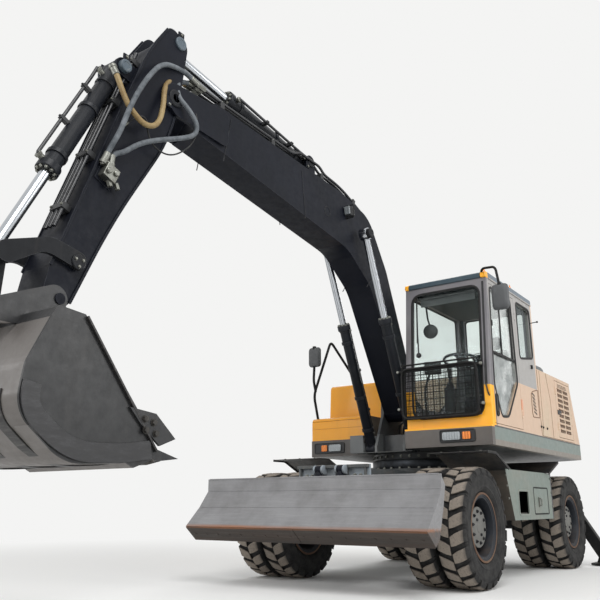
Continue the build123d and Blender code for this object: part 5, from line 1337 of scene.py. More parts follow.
@dataclass
class CabTrim:
    """Window seals, roof edge, wiper, door grip and latch, reflector, vent and guard of the cab."""

    front_x: float = -0.6205
    knee_z: float = 1.850
    lean: float = 0.0844
    inner_y: float = 0.345
    side_y: float = 1.255
    rear_x: float = -2.1175
    roof_z: float = 2.975
    screen: tuple[float, float, float, float] = (0.420, 1.180, 1.560, 2.900)
    door_pane: tuple[Flat, ...] = ((-0.7925, 2.885), (-1.4025, 2.885), (-1.4375, 1.960), (-1.0925, 1.580),
                                   (-0.8925, 1.560), (-0.7425, 1.860))
    quarter: tuple[Flat, ...] = ((-2.0375, 2.330), (-2.0375, 2.900), (-1.5825, 2.900), (-1.5825, 2.260))
    right_pane: tuple[Flat, ...] = ((-2.0225, 2.080), (-2.0225, 2.900), (-0.8125, 2.900), (-0.7325, 2.000),
                                    (-0.7325, 1.700), (-1.3925, 1.700))
    vent: tuple[Flat, ...] = ((-2.094, 1.660), (-1.872, 1.650), (-1.852, 1.700), (-1.858, 1.900),
                              (-1.905, 1.935), (-2.094, 1.975))
    guard: tuple[float, float, float, float] = (0.330, 1.150, 1.560, 2.075)

    def front(self, z: float, proud: float = 0.0) -> float:
        """Where the cab's leaning front stands at a height."""
        return self.front_x - max(0.0, z - self.knee_z) * self.lean + proud

    def dress(self) -> None:
        """Add the seals and everything that is bolted to the cab."""
        self.screen_frame()
        self.side_seals()
        self.roof_edge()
        self.wiper()
        self.door_parts()
        self.vent_panel()
        self.guard_frame()
        self.pillars()

    def on_front(self, run: Iterable[Vector], proud: float) -> list[Vector]:
        """Lay a closed run on the leaning front, with points close enough for its knee.

        Args:
            run: Points whose x is ignored.
            proud: How far the run stands off the front.

        Returns:
            Points round the run.
        """
        points = list(run)
        dense: list[Vector] = []
        for a, b in zip(points, points[1:] + points[:1]):
            steps = max(1, int((b - a).length / 0.08))
            dense += [a.lerp(b, i / steps) for i in range(steps)]
        return [Vector((self.front(p.z, proud), p.y, p.z)) for p in dense]

    def screen_frame(self) -> None:
        """Rounded corners of the windscreen's opening and the black seal along them."""
        corners = upright(0.0, *self.screen)
        steps = 6
        run = loop_rows(corners, 0.115, steps)
        fill = Stock()
        for i, corner in enumerate(corners):
            arc = run[i * (steps + 1):(i + 1) * (steps + 1)]
            outline = self.flat_front([Vector(corner), *arc])
            fill.prism(outline, (-0.016, 0.0, 0.0))
        fill.made("screen_corner_plates", CAB_COAT, "upper")
        seal = Stock()
        seal.sweep(self.on_front(run, 0.001), RUBBER_LIP, Vector((1, 0, 0.05)), closed=True)
        seal.made("screen_seal", SEAL, "upper")

    def flat_front(self, points: Iterable[Vector]) -> list[Vector]:
        """Lay single points on the leaning front."""
        return [Vector((self.front(p.z, 0.0008), p.y, p.z)) for p in points]

    def side_seals(self) -> None:
        """Seals round the door's, the quarter, the right and the rear panes."""
        outside, inside = self.side_y + PROUD, self.inner_y - PROUD
        rear = upright(self.rear_x - PROUD, 0.435, 1.165, 2.300, 2.900)
        loops = (("door_pane_seal", "cab_door", side_points(self.door_pane, outside), 0.055, (0, 1, 0)),
                 ("quarter_pane_seal", "upper", side_points(self.quarter, outside), 0.060, (0, 1, 0)),
                 ("right_pane_seal", "upper", side_points(self.right_pane, inside), 0.050, (0, -1, 0)),
                 ("rear_pane_seal", "upper", rear, 0.050, (-1, 0, 0)))
        for name, body, corners, radius, facing in loops:
            seal = Stock()
            seal.sweep(loop_rows(corners, radius), RUBBER_LIP, Vector(facing), closed=True)
            seal.made(name, SEAL, body)

    def roof_edge(self) -> None:
        """Blue-grey front moulding of the roof, amber corner caps, the gutters and the marker spikes."""
        x = self.front(self.roof_z) + 0.012
        z = self.roof_z
        section = ((x - 0.070, z + 0.058), (x - 0.030, z + 0.061), (x + 0.002, z + 0.046),
                   (x + 0.008, z + 0.020), (x + 0.002, z - 0.004), (x - 0.070, z - 0.004))
        edge, caps, gutter, spikes = Stock(), Stock(), Stock(), Stock()
        edge.prism(side_points(section, self.inner_y + 0.040),
                   (0.0, self.side_y - self.inner_y - 0.094, 0.0))
        edge.made("roof_front_moulding", ROOF_EDGE, "upper", bevel=0.006)
        middle = Vector((x - 0.030, 0.0, z + 0.024))
        for y0, y1 in ((self.inner_y - 0.004, self.inner_y + 0.0395),
                       (self.side_y - 0.0535, self.side_y + 0.004)):
            grown = [middle + (Vector((px, 0.0, pz)) - middle) * 1.05 for px, pz in section]
            caps.prism([(p.x, y0, p.z) for p in grown], (0.0, y1 - y0, 0.0))
        caps.made("roof_corner_caps", AMBER_YELLOW, "upper", bevel=0.008)
        for y in (self.inner_y - 0.006, self.side_y + 0.006):
            gutter.box((self.rear_x + 0.01, y - 0.006, z - 0.010), (x - 0.080, y + 0.006, z + 0.004))
        gutter.made("roof_gutters", CAB_COAT, "upper", bevel=0.003)
        for place in ((x - 0.035, self.side_y - 0.020, z + 0.055), (-1.478, self.side_y - 0.012, z + 0.055)):
            spikes.lathe([(CORE, 0.0), (0.013, 0.0), (0.012, 0.010), (0.004, 0.045), (CORE, 0.052)], place,
                         (0, 0, 1), 16)
        spikes.made("roof_marker_spikes", AMBER_LENS, "upper")

    def wiper(self) -> None:
        """Wiper motor below, its arm and the blade standing upright on the screen."""
        arm, rubber = Stock(), Stock()
        foot = Vector((self.front(2.225, 0.012), 0.500, 2.225))
        tip = Vector((self.front(2.700, 0.018), 0.484, 2.700))
        arm.lathe([(CORE, -0.012), (0.026, -0.012), (0.028, 0.004), (0.018, 0.020), (CORE, 0.022)],
                  tuple(foot), (1, 0, 0.08), 24)
        arm.sweep([foot, foot.lerp(tip, 0.5) + Vector((0.006, 0, 0)), tip],
                  strip(0.008, -0.003, 0.004, 0.006), Vector((1, 0, 0)))
        arm.made("wiper_arm", BLACK_ABS, "upper", bevel=0.001)
        low, high = Vector((self.front(2.360, 0.008), 0.486, 2.360)), Vector((self.front(2.860, 0.008),
                                                                              0.480, 2.860))
        rubber.sweep([low, high], strip(0.004, -0.006, 0.008, 0.007),
                     Vector((1, 0, 0)))
        rubber.made("wiper_blade", SEAL, "upper")

    def door_parts(self) -> None:
        """Slider frame in the door's pane, the grip, the door's stay and latch, and the reflector."""
        y = self.side_y
        bars, grip, dark, steel, amber = Stock(), Stock(), Stock(), Stock(), Stock()
        bars.box((-1.386, y - 0.024, 2.205), (-1.362, y - 0.004, 2.880))
        bars.box((-1.420, y - 0.024, 2.190), (-0.768, y - 0.002, 2.214))
        bars.box((-1.085, y - 0.024, 2.214), (-1.067, y - 0.010, 2.880))
        bars.box((-0.800, y - 0.004, 2.470), (-0.786, y + 0.010, 2.530))
        bars.made("door_slider_frame", SEAL, "cab_door", bevel=0.003)
        outline = loop_rows(((-0.800, y, 1.560), (-0.800, y, 1.770), (-0.748, y, 1.770),
                             (-0.748, y, 1.560)), 0.026, 8)
        grip.tube([p + Vector((0, 0.004, 0)) for p in outline], 0.0085, 10, closed=True)
        grip.made("door_grip_ring", SEAL, "cab_door")
        dark.prism([p + Vector((0, 0.0006, 0)) for p in outline], (0, 0.003, 0))
        dark.bar((-0.774, y + 0.002, 1.600), (-0.774, y + 0.022, 1.600), 0.012, 16, chamfer=0.002)
        dark.made("door_grip_plate", GREY_ABS, "cab_door", bevel=0.001)
        steel.bar((-2.058, y - 0.002, 2.752), (-2.058, y + 0.075, 2.757), 0.0055, 10)
        steel.bar((-2.058, y + 0.070, 2.757), (-2.058, y + 0.090, 2.758), 0.011, 12, chamfer=0.003)
        steel.box((-1.965, y + 0.0003, 2.196), (-1.925, y + 0.014, 2.208))
        steel.box((-1.965, y + 0.0003, 2.226), (-1.925, y + 0.014, 2.238))
        steel.box((-1.952, y + 0.0003, 2.196), (-1.940, y + 0.020, 2.238))
        steel.made("door_stay_latch", BLACK_ABS, "upper", bevel=0.002)
        amber.box((-1.539, y + 0.0003, 1.628), (-1.4975, y + 0.004, 1.803))
        amber.made("side_reflector", AMBER_LENS, "upper", "lens", bevel=0.0015)

    def vent_panel(self) -> None:
        """Moulded vent panel low behind the door, with a dark outline and six slanted slots filled with
        painted shade.
        """
        y = self.side_y + PROUD
        edge, slots = Stock(), Stock()
        loop = loop_rows(side_points(self.vent, y), 0.018, 4)
        edge.sweep(loop, strip(0.0045, -0.001, 0.003, 0.003), Vector((0, 1, 0)),
                   closed=True)
        edge.made("vent_outline", BROWN_SEAM, "upper")
        # Each slot is a black shape: painted shade in the opening.
        for k in range(6):
            z = 1.900 - k * 0.040
            x = -1.930 - k * 0.006
            slots.prism([(x - 0.050, y, z - 0.004), (x + 0.036, y, z + 0.022), (x + 0.044, y, z + 0.016),
                         (x + 0.040, y, z + 0.005), (x - 0.046, y, z - 0.018)], (0, 0.0015, 0))
        slots.made("vent_slots", SEAL, "upper")

    def guard_frame(self) -> None:
        """Round-cornered tube, woven wire and the four brackets of the window guard."""
        y0, y1, z0, z1 = self.guard
        x = self.front_x + 0.060
        tube, wires, brackets, knobs = Stock(), Stock(), Stock(), Stock()
        outline = loop_rows(upright(x, *self.guard), 0.075, 7)
        tube.tube(outline, 0.0115, 12, closed=True)
        bow = arc_rows(((x, y0 + 0.010, z1 - 0.030), (x + 0.012, y0 + 0.010, z1 + 0.038, 0.05),
                        (x + 0.012, y1 - 0.010, z1 + 0.038, 0.05), (x, y1 - 0.010, z1 - 0.030)))
        tube.tube(bow, 0.0095, 10)
        tube.made("guard_tube", SATIN_BLACK, "upper", "dark")
        rows, columns = 20, 26
        for k in range(1, rows):
            z = z0 + (z1 - z0) * k / rows
            wires.tube([Vector((x, y0 + 0.008, z)), Vector((x, y1 - 0.008, z))], 0.0022, 5)
        for k in range(1, columns):
            y = y0 + (y1 - y0) * k / columns
            wires.tube([Vector((x - 0.003, y, z0 + 0.008)), Vector((x - 0.003, y, z1 - 0.008))], 0.0022, 5)
        wires.made("guard_wire", SATIN_BLACK, "upper", "dark")
        for y, s in ((y0, -1), (y1, 1)):
            for z in (z0 + 0.105, z1 - 0.020):
                outer = y + s * 0.045
                brackets.box((self.front_x - 0.004, y, z - 0.014), (x + 0.004, outer, z + 0.014))
                knobs.lathe([(CORE, 0.0), (0.017, 0.0), (0.018, 0.010), (0.011, 0.018), (CORE, 0.019)],
                            (x - 0.010, outer, z), (1, 0, 0), 16)
        brackets.made("guard_brackets", SATIN_BLACK, "upper", "dark", bevel=0.004)
        knobs.made("guard_knobs", ZINC, "upper", angle=40)

    def pillars(self) -> None:
        """Dark channel down the left front pillar, and its hose."""
        y = self.side_y - 0.036
        channel, hose = Stock(), Stock()
        rows = [Vector((self.front(z, 0.0012), y, z)) for z in (2.930, 2.500, 2.150, 1.860)]
        channel.sweep(rows, strip(0.011, -0.002, 0.005, 0.009), Vector((1, 0, 0)))
        channel.made("pillar_channel", BLACK_ABS, "upper", bevel=0.001)
        run = arc_rows([(self.front(2.10, 0.008), y, 2.10),
                        (self.front(1.86, 0.016), y - 0.002, 1.86, 0.06),
                        (self.front(1.78, 0.014), y + 0.018, 1.765, 0.05),
                        (self.front(1.74, 0.0), y + 0.024, 1.740)])
        hose.tube(run, 0.0075, 10)
        hose.made("pillar_hose", HOSE_BLACK, "upper")


@dataclass
class CabInterior:
    """Lining, display, wheel spokes, pedals and lever grips inside the cab."""

    middle: float = 0.800
    roof: float = 2.927
    floor: float = 1.501

    def dress(self) -> None:
        """Add the lining and the small controls; none of them has a joint of its own."""
        self.lining()
        self.display()
        self.controls()

    def lining(self) -> None:
        """Moulded roof lining with its hatch, the rear wall's panel and the sun blind."""
        roof, rear, blind = Stock(), Stock(), Stock()
        roof.box((-2.040, 0.397, self.roof - 0.030), (-0.800, 1.203, self.roof - 0.002))
        roof.box((-1.750, 0.510, self.roof - 0.042), (-1.150, 1.075, self.roof - 0.028))
        roof.made("roof_lining", LINING, "upper", bevel=0.012)
        rear.box((-2.066, 0.397, self.floor), (-2.050, 1.203, 2.285))
        rear.box((-2.066, 0.397, 2.285), (-2.052, 0.434, 2.900))
        rear.made("rear_lining", LINING, "upper", bevel=0.005)
        blind.bar((-0.790, 0.470, 2.872), (-0.790, 1.110, 2.872), 0.020, 20, chamfer=0.002)
        blind.box((-0.795, 0.480, 2.780), (-0.791, 1.100, 2.865))
        blind.made("sun_blind", GREY_ABS, "upper", bevel=0.001)

    def display(self) -> None:
        """Display on its stalk at the right front pillar and a small round fan above it."""
        case, screen, stalk = Stock(), Stock(), Stock()
        turn = Matrix.Rotation(math.radians(18), 3, "Z")
        case.box((-0.940, 0.430, 2.060), (-0.905, 0.610, 2.200), turn)
        case.made("display_case", BLACK_ABS, "upper", bevel=0.008)
        screen.box((-0.949, 0.443, 2.074), (-0.941, 0.600, 2.190), turn)
        screen.made("display_pane", SEAL, "upper", bevel=0.002)
        stalk.tube(arc_rows([(-0.900, 0.440, self.floor), (-0.870, 0.440, 1.900, 0.1),
                             (-0.915, 0.490, 2.080)]), 0.013, 12)
        stalk.tube(arc_rows([(-1.020, 0.430, self.roof - 0.03), (-1.010, 0.450, 2.700, 0.06),
                             (-0.990, 0.480, 2.620)]), 0.010, 10)
        stalk.lathe([(CORE, -0.045), (0.035, -0.040), (0.070, -0.018), (0.080, 0.0), (0.078, 0.016),
                     (0.050, 0.026), (CORE, 0.026)], (-0.985, 0.490, 2.550), (1, 0.3, 0), 28)
        stalk.made("fan_and_stalks", BLACK_ABS, "upper")

    def controls(self) -> None:
        """Wheel spokes and hub, lever grips with boots, and three pedals."""
        hub, grips, pedals = Stock(), Stock(), Stock()
        head = Vector((-1.0525, self.middle, 2.200))
        foot = Vector((-0.8925, self.middle, 1.495))
        along = (head - foot).normalized()
        across = Vector((0, 1, 0))
        fore = across.cross(along)
        hub.lathe([(CORE, -0.05), (0.042, -0.048), (0.050, -0.010), (0.046, 0.012), (CORE, 0.016)],
                  tuple(head), tuple(along), 28)
        for turn in (90, 210, 330):
            out = across * math.cos(math.radians(turn)) + fore * math.sin(math.radians(turn))
            hub.sweep([head + out * 0.03 - along * 0.012, head + out * 0.180 - along * 0.002],
                      strip(0.016, -0.005, 0.006, 0.013), along)
        hub.made("wheel_hub_and_spokes", BLACK_ABS, "upper", bevel=0.003)
        for s in (-1, 1):
            y = self.middle + s * 0.280
            grips.lathe([(CORE, 0.0), (0.052, 0.0), (0.050, 0.012), (0.040, 0.020), (0.043, 0.028),
                         (0.031, 0.040), (0.034, 0.048), (0.022, 0.064), (CORE, 0.066)], (-1.360, y, 1.972),
                        (0.06, 0, 1), 24)
            grips.lathe([(CORE, 0.0), (0.019, 0.004), (0.024, 0.030), (0.021, 0.065), (0.026, 0.095),
                         (0.022, 0.122), (CORE, 0.132)], (-1.350, y - s * 0.006, 2.075), (0.10, 0, 1), 20)
        grips.made("lever_grips", BLACK_ABS, "upper")
        for y in (self.middle - 0.20, self.middle - 0.02, self.middle + 0.16):
            pedals.prism([(-0.905, y, self.floor + 0.020), (-0.785, y, self.floor + 0.095),
                          (-0.778, y, self.floor + 0.082), (-0.898, y, self.floor + 0.004)], (0, 0.085, 0))
        pedals.made("pedals", BLACK_ABS, "upper", bevel=0.003)


@dataclass
class CushionShape:
    """One stuffed part of the seat: a rounded block that the cover is blown up from."""

    name: str
    low: Point
    high: Point
    tilt: float = 0.0
    corner: float = 0.045
    voxel: float = 0.006
    foam_gap: float = 0.010
    swell: float = 0.009
    pressure: float = 4.0
    frames: int = 20

    def middle(self) -> Vector:
        """Centre of the block."""
        return (Vector(self.low) + Vector(self.high)) / 2

    def spin(self) -> Matrix:
        """The block's lean about its cross axis."""
        return Matrix.Rotation(math.radians(self.tilt), 3, "Y")

    def core(self) -> bpy.types.Object:
        """Build a rounded block a little smaller than the cushion, as an even net of small faces.

        Returns:
            The block.
        """
        stock = Stock()
        half = (Vector(self.high) - Vector(self.low)) / 2 - Vector([self.foam_gap] * 3)
        middle, spin = self.middle(), self.spin()
        rings = []
        for height, inset in ((-1.0, 0.024), (-0.75, 0.006), (-0.3, 0.0), (0.3, 0.0), (0.75, 0.006),
                              (1.0, 0.024)):
            ring = loop_rows(level(inset - half.x, half.x - inset, inset - half.y, half.y - inset,
                                   height * half.z), self.corner)
            rings.append([middle + spin @ p for p in ring])
        stock.grid(rings, closed=False)
        piece = bpy.data.objects.new(self.name, stock.net(self.name))
        bpy.context.scene.collection.objects.link(piece)
        remesh = piece.modifiers.new("even_net", "REMESH")
        remesh.mode, remesh.voxel_size = "VOXEL", self.voxel
        self.bake(piece)
        return piece

    @staticmethod
    def bake(piece: bpy.types.Object) -> None:
        """Turn a piece's modifiers into its mesh.

        Args:
            piece: The piece.
        """
        view = bpy.context.evaluated_depsgraph_get()
        shaped = bpy.data.meshes.new_from_object(piece.evaluated_get(view))
        piece.modifiers.clear()
        plain = piece.data
        piece.data = shaped
        bpy.data.meshes.remove(plain)

    def inflate(self, piece: bpy.types.Object) -> None:
        """Blow the cover up a little, as foam fills it, and keep the shape it settles in.

        Args:
            piece: The rounded block.
        """
        start = [v.co.copy() for v in piece.data.vertices]
        cloth = piece.modifiers.new("foam_pressure", "CLOTH")
        cover = cloth.settings
        cover.quality, cover.mass, cover.bending_stiffness = 4, 0.3, 0.4
        cover.tension_stiffness = cover.compression_stiffness = 12.0
        cover.use_pressure, cover.uniform_pressure_force = True, self.pressure
        cover.effector_weights.gravity = 0.0
        cloth.point_cache.frame_start, cloth.point_cache.frame_end = 1, self.frames
        for frame_number in range(1, self.frames + 1):
            bpy.context.scene.frame_set(frame_number)
        self.bake(piece)
        bpy.context.scene.frame_set(1)
        for vertex, was in zip(piece.data.vertices, start):
            moved = vertex.co - was
            if moved.length > self.swell:
                vertex.co = was + moved.normalized() * self.swell

    def make(self) -> bpy.types.Object:
        """Build the stuffed part with its cloth cover.

        Returns:
            The part.
        """
        piece = self.core()
        self.inflate(piece)
        skin = piece.modifiers.new("skin", "SUBSURF")
        skin.levels = skin.render_levels = 1
        piece.data.polygons.foreach_set("use_smooth", [True] * len(piece.data.polygons))
        piece.data.materials.clear()
        piece.data.materials.append(SEAT_CLOTH.material())
        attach(piece, "upper")
        log.info("%s: %d faces", self.name, len(piece.data.polygons))
        return piece


@dataclass
class DriverSeat:
    """Suspension seat: cushion, back and head rest under cloth, piping, bellows and arm rests."""

    middle: float = 0.800
    cushion: tuple[Point, Point] = ((-1.832, 0.568, 1.735), (-1.352, 1.032, 1.880))
    back: tuple[Point, Point] = ((-1.985, 0.573, 1.800), (-1.865, 1.027, 2.450))
    rest: tuple[Point, Point] = ((-1.995, 0.663, 2.455), (-1.895, 0.937, 2.625))
    lean: float = -6.0
    piping_r: float = 0.0045

    def dress(self) -> None:
        """Make the stuffed parts, which stand for the plain seat, and the hardware round them."""
        parts = (CushionShape("seat_cushion", *self.cushion),
                 CushionShape("seat_back", *self.back, self.lean),
                 CushionShape("seat_head_rest", *self.rest, self.lean, corner=0.05))
        pieces = [part.make() for part in parts]
        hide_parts("seat")
        self.piping()
        self.hardware()

    def piping(self) -> None:
        """Black piping sewn round the cushion's and the back's edges."""
        cord = Stock()
        (x0, y0, _), (x1, y1, z1) = self.cushion
        edge = loop_rows(level(x0 + 0.010, x1 - 0.010, y0 + 0.010, y1 - 0.010, z1 - 0.030), 0.05)
        cord.tube(edge, self.piping_r, 8, closed=True)
        spin = Matrix.Rotation(math.radians(self.lean), 3, "Y")
        low, high = Vector(self.back[0]), Vector(self.back[1])
        middle, half = (low + high) / 2, (high - low) / 2
        wide, tall = half.y - 0.012, half.z - 0.012
        face = loop_rows(upright(half.x - 0.020, -wide, wide, -tall, tall), 0.05)
        cord.tube([middle + spin @ p for p in face], self.piping_r, 8, closed=True)
        cord.made("seat_piping", SEAL, "upper")

    def hardware(self) -> None:
        """Rubber bellows on the plinth, arm rests and head-rest posts."""
        bellows, frame_parts = Stock(), Stock()
        low, high = (-1.8425, self.middle - 0.210), (-1.3925, self.middle + 0.210)
        rings = []
        for k in range(9):
            grow = 0.004 + 0.012 * (k % 2)
            rings.append([Vector((x, y, 1.560 + k * 0.021)) for x, y in (
                (low[0] - grow, low[1] - grow), (high[0] + grow, low[1] - grow),
                (high[0] + grow, high[1] + grow), (low[0] - grow, high[1] + grow))])
        bellows.grid(rings, closed=False, caps=False)
        bellows.made("seat_bellows", SEAL, "upper")
        for s in (-1, 1):
            y = self.middle + s * 0.262
            frame_parts.prism([(-1.900, y - 0.022, 2.050), (-1.560, y - 0.022, 2.060),
                               (-1.550, y - 0.022, 2.085), (-1.600, y - 0.022, 2.100),
                               (-1.905, y - 0.022, 2.095)], (0, 0.044, 0))
        for y in (self.middle - 0.05, self.middle + 0.05):
            frame_parts.bar((-1.945, y, 2.42), (-1.950, y, 2.48), 0.006, 10)
        frame_parts.made("seat_arm_rests", BLACK_ABS, "upper", bevel=0.008)


@dataclass
class CabMirror:
    """Rear-view mirror: a bent tube with a rounded shell, standing for the plain one."""

    node: str
    tube: tuple[tuple[float, ...], ...]
    low: Point
    high: Point
    radius: float = 0.013
    stays: tuple[tuple[Sequence[float], ...], ...] = ()

    def make(self) -> None:
        """Build the tube, the shell and its dark glass."""
        pipe = Stock()
        pipe.tube(arc_rows(self.tube, steps=7), self.radius, 12)
        for stay in self.stays:
            pipe.tube(arc_rows(stay, steps=7), self.radius, 12)
        low, high = Vector(self.low), Vector(self.high)
        clamp = Vector((low.x + high.x, low.y + high.y, 2 * high.z)) / 2
        pipe.bar(clamp - Vector((0, 0, 0.04)), clamp + Vector((0, 0, 0.012)), self.radius * 1.5, 14,
                 chamfer=0.003)
        piece = pipe.made(f"{self.node}_tube", SATIN_BLACK, "upper", "dark")
        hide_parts(self.node)
        shell = Stock()
        rings = []
        middle, half = (low + high) / 2, (high - low) / 2
        for depth, share in ((-1.0, 0.93), (-0.86, 0.985), (-0.45, 1.0), (0.2, 0.97), (0.7, 0.86),
                             (1.0, 0.62)):
            corners = [(middle.x + depth * half.x, middle.y + a * half.y * share,
                        middle.z + b * half.z * share) for a, b in strip(1, -1, 1)]
            rings.append(loop_rows(corners, 0.045, 6))
        shell.grid(rings, closed=False)
        shell.made(f"{self.node}_shell", GREY_ABS, "upper", "plastic", bevel=0.002)
        pane = Stock()
        corners = [(low.x - 0.0012, middle.y + a * half.y * 0.84, middle.z + b * half.z * 0.88)
                   for a, b in strip(1, -1, 1)]
        pane.prism(loop_rows(corners, 0.035, 6), (0.0008, 0, 0))
        pane.made(f"{self.node}_glass", CHROME, "upper")


MIRRORS = (CabMirror("mirror_left", ((-0.7505, 1.195, 3.005), (-0.6805, 1.235, 3.055, 0.05),
                                     (-0.6005, 1.405, 3.020, 0.05), (-0.5955, 1.432, 2.835)),
                     (-0.6305, 1.347, 2.570), (-0.5705, 1.517, 2.835)),
           CabMirror("mirror_right", ((-1.2925, -1.220, 1.727), (-1.2025, -1.220, 2.020, 0.08),
                                      (-1.3225, -1.040, 2.700, 0.06), (-1.7525, -0.900, 2.189)),
                     (-1.2125, -1.282, 2.370), (-1.1575, -1.112, 2.620), 0.016,
                     (((-1.2200, -1.205, 2.060), (-1.1900, -1.215, 2.200, 0.05), (-1.1850, -1.200, 2.380)),
                      )),)


@dataclass
class BodyPanels:
    """Louvre hoods, seams, rain cap, knobs and bare plate of the housing, and the tail's trim."""

    face_y: float = 1.255
    columns: tuple[Flat, ...] = ((-2.8825, -3.0725), (-3.1225, -3.3125))
    top_slot: float = 2.090
    step: float = 0.062
    rows: int = 9
    ribs: int = 6
    tail_r: float = 2.302
    lamp_y: float = 0.80

    def dress(self) -> None:
        """Add everything that is pressed in, screwed to or painted on the housing."""
        for side in Side:
            self.louvres(side)
            self.seams(side)
            self.small_parts(side)
        self.hood_parts()
        self.tail()

    def louvres(self, side: Side) -> None:
        """Pressed hoods over the slots, with brown strips of painted shadow under them, and three fine rows
        of painted shadow above.

        Args:
            side: The door's side.
        """
        s, name = side.value, side.name.lower()
        y = s * (self.face_y + PROUD)
        hoods, shade = Stock(), Stock()
        for front, rear in self.columns:
            for k in range(self.rows):
                z = self.top_slot - self.step * k
                hoods.prism([(front, y, z + 0.016), (front, y + s * 0.009, z + 0.004),
                             (front, y + s * 0.010, z), (front, y + s * 0.007, z + 0.001),
                             (front, y, z + 0.010)], (rear - front, 0, 0))
                # Dark strip under each hood: painted shade in the slot.
                shade.box((rear, y, z - 0.034), (front, y + s * 0.0012, z + 0.002))
                for i in range(1, self.ribs):
                    x = front + (rear - front) * i / self.ribs
                    hoods.box((x - 0.002, y, z - 0.034), (x + 0.002, y + s * 0.003, z + 0.002))
        # Three fine rows of painted shade above the louvres.
        for k, z in enumerate((2.112, 2.128, 2.144)):
            shade.box((-3.285 + 0.012 * k, y, z), (-2.900, y + s * 0.001, z + 0.006))
        hoods.made(f"louvre_hoods_{name}", BEIGE, f"service_door_{name}", "beige")
        shade.made(f"louvre_shadow_{name}", LOUVRE_SHADE, f"service_door_{name}")

    def seams(self, side: Side) -> None:
        """Brown sealant lines where the housing's panels meet.

        Args:
            side: The housing's side.
        """
        s, name = side.value, side.name.lower()
        y = s * (self.face_y + 0.0002)
        lines = Stock()
        runs = (((-2.1300, 1.470), (-2.1300, 2.215)), ((-2.170, 1.470), (-2.200, 1.640), (-2.215, 2.215)),
                ((-2.455, 2.215), (-2.560, 1.900), (-2.560, 1.470)), ((-2.1400, 1.4665), (-3.425, 1.4665)))
        for rows in runs:
            line = arc_rows([(x, y, z, 0.05) for x, z in rows])
            lines.sweep(line, strip(0.0030, -0.001, 0.0016, 0.002),
                        Vector((0, s, 0)))
        lines.made(f"panel_seams_{name}", BROWN_SEAM, "upper")

    def small_parts(self, side: Side) -> None:
        """Bare plate on the door and the three screw knobs in front of it.

        Args:
            side: The housing's side.
        """
        s, name = side.value, side.name.lower()
        y = self.face_y
        plate, knobs = Stock(), Stock()
        plate.box((-2.960, s * (y + 0.0003), 1.772), (-2.815, s * (y + 0.006), 1.826))
        plate.made(f"bare_plate_{name}", BLACK_ABS, f"service_door_{name}", bevel=0.002)
        for x, z in ((-2.115, 1.565), (-2.185, 1.562), (-2.330, 1.560)):
            knobs.lathe([(CORE, 0.0), (0.013, 0.0), (0.014, 0.006), (0.008, 0.012), (CORE, 0.013)],
                        (x, s * (y + 0.0003), z), (0, s, 0), 16)
        knobs.made(f"panel_knobs_{name}", SEAL, "upper")

    def hood_parts(self) -> None:
        """Dark rain cap on the housing in front of the hood, and the hood's handles and beads."""
        cap, beads, steel = Stock(), Stock(), Stock()
        rings = []
        for height, inset in ((2.2265, 0.0), (2.275, 0.004), (2.305, 0.020), (2.316, 0.055)):
            rings.append(loop_rows(level(-2.580 + inset, -2.250 - inset, 0.700 + inset, 1.215 - inset,
                                         height), 0.06))
        cap.grid(rings, closed=False)
        cap.made("housing_rain_cap", DARK_GREY, "upper", bevel=0.003)
        for y in (-0.42, 0.0, 0.42):
            beads.sweep([Vector((-2.66, y, 2.2505)), Vector((-3.33, y, 2.2505))],
                        strip(0.030, -0.001, 0.007, 0.020), Vector((0, 0, 1)))
        beads.made("hood_beads", BEIGE, "engine_hood", "beige", bevel=0.002)
        for y in (-0.5, 0.5):
            steel.tube(arc_rows([(-3.36, y - 0.06, 2.251), (-3.36, y - 0.06, 2.276, 0.012),
                                 (-3.36, y + 0.06, 2.276, 0.012), (-3.36, y + 0.06, 2.251)]), 0.006, 10)
        steel.made("hood_handles", SATIN_BLACK, "engine_hood", "dark")

    def tail(self) -> None:
        """Lifting eyes and rear lamps of the counterweight."""
        eyes, lamps, cases = Stock(), Stock(), Stock()
        for y in (-0.62, 0.62):
            loop = arc_rows([(-3.620, y - 0.045, 2.140), (-3.620, y - 0.045, 2.196, 0.03),
                             (-3.620, y + 0.045, 2.196, 0.03), (-3.620, y + 0.045, 2.140)])
            eyes.tube(loop, 0.012, 12)
        eyes.made("ballast_lifting_eyes", DARK_GREY, "upper")
        for s in (-1, 1):
            x, y = SLEW_X - math.sqrt(self.tail_r ** 2 - self.lamp_y ** 2), s * self.lamp_y
            turn = Matrix.Rotation(math.asin(-y / self.tail_r), 3, "Z")
            cases.box((x - 0.010, y - 0.075, 1.560), (x + 0.020, y + 0.075, 1.640), turn)
            lamps.box((x - 0.016, y - 0.066, 1.568), (x - 0.008, y + 0.066, 1.632), turn)
        cases.made("rear_lamp_cases", BLACK_ABS, "upper", bevel=0.006)
        lamps.made("rear_lamp_lenses", RED_LENS, "upper", "lens", bevel=0.004)


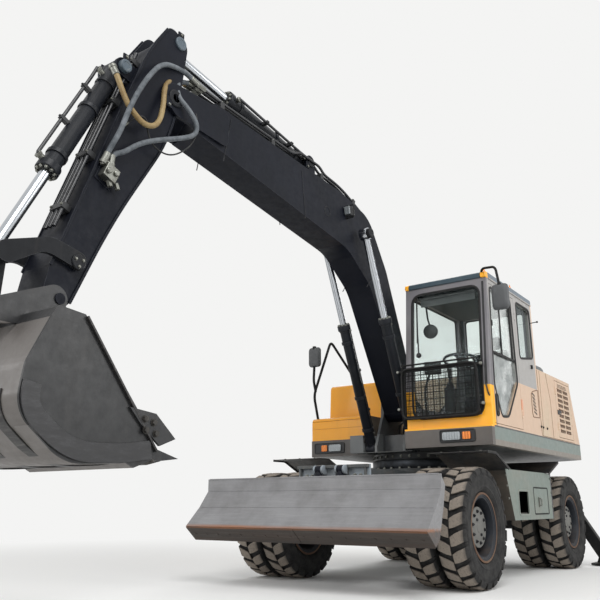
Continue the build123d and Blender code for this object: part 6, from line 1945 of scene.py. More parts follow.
@dataclass
class FrontLamps:
    """Head lamps in black recesses in the deck's front skirts, with clear and amber lenses."""

    left: tuple[float, float, float] = (-0.5872, 0.718, 1.082)
    right: tuple[float, float, float] = (-1.2022, -1.206, -0.790)
    low: float = 1.311
    high: float = 1.426

    def dress(self) -> None:
        """Frame, lens and amber lens of each lamp, standing for the plain ones."""
        for name, (x, y0, y1), clear, amber in (
                ("left", self.left, (0.745, 0.935), (0.955, 1.040)),
                ("right", self.right, (-1.000, -0.830), (-1.105, -1.025))):
            case, lens, turn_lens = Stock(), Stock(), Stock()
            z0, z1 = self.low, self.high
            outline = upright(x + 0.0006, y0, y1, z0, z1)
            case.prism(loop_rows(outline, 0.018, 4), (0.004, 0.0, 0.0))
            case.tube(loop_rows(upright(x + 0.006, y0, y1, z0, z1), 0.018, 4), 0.006, 8, closed=True)
            piece = case.made(f"head_lamp_case_{name}", BLACK_ABS, "upper", bevel=0.001)
            if name == "left":
                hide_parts("lamps")
            lens.prism(loop_rows(upright(x + 0.005, *clear, z0 + 0.016, z1 - 0.018), 0.02, 4), (0.014, 0, 0))
            lens.made(f"head_lamp_lens_{name}", LAMP_LENS, "upper", "lens", bevel=0.004)
            turn_lens.prism(loop_rows(upright(x + 0.005, *amber, z0 + 0.020, z1 - 0.022), 0.01, 4),
                            (0.013, 0, 0))
            turn_lens.made(f"turn_lamp_lens_{name}", AMBER_LENS, "upper", "lens", bevel=0.004)


@dataclass
class RightSide:
    """Tank and tool boxes right of the boom: seams, recess plate, step pads and filler cap."""

    y0: float = -1.253
    y1: float = -0.500
    low_front: float = -1.2125
    high_front: float = -1.6425
    low_top: float = 1.733
    high_top: float = 2.190

    def dress(self) -> None:
        """Add the seams, the recess plate with its feet, the anti-slip pads and the filler cap."""
        seams, plate, steel, grip = Stock(), Stock(), Stock(), Stock()
        x = self.low_front + 0.0006
        lid = self.low_top - 0.042
        seams.sweep([Vector((x, self.y0 + 0.004, lid)), Vector((x, self.y1 - 0.004, lid))],
                    strip(0.003, -0.001, 0.0015, 0.002), Vector((1, 0, 0)))
        seams.sweep([Vector((x, self.y0 + 0.004, 1.600)), Vector((x, self.y1 - 0.004, 1.600))],
                    strip(0.002, -0.001, 0.0012, 0.001), Vector((1, 0, 0)))
        seams.made("tank_lid_seams", AMBER_SHADE, "upper")
        high_x = self.high_front + 0.0006
        outline = loop_rows([(high_x + 0.012, -0.914, 1.790), (high_x + 0.012, -0.791, 1.790),
                             (high_x - 0.010, -0.791, 2.087), (high_x - 0.010, -0.914, 2.087)], 0.030, 5)
        plate.prism(outline, (0.006, 0, 0))
        plate.box((high_x, -0.875, 1.738), (high_x + 0.012, -0.865, 1.795))
        plate.box((high_x, -0.840, 1.738), (high_x + 0.012, -0.830, 1.795))
        plate.made("tank_recess_plate", AMBER_SHADE, "upper", bevel=0.002)
        for k in range(6):
            y = self.y0 + 0.10 + k * 0.105
            grip.box((-1.560, y, self.low_top - PROUD), (-1.290, y + 0.060, self.low_top + 0.003))
        grip.made("tank_step_pads", SATIN_BLACK, "upper", bevel=0.001)
        steel.lathe([(CORE, 0.0), (0.060, 0.0), (0.062, 0.008), (0.055, 0.030), (0.020, 0.036),
                     (CORE, 0.036)], (-1.900, -0.900, self.high_top + 0.0003), (0, 0, 1), 32)
        steel.made("tank_filler_cap", BLACK_ABS, "upper", bevel=0.001)
        side_lines = Stock()
        y = self.y0 - 0.0004
        for rows in (((-1.630, 1.470), (-1.630, 1.725)), ((-1.230, lid), (-1.600, lid)),
                     ((-1.900, 1.470), (-1.900, 2.180))):
            side_lines.sweep([Vector((px, y, pz)) for px, pz in rows],
                             strip(0.003, -0.001, 0.0015, 0.002), Vector((0, -1, 0)))
        side_lines.made("tank_side_seams", AMBER_SHADE, "upper")


@dataclass
class BoomFoot:
    """Hoses, unions and the blue-grey shields in the well where the boom stands."""

    foot: Flat = FOOT

    def dress(self) -> None:
        """Add the shields, the hoses with their unions and the bare lip."""
        self.shield()
        self.pipes()
        self.deck_edge()

    def shield(self) -> None:
        """Curved blue-grey shields on the foot bracket's cheeks."""
        plates = Stock()
        x, z = self.foot
        rows = [(x - 0.020, z - 0.300), (x + 0.105, z - 0.290, 0.03), (x + 0.150, z - 0.160, 0.08),
                (x + 0.125, z - 0.020, 0.06), (x + 0.030, z + 0.070, 0.05), (x - 0.020, z + 0.070)]
        outline = arc_rows([(r[0], 0.0, r[1], *(r[2:] or (0.0,))) for r in rows])
        for side in Side:
            y = side.value * 0.1866
            plates.prism([p + Vector((0, y, 0)) for p in outline], (0, side.value * 0.004, 0))
        plates.made("foot_bracket_shields", ROOF_EDGE, "upper", bevel=0.003)

    def pipes(self) -> None:
        """Hoses with unions on both sides of the foot bracket, and four from the swivel."""
        pipes, unions, hoses = Stock(), Stock(), Stock()
        for side in Side:
            s = side.value
            for k in range(3):
                y = s * 0.1968
                x = -1.075 - 0.040 * k
                hoses.tube(arc_rows([(x, y, 1.300), (x + 0.015, y, 1.420, 0.05), (x - 0.020, y, 1.540, 0.06),
                                     (x + 0.005, y, 1.640, 0.05), (x - 0.015, y, 1.700)]), 0.0090, 10)
                unions.tube([Vector((x, y, 1.296)), Vector((x + 0.003, y, 1.335))], 0.0125, 6)
        hoses.made("well_hoses", HOSE_BLACK, "upper")
        unions.made("well_unions", ZINC, "upper", angle=40)
        for k in range(4):
            y = -0.090 + 0.060 * k
            pipes.tube(arc_rows([(-1.250 + 0.010 * k, y, 1.470), (-1.262, y, 1.560, 0.06),
                                 (-1.330, y, 1.620, 0.06), (-1.420, y, 1.640)]), 0.012, 10)
        pipes.made("swivel_hoses", HOSE_BLACK, "upper")

    def deck_edge(self) -> None:
        """Bare front lip of the revolving frame's bottom plate."""
        lip = Stock()
        lip.prism([(-1.000, -0.470, 1.2705), (-0.845, -0.400, 1.2705), (-0.845, 0.270, 1.2705),
                   (-1.000, 0.300, 1.2705)], (0, 0, -0.008))
        lip.made("bottom_plate_lip", CHASSIS_GREY, "upper", "chassis_grey", bevel=0.002)


@dataclass
class CylinderTrim:
    """Gland, bands, ports, clips and the steel feed pipe of one hydraulic cylinder."""

    name: str
    body: str
    base: Point
    eye: Point
    radius: float
    length: float
    rod_r: float
    pipe_side: Point
    screws: int = 10
    bands: tuple[float, ...] = (0.16, 0.42, 0.86)
    ports: tuple[float, float] = (0.10, 0.945)
    clips: tuple[float, ...] = (0.30, 0.62)
    pipe_r: float = 0.0125
    pipe_lift: float = 0.046

    def axis(self) -> Vector:
        """Direction from the base pin to the rod's eye."""
        return (Vector(self.eye) - Vector(self.base)).normalized()

    def dress(self) -> None:
        """Add the gland with its screws, the wiper seal, bands, ports, feed pipe and clips."""
        along = self.axis()
        base = Vector(self.base)
        face = base + along * self.length
        side = Vector(self.pipe_side)
        side = (side - along * side.dot(along)).normalized()
        other = along.cross(side)
        steel = Stock()
        rows = [(self.radius * 1.1 + 0.0006, -0.058), (self.radius * 1.17, -0.054),
                (self.radius * 1.17, -0.004), (self.radius * 1.12, 0.0008), (self.rod_r + 0.006, 0.0008),
                (self.rod_r + 0.004, -0.004)]
        steel.lathe(rows, tuple(face), tuple(along), 40)
        for share in self.bands:
            place = base + along * self.length * share
            rows = [(self.radius + 0.0004, -0.016), (self.radius + 0.005, -0.015),
                    (self.radius + 0.005, 0.015), (self.radius + 0.0004, 0.016)]
            steel.lathe(rows, tuple(place), tuple(along), 40)
        steel.made(f"{self.name}_bands", CYLINDER_GREY, self.body, "dark", bevel=0.0015)
        seal = Stock()
        seal.lathe([(self.rod_r + 0.0006, 0.0005), (self.rod_r + 0.007, 0.0006), (self.rod_r + 0.006, 0.006),
                    (self.rod_r + 0.0010, 0.009)], tuple(face), tuple(along), 32)
        seal.made(f"{self.name}_wiper_seal", SEAL, self.body)
        screws = Stock()
        for turn in turns(self.screws, 0.5):
            out = side * math.cos(turn) + other * math.sin(turn)
            screws.bolt(tuple(face + out * (self.rod_r + 0.006 + self.radius * 1.12) * 0.5), tuple(along),
                        across=0.020, rise=0.014)
        screws.made(f"{self.name}_gland_screws", ZINC, self.body, angle=40)
        ports = Stock()
        for share in self.ports:
            foot = base + along * self.length * share + side * self.radius * 0.92
            ports.tube([foot, foot + side * 0.034], 0.021, 16)
            ports.bar(foot + side * 0.030, foot + side * 0.052, 0.026, 6, chamfer=0.003)
        ports.made(f"{self.name}_ports", ZINC, self.body, angle=40)
        lift = self.radius + self.pipe_lift
        pipe = Stock()
        near, far = (share * self.length for share in self.ports)
        run = [base + along * far + side * (self.radius + 0.012), base + along * far + side * lift,
               base + along * (far - 0.05) + side * lift, base + along * (near + 0.10) + side * lift,
               base + along * near + side * (lift + 0.004)]
        pipe.tube(arc_rows([(*p, 0.022) for p in run], steps=6), self.pipe_r, 12)
        pipe.made(f"{self.name}_feed_pipe", PIPE_BLACK, self.body)
        clips = Stock()
        for share in self.clips:
            seat = base + along * self.length * share
            low = seat + side * (self.radius - 0.002)
            clips.prism([low + along * a + other * b for a, b in strip(0.014, -0.017, 0.017)],
                        tuple(side * (lift - self.radius + 0.020)))
            clips.bolt(tuple(seat + side * (lift + 0.018)), tuple(side), across=0.016)
        clips.made(f"{self.name}_pipe_clips", BLACK_ABS, self.body, bevel=0.002)


@dataclass
class BoomDress:
    """Pipes, clamps, lamp, pin caps, weld seams and patches along the boom."""

    half_w: float = 0.150
    pipe_r: float = 0.0135
    patch_r: float = 0.050
    pipe_rows: tuple[float, ...] = (0.122, 0.082, 0.042, -0.070, -0.112)
    top_line: tuple[Flat, ...] = ((-1.02, 2.30), (-0.62, 3.25), (-0.27, 3.70), (0.24, 3.876),
                                                  (0.80, 3.905), (2.20, 3.952), (2.34, 3.962))
    clamps: tuple[tuple[float, float, float], ...] = ((2.12, 3.924, 0.0), (1.42, 3.882, 0.0),
                                                      (0.62, 3.858, 0.06), (0.02, 3.800, 0.30),
                                                      (-0.36, 3.520, 0.85), (-0.64, 3.110, 1.17),
                                                      (-0.90, 2.470, 1.20))

    def dress(self) -> None:
        """Add everything that is welded or bolted to the boom."""
        self.pipes()
        self.side_lamp()
        self.pin_caps()
        self.seams()

    def pipes(self) -> None:
        """Lay the five pipes with their humps, clamp blocks and end fittings."""
        for i, y in enumerate(self.pipe_rows):
            lift = 0.030 + 0.004 * (i % 2)
            rows = [(x, z + lift, 0.16) for x, z in self.top_line]
            if i in (0, 1):
                hump = [(0.56 + 0.04 * i, 3.905 + lift, 0.05), (0.64 + 0.04 * i, 3.990, 0.06),
                        (0.98 + 0.05 * i, 4.002, 0.06), (1.10 + 0.05 * i, 3.912 + lift, 0.05)]
                rows = rows[:4] + hump + rows[5:]
            stock = Stock()
            stock.tube(arc_rows([(x, y, z, bend) for x, z, bend in rows], steps=7), self.pipe_r, 12)
            stock.made(f"boom_pipe_{i + 1}", PIPE_BLACK, "boom")
        blocks, bolts = Stock(), Stock()
        for x, z, tilt in self.clamps:
            along = Vector((math.cos(tilt), 0, math.sin(tilt)))
            up = Vector((-math.sin(tilt), 0, math.cos(tilt)))
            centre = Vector((x, 0, z))
            for y0, y1 in ((0.022, 0.142), (-0.132, -0.050)):
                blocks.prism(crosswise(centre - up * 0.02, along * 0.024, y0, y1), tuple(up * 0.075))
                for y in (y0 + 0.012, (y0 + y1) / 2, y1 - 0.012):
                    bolts.bolt(tuple(centre + up * 0.055 + Vector((0, y, 0))), tuple(up), across=0.017)
        blocks.made("boom_pipe_clamps", BLACK_ABS, "boom", bevel=0.003)
        bolts.made("boom_clamp_bolts", ZINC, "boom", angle=40)
        ends = Stock()
        for y in self.pipe_rows:
            ends.bar((2.32, y, 3.992), (2.415, y, 3.998), 0.021, 6, chamfer=0.003)
        ends.made("boom_pipe_unions", ZINC, "boom", angle=40)

    def side_lamp(self) -> None:
        """Square work lamp on the boom's left side with its guard bow."""
        case, lens, bow = Stock(), Stock(), Stock()
        turn = Matrix.Rotation(math.radians(12), 3, "Y")
        case.box((0.145, 0.152, 3.590), (0.235, 0.232, 3.690), turn)
        case.made("boom_lamp_case", BLACK_ABS, "boom", bevel=0.010)
        lens.box((0.228, 0.160, 3.598), (0.243, 0.224, 3.682), turn)
        lens.made("boom_lamp_lens", LAMP_LENS, "boom", "lens", bevel=0.005)
        bow.tube(arc_rows([(0.19, 0.150, 3.57), (0.19, 0.245, 3.57, 0.02), (0.19, 0.245, 3.71, 0.02),
                           (0.19, 0.150, 3.71)]), 0.006, 8)
        bow.made("boom_lamp_bow", SATIN_BLACK, "boom")

    def pin_caps(self) -> None:
        """Turned caps and keeper plates on the boom's pins."""
        caps, keepers, bolts = Stock(), Stock(), Stock()
        places = ((-0.010, 3.440, 0.052, 0.323, False), (2.690, 3.710, 0.070, 0.175, True),
                  (0.770, 3.985, 0.050, 0.105, True))
        for side in Side:
            s = side.value
            for x, z, radius, y, kept in places:
                caps.lathe([(CORE, -0.02), (radius, -0.02), (radius, 0.006), (radius - 0.006, 0.012),
                            (radius * 0.55, 0.013), (radius * 0.50, 0.009), (CORE, 0.009)],
                           (x, s * y, z), (0, s, 0), 32)
                if not kept:
                    continue
                keepers.box((x + radius * 0.6, s * (y - 0.004), z - radius - 0.03),
                            (x + radius * 0.6 + 0.05, s * (y + 0.006), z - radius * 0.2))
                bolts.bolt((x + radius * 0.6 + 0.025, s * (y + 0.006), z - radius - 0.012), (0, s, 0),
                           across=0.018)
        caps.made("boom_pin_caps", CHARCOAL_ROUGH, "boom", "dark", bevel=0.001)
        keepers.made("boom_pin_keepers", CHARCOAL, "boom", "dark", bevel=0.002)
        bolts.made("boom_keeper_bolts", ZINC, "boom", angle=40)

    def seams(self) -> None:
        """Weld beads at the plate joints and a round patch on each side."""
        beads = Stock()
        for side in Side:
            y = side.value * (self.half_w + 0.0004)
            for (x0, z0), (x1, z1) in (((0.93, 3.33), (0.985, 3.80)), ((-0.47, 3.25), (-0.20, 2.93)),
                                       ((2.02, 3.86), (2.10, 3.44))):
                line = [Vector((x0 + (x1 - x0) * t / 12, y, z0 + (z1 - z0) * t / 12)) for t in range(13)]
                beads.tube(line, 0.0045, 6)
            circle = [Vector((0.545 + self.patch_r * math.cos(a), y, 3.533 + self.patch_r * math.sin(a)))
                      for a in turns(28)]
            beads.tube(circle, 0.004, 6, closed=True)
        beads.made("boom_weld_beads", CHARCOAL_ROUGH, "boom", "dark")


@dataclass
class ArmDress:
    """Flange strips, front pipes, valve block, clamps and pin caps of the arm."""

    half_w: float = 0.138
    back_line: tuple[Flat, ...] = ((-0.085, 0.10), (0.03, -0.376), (0.483, -1.169), (0.76, -1.80))
    front_line: tuple[Flat, ...] = ((0.093, 0.585), (0.259, 0.31), (0.455, -0.228), (0.921, -1.59))
    pipe_line: tuple[Flat, ...] = ((0.330, 0.25), (0.500, -0.228), (0.700, -0.80), (0.880, -1.31))
    pipe_rows: tuple[float, ...] = (-0.010, 0.034, 0.078)
    pipe_r: float = 0.0135
    valve: Flat = (0.565, -0.850)

    def at_tip(self, x: float, z: float) -> Flat:
        """Place in the machine from a place on the arm, measured from its pivot."""
        return TIP[0] + x, TIP[1] + z

    def dress(self) -> None:
        """Add everything that is welded or bolted to the arm."""
        self.flanges()
        self.front_pipes()
        self.valve_block()
        self.pin_caps()

    def flanges(self) -> None:
        """Strips of the front and back plates that stand proud of the side plates."""
        stock = Stock()
        for rows in (self.front_line, self.back_line):
            points = [self.at_tip(*p) for p in rows]
            line = arc_rows([(x, 0.0, z, 0.35) for x, z in points], steps=8)
            for side in Side:
                y = side.value * (self.half_w + 0.005)
                run = [p + Vector((0, y, 0)) for p in line]
                stock.sweep(run, strip(0.009, -0.006, 0.006),
                            Vector((0, 1, 0)))
        stock.made("arm_flange_strips", CHARCOAL, "arm", "dark", bevel=0.0015)

    def front_pipes(self) -> None:
        """Three pipes down the arm's front face to the tool, in clamp blocks."""
        pipes, clamps, bolts = Stock(), Stock(), Stock()
        line = [self.at_tip(*p) for p in self.pipe_line]
        for y in self.pipe_rows:
            run = arc_rows([(x, y, z, 0.25) for x, z in line], steps=6)
            pipes.tube(run, self.pipe_r, 12)
        pipes.made("arm_pipes", PIPE_BLACK, "arm")
        for t in (0.06, 0.34, 0.62, 0.9):
            k = t * (len(line) - 1)
            i = min(int(k), len(line) - 2)
            x = line[i][0] + (line[i + 1][0] - line[i][0]) * (k - i)
            z = line[i][1] + (line[i + 1][1] - line[i][1]) * (k - i)
            along = Vector((line[i + 1][0] - line[i][0], 0, line[i + 1][1] - line[i][1])).normalized()
            out = Vector((-along.z, 0, along.x))
            out = out if out.x > 0 else -out
            low = Vector((x, 0, z)) - out * 0.048
            clamps.prism(crosswise(low, along * 0.022, -0.030, 0.098), tuple(out * 0.070))
            for y in (-0.018, 0.086):
                bolts.bolt((x + out.x * 0.022, y, z + out.z * 0.022), tuple(out), across=0.016)
        clamps.made("arm_pipe_clamps", BLACK_ABS, "arm", bevel=0.003)
        bolts.made("arm_clamp_bolts", ZINC, "arm", angle=40)

    def valve_block(self) -> None:
        """Pair of shut-off valves where the two grey hoses end, on the arm's left side."""
        x, z = self.at_tip(*self.valve)
        turn = Matrix.Rotation(math.radians(-22), 3, "Y")
        block = Stock()
        block.box((x - 0.055, self.half_w, z - 0.060), (x + 0.055, self.half_w + 0.070, z + 0.050), turn)
        block.box((x - 0.045, self.half_w, z + 0.040), (x + 0.045, self.half_w + 0.045, z + 0.075), turn)
        block.made("arm_valve_block", ZINC, "arm", bevel=0.006)
        ends = Stock()
        for dx in (-0.030, 0.032):
            top = Vector((x + dx + 0.012, self.half_w + 0.026, z + 0.045))
            ends.bar(top, top + Vector((0.004, 0.000, 0.022)), 0.022, 6, chamfer=0.003)
            foot = Vector((x + dx - 0.030, self.half_w + 0.036, z - 0.055))
            ends.bar(foot, foot + Vector((-0.012, 0.010, -0.045)), 0.019, 6, chamfer=0.003)
            ends.lathe([(CORE, 0.0), (0.020, 0.0), (0.020, 0.016), (0.014, 0.022), (CORE, 0.022)],
                       (x + dx, self.half_w + 0.068, z - 0.005), (0, 1, 0), 20)
        ends.made("arm_valve_unions", ZINC, "arm", angle=40)
        plate = Stock()
        plate.box((x - 0.075, self.half_w - 0.001, z - 0.085), (x + 0.070, self.half_w + 0.008, z + 0.075),
                  turn)
        plate.made("arm_valve_plate", CHARCOAL, "arm", "dark", bevel=0.002)

    def pin_caps(self) -> None:
        """Turned caps and keepers of the arm's pins."""
        caps, bolts, keeper = Stock(), Stock(), Stock()
        for x, z, radius, y in ((2.636, 4.243, 0.056, 0.139), (3.143, 3.769, 0.050, 0.120)):
            for side in Side:
                s = side.value
                caps.lathe([(CORE, -0.03), (radius, -0.03), (radius, 0.010), (radius - 0.006, 0.016),
                            (radius * 0.6, 0.016), (radius * 0.55, 0.012), (CORE, 0.012)],
                           (x, s * y, z), (0, s, 0), 32)
                keeper.box((x - 0.03, s * (y - 0.004), z + radius * 0.7),
                           (x + 0.03, s * (y + 0.008), z + radius + 0.045))
                bolts.bolt((x, s * (y + 0.008), z + radius + 0.022), (0, s, 0), across=0.020)
        caps.made("arm_pin_caps", PIN_GREY, "arm", "dark", bevel=0.001)
        keeper.made("arm_pin_keepers", CHARCOAL, "arm", "dark", bevel=0.002)
        bolts.made("arm_keeper_bolts", ZINC, "arm", angle=40)


@dataclass
class LinkageDress:
    """Pin caps of the rocker and the link."""

    def dress(self) -> None:
        """Add a turned cap with three screws at each pin end."""
        rows = (("rocker_pin_caps", "rocker", 3.434, 2.177, 0.052, self.reach("rocker")),
                ("link_pin_caps", "bucket_link", 3.936, 2.096, 0.045, self.reach("bucket_link")))
        for name, body, x, z, radius, y in rows:
            caps, bolts = Stock(), Stock()
            for side in Side:
                s = side.value
                caps.lathe([(CORE, -0.012), (radius, -0.012), (radius, 0.006), (radius - 0.005, 0.011),
                            (CORE, 0.011)], (x, s * y, z), (0, s, 0), 28)
                for turn in turns(3, 0.23873):
                    bolts.bolt((x + radius * 0.6 * math.cos(turn), s * (y + 0.010),
                                z + radius * 0.6 * math.sin(turn)), (0, s, 0), across=0.016)
            caps.made(name, CHARCOAL_ROUGH, body, "dark", bevel=0.001)
            bolts.made(name.replace("caps", "screws"), ZINC, body, angle=40)

    @staticmethod
    def reach(node: str) -> float:
        """Half the node's width, as the solids have it."""
        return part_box(node)[1][1]


@dataclass
class BucketDress:
    """Wear strips, cutter bolts, mouth bars and tooth adapters of the bucket."""

    pin: Flat = (3.550, 1.910)
    half_w: float = 0.500
    teeth: int = 5
    outer_tooth: float = 0.42
    back_rows: tuple[tuple[float, ...], ...] = ((-0.552, -0.905), (-0.30, -0.962, 0.20),
                                                (0.10, -0.985, 0.33), (0.42, -0.73, 0.20),
                                                (0.39, -0.48, 0.20), (0.23, -0.138))

    def at_pin(self, x: float, z: float) -> Flat:
        """Place in the machine from a place measured from the bucket's pin."""
        return self.pin[0] + x, self.pin[1] + z

    def dress(self) -> None:
        """Add the strips, bolts, bars and adapters."""
        self.wear_strips()
        self.side_plates()
        self.adapters()

    def line(self, inset: float = 0.0) -> list[Vector]:
        """The bucket's back as a curve.

        Args:
            inset: How far the curve moves inward.

        Returns:
            Points from the teeth over the back to the pins.
        """
        rows = [(*self.at_pin(p[0], p[1]), *(p[2:] or (0.0,))) for p in self.back_rows]
        run = arc_rows([(x, 0.0, z, r) for x, z, r in rows], steps=9)
        middle = Vector((self.pin[0] - 0.05, 0.0, self.pin[1] - 0.60))
        return [p + (middle - p).normalized() * inset for p in run]

    def wear_strips(self) -> None:
        """Three curved strips round the back and one along each side's lower edge."""
        strips = Stock()
        run = self.line(-0.004)
        run = run[: int(len(run) * 0.75)]
        for y in (-0.30, 0.0, 0.30):
            path = [p + Vector((0, y, 0)) for p in run[2:]]
            strips.sweep(path, ((-0.006, -0.045), (0.008, -0.045), (0.008, 0.045), (-0.006, 0.045)),
                         Vector((0, 1, 0)))
        strips.made("bucket_back_strips", BUCKET_STRIP, "bucket", "dark", bevel=0.002)
        sides = Stock()
        run = self.line(0.060)
        run = run[: int(len(run) * 0.80)]
        for side in Side:
            y = side.value * (self.half_w + 0.006)
            path = [p + Vector((0, y, 0)) for p in run]
            sides.sweep(path, strip(0.055, -0.006, 0.006), Vector((0, 1, 0)))
        sides.made("bucket_side_strips", BUCKET_SIDE, "bucket", "dark", bevel=0.002)

    def side_plates(self) -> None:
        """Cutter bolts, and the bar along each side plate's mouth."""
        bolts, bars = Stock(), Stock()
        for side in Side:
            s = side.value
            for x, z in ((-0.43, -0.70), (-0.50, -0.715), (-0.44, -0.765), (-0.52, -0.78)):
                px, pz = self.at_pin(x, z)
                bolts.bolt((px, s * (self.half_w + 0.018), pz), (0, s, 0), across=0.034, rise=0.020)
            x0, z0 = self.at_pin(0.035, -0.165)
            x1, z1 = self.at_pin(-0.545, -0.880)
            run = [Vector((x0, s * (self.half_w + 0.004), z0)), Vector((x1, s * (self.half_w + 0.004), z1))]
            bars.sweep(run, ((-0.004, -0.016), (0.010, -0.016), (0.010, 0.016), (-0.004, 0.016)),
                       Vector((0, s, 0)))
        bolts.made("bucket_cutter_bolts", TEETH_STEEL, "bucket", "dark", angle=40)
        bars.made("bucket_mouth_bars", BUCKET_STRIP, "bucket", "dark", bevel=0.002)

    def adapters(self) -> None:
        """Cast adapters that hold the teeth, with their retaining pins."""
        cast, pins = Stock(), Stock()
        for k in range(self.teeth):
            y = self.outer_tooth * (2 * k / (self.teeth - 1) - 1)
            rows = [self.at_pin(x, z) for x, z in ((-0.640, -0.880), (-0.520, -0.850), (-0.385, -0.905),
                                                   (-0.390, -0.940), (-0.520, -0.962), (-0.630, -0.935))]
            cast.prism([(x, y - 0.044, z) for x, z in rows], (0, 0.088, 0))
            px, pz = self.at_pin(-0.590, -0.908)
            pins.bar((px, y - 0.050, pz), (px, y + 0.050, pz), 0.012, 12, chamfer=0.002)
        cast.made("tooth_adapters", TEETH_STEEL, "bucket", "dark", bevel=0.006)
        pins.made("tooth_pins", TEETH_STEEL, "bucket", "dark", angle=40)


@dataclass
class FreeHose:
    """A hose that hangs between the boom's end and the arm."""

    name: str
    radius: float
    finish: Finish
    points: tuple[Point, ...]
    ferrules: tuple[float, float] = (0.075, 0.075)

    def route(self) -> list[Vector]:
        """Read points from the hose's smooth curve.

        Returns:
            Points from the boom's end to the arm's.
        """
        curve = bpy.data.curves.new(f"{self.name}_route", "CURVE")
        curve.dimensions = "3D"
        curve.resolution_u = 8
        spline = curve.splines.new("NURBS")
        spline.points.add(len(self.points) - 1)
        for knot, place in zip(spline.points, self.points):
            knot.co = (*place, 1.0)
        spline.order_u = 3
        spline.use_endpoint_u = True
        holder = bpy.data.objects.new(f"{self.name}_route", curve)
        line = bpy.data.meshes.new_from_object(holder)
        run = [v.co.copy() for v in line.vertices]
        bpy.data.objects.remove(holder)
        bpy.data.meshes.remove(line)
        bpy.data.curves.remove(curve)
        return run

    def make(self) -> None:
        run = self.route()
        stock = Stock()
        stock.tube(run, self.radius, 14)
        piece = placed(self.name, stock.net(self.name), self.finish, None)
        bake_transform(piece)
        for body, ends, reach in (("boom", (run[0], run[2]), self.ferrules[0]),
                                  ("arm", (run[-1], run[-3]), self.ferrules[1])):
            along = (ends[1] - ends[0]).normalized()
            crimp = Stock()
            a, r = ends[0], self.radius
            crimp.tube([a - along * 0.012, a + along * 0.010, a + along * 0.012, a + along * (reach - 0.004),
                        a + along * reach], [r * 1.5, r * 1.5, r * 1.28, r * 1.28, r * 1.05], 14)
            crimp.made(f"{self.name}_{body}_ferrule", ZINC, body, angle=30)


# Hoses and the cable that cross from the boom to the arm, read from the photograph.
HOSES = (
    FreeHose("hose_outer", 0.019, HOSE_GREY, (
        (2.420, 0.122, 4.000), (2.500, 0.128, 4.020), (2.646, 0.150, 4.010), (2.860, 0.190, 3.930),
        (3.033, 0.230, 3.690), (3.160, 0.235, 3.421), (3.222, 0.220, 3.182), (3.272, 0.188, 3.040),
        (3.303, 0.164, 2.928))),
    FreeHose("hose_inner", 0.019, HOSE_GREY, (
        (2.420, 0.082, 4.000), (2.596, 0.095, 3.973), (2.678, 0.170, 3.749), (2.596, 0.225, 3.648),
        (2.521, 0.250, 3.548), (2.537, 0.255, 3.440), (2.691, 0.250, 3.346), (2.906, 0.240, 3.243),
        (3.058, 0.215, 3.153), (3.155, 0.185, 3.051), (3.243, 0.166, 3.010), (3.241, 0.164, 2.928))),
    FreeHose("hose_gold", 0.020, HOSE_GOLD, (
        (2.420, 0.042, 4.000), (2.616, 0.080, 3.968), (2.790, 0.150, 3.798), (2.842, 0.210, 3.533),
        (2.919, 0.245, 3.348), (3.037, 0.245, 3.293), (3.151, 0.220, 3.378), (3.201, 0.195, 3.473),
        (3.250, 0.166, 3.620), (3.262, 0.130, 3.690))),
    FreeHose("signal_cable", 0.006, HOSE_BLACK, (
        (2.409, -0.070, 3.985), (2.440, 0.120, 3.840), (2.480, 0.225, 3.520), (2.567, 0.230, 3.330),
        (2.760, 0.222, 3.170), (2.930, 0.215, 3.190), (2.985, 0.210, 3.300), (2.985, 0.208, 3.380),
        (3.060, 0.200, 3.390), (3.130, 0.150, 3.290)), (0.03, 0.03)),
)


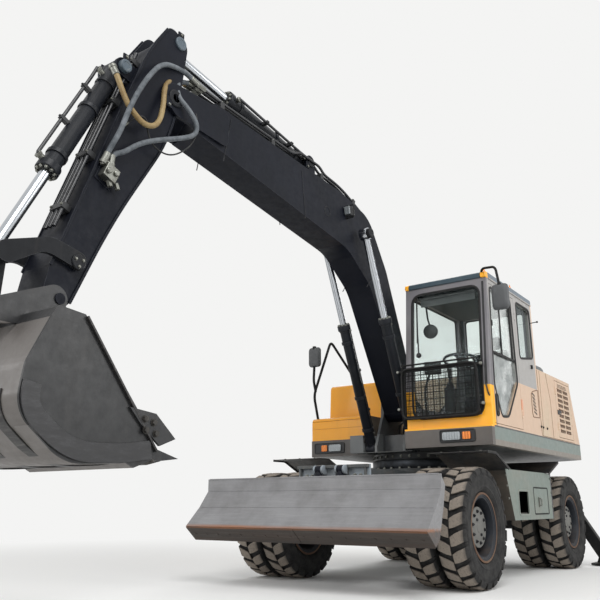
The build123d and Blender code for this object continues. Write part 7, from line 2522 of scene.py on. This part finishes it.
@dataclass
class Studio:
    """Pale floor, even light all round and the camera at the photograph's angle."""

    floor_half: float = 60.0
    camera_at: Point = (6.059, 3.749, 0.720)
    camera_turn: Point = (106.04, 0.0, 125.51)
    lens_mm: float = 42.71
    sensor_mm: float = 36.0
    sky: str = "#F4F4F3"
    fill_level: float = 0.62
    aim: Point = (-0.6, 0.2, 1.5)
    lamps: tuple[tuple[str, Point, float, float], ...] = (
        ("key_lamp", (5.5, 5.0, 8.5), 520.0, 5.0),
        ("side_lamp", (-3.0, 9.5, 5.0), 300.0, 5.0),
        ("front_lamp", (9.0, -4.5, 4.5), 200.0, 4.0),
        ("back_lamp", (-9.0, -4.0, 6.0), 260.0, 5.0),
    )

    def light(self) -> None:
        """Set the view transform, the surrounding light and the soft lamps."""
        scene = bpy.context.scene
        scene.view_settings.view_transform = "Standard"
        world = bpy.data.worlds.new("studio_air")
        scene.world = world
        world.use_nodes = True
        tree = world.node_tree
        tree.nodes.clear()
        rays = add(tree, "LightPath").outputs
        seen = add(tree, "Math", {0: rays["Is Camera Ray"], 1: rays["Is Glossy Ray"]},
                   operation="MAXIMUM").outputs[0]
        seen = add(tree, "Math", {0: seen, 1: rays["Is Transmission Ray"]}, operation="MAXIMUM").outputs[0]
        strength = add(tree, "MapRange", {"Value": seen, "To Min": self.fill_level,
                                          "To Max": 1.0}).outputs[0]
        air = add(tree, "Background", {"Color": linear(self.sky), "Strength": strength}).outputs[0]
        add(tree, "OutputWorld", {"Surface": air})
        for name, place, power, size in self.lamps:
            lamp = bpy.data.lights.new(name, "AREA")
            lamp.energy, lamp.size = power, size
            stand = bpy.data.objects.new(name, lamp)
            stand.location = place
            ray = Vector(self.aim) - Vector(place)
            stand.rotation_euler = ray.to_track_quat("-Z", "Y").to_euler()
            scene.collection.objects.link(stand)
            log.info("%s: %.0f W", name, power)

    def lay_floor(self) -> None:
        """Lay the paper that the machine stands on."""
        half = self.floor_half
        data = bpy.data.meshes.new("studio_floor")
        data.from_pydata([(-half, -half, 0), (half, -half, 0), (half, half, 0), (-half, half, 0)], [],
                         [(0, 1, 2, 3)])
        floor = placed("studio_floor", data, PAPER, None)

    def place_camera(self) -> None:
        """Stand the camera where the photograph was taken from."""
        lens = bpy.data.cameras.new("camera")
        lens.lens, lens.sensor_width, lens.clip_end = self.lens_mm, self.sensor_mm, 400.0
        camera = bpy.data.objects.new("camera", lens)
        camera.location = self.camera_at
        camera.rotation_euler = tuple(math.radians(a) for a in self.camera_turn)
        bpy.context.scene.collection.objects.link(camera)
        bpy.context.scene.camera = camera


@dataclass
class FactoryCoat:
    """Paint of every solid that keeps its shape, with rounded edges where plates meet."""

    bevel: float = 0.003
    angle: float = 32.0

    def finishes(self) -> dict[str, Finish]:
        """Choose the finish of each solid.

        Returns:
            Finishes by the solids' names.
        """
        coats: dict[str, Finish] = {"chassis_frame": CHASSIS_COAT, "front_axle": AXLE_GREY,
                                    "rear_axle": AXLE_GREY, "drive_line": AXLE_GREY,
                                    "slew_ring": RING_STEEL, "blade": BLADE_STEEL,
                                    "blade_barrels": CHARCOAL, "blade_rods": CHROME,
                                    "upper_deck": DECK_COAT, "counterweight": BALLAST_COAT,
                                    "engine_block": ENGINE_ALLOY, "engine_housing": BEIGE,
                                    "engine_hood": BEIGE, "tank_boxes": TANK_COAT, "cab_shell": CAB_COAT,
                                    "cab_glass": GLASS, "cab_door": CAB_COAT, "cab_door_glass": SIDE_GLASS,
                                    "cab_roof": ROOF_GREY, "cab_floor": DARK_TRIM,
                                    "window_guard": SATIN_BLACK, "lamps": LAMP_LENS, "boom": CHARCOAL,
                                    "boom_barrels": CYLINDER_GREY, "boom_rods": CHROME,
                                    "arm_barrel": CYLINDER_GREY, "arm_rod": CHROME, "arm": CHARCOAL,
                                    "bucket_barrel": CYLINDER_GREY, "bucket_rod": CHROME,
                                    "rocker": CHARCOAL_ROUGH, "bucket_link": CHARCOAL_ROUGH,
                                    "bucket": BUCKET_COAT, "seat": SEAT_CLOTH,}
        for side in ("left", "right"):
            coats |= {
                f"step_box_{side}": STEP_COAT_AND_SHADE, f"box_door_{side}": STEP_COAT_AND_SHADE, f"service_door_{side}": BEIGE,
                f"outrigger_leg_{side}": SATIN_BLACK, f"outrigger_barrel_{side}": CHARCOAL,
                f"outrigger_rod_{side}": CHROME, f"knuckle_{side}": AXLE_GREY, f"mirror_{side}": GREY_ABS,
            }
            for end in ("front", "rear"):
                coats |= {f"rims_{end}_{side}": RIM_GREY, f"tyres_{end}_{side}": SEAL}
        return coats

    def apply(self) -> None:
        """Give each solid its finish and its rounded edges."""
        for name, finish in self.finishes().items():
            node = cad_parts[name]
            for slot in node.material_slots:
                slot.link = "OBJECT"
                slot.material = finish.material()
            if isinstance(finish, SheetGlass) or name.startswith("tyres") or name.startswith("rims"):
                continue
            join = node.modifiers.new("joined_faces", "WELD")
            join.merge_threshold = 0.00002
            round_edges(node, self.bevel, self.angle)
            log.info("%s finished in %s", name, finish.name)


# Trim of the working cylinders, by their pins' places at rest.
CYLINDERS = (CylinderTrim("boom_cylinder_left", "boom_barrels", (-0.930, 0.255, 1.310),
                          (-0.010, 0.255, 3.440), 0.060, 1.41, 0.035, (-0.92, 0.0, 0.40)),
             CylinderTrim("boom_cylinder_right", "boom_barrels", (-0.930, -0.255, 1.310),
                          (-0.010, -0.255, 3.440), 0.060, 1.41, 0.035, (-0.92, 0.0, 0.40)),
             CylinderTrim("arm_cylinder", "arm_barrel", (0.770, 0.0, 3.985), (2.636, 0.0, 4.243), 0.072,
                          1.18, 0.042, (0.0, 1.0, 0.0)),
             CylinderTrim("bucket_cylinder", "bucket_barrel", (3.143, 0.0, 3.769), (3.936, 0.0, 2.096),
                          0.068, 1.10, 0.038, (0.9, 0.0, 0.43)),)


def build_machine() -> None:
    """Build and dress every sub-assembly in order."""
    logging.basicConfig(level=logging.INFO, format="%(message)s")
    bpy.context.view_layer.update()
    studio = Studio()
    studio.place_camera()
    for hose in HOSES:
        hose.make()
    FactoryCoat().apply()
    for axle_x, end in ((FRONT_X, "front"), (REAR_X, "rear")):
        for side in Side:
            wheel = TwinWheel(axle_x, side, f"wheel_{end}_{side.name.lower()}")
            wheel.tyres()
            wheel.rims()
    Undercarriage().dress()
    DozerBlade().dress()
    CabTrim().dress()
    CabInterior().dress()
    DriverSeat().dress()
    for mirror in MIRRORS:
        mirror.make()
    BodyPanels().dress()
    FrontLamps().dress()
    RightSide().dress()
    BoomFoot().dress()
    BoomDress().dress()
    ArmDress().dress()
    LinkageDress().dress()
    BucketDress().dress()
    for cylinder in CYLINDERS:
        cylinder.dress()
    studio.light()
    studio.lay_floor()


if __name__ == "__main__":
    build_machine()
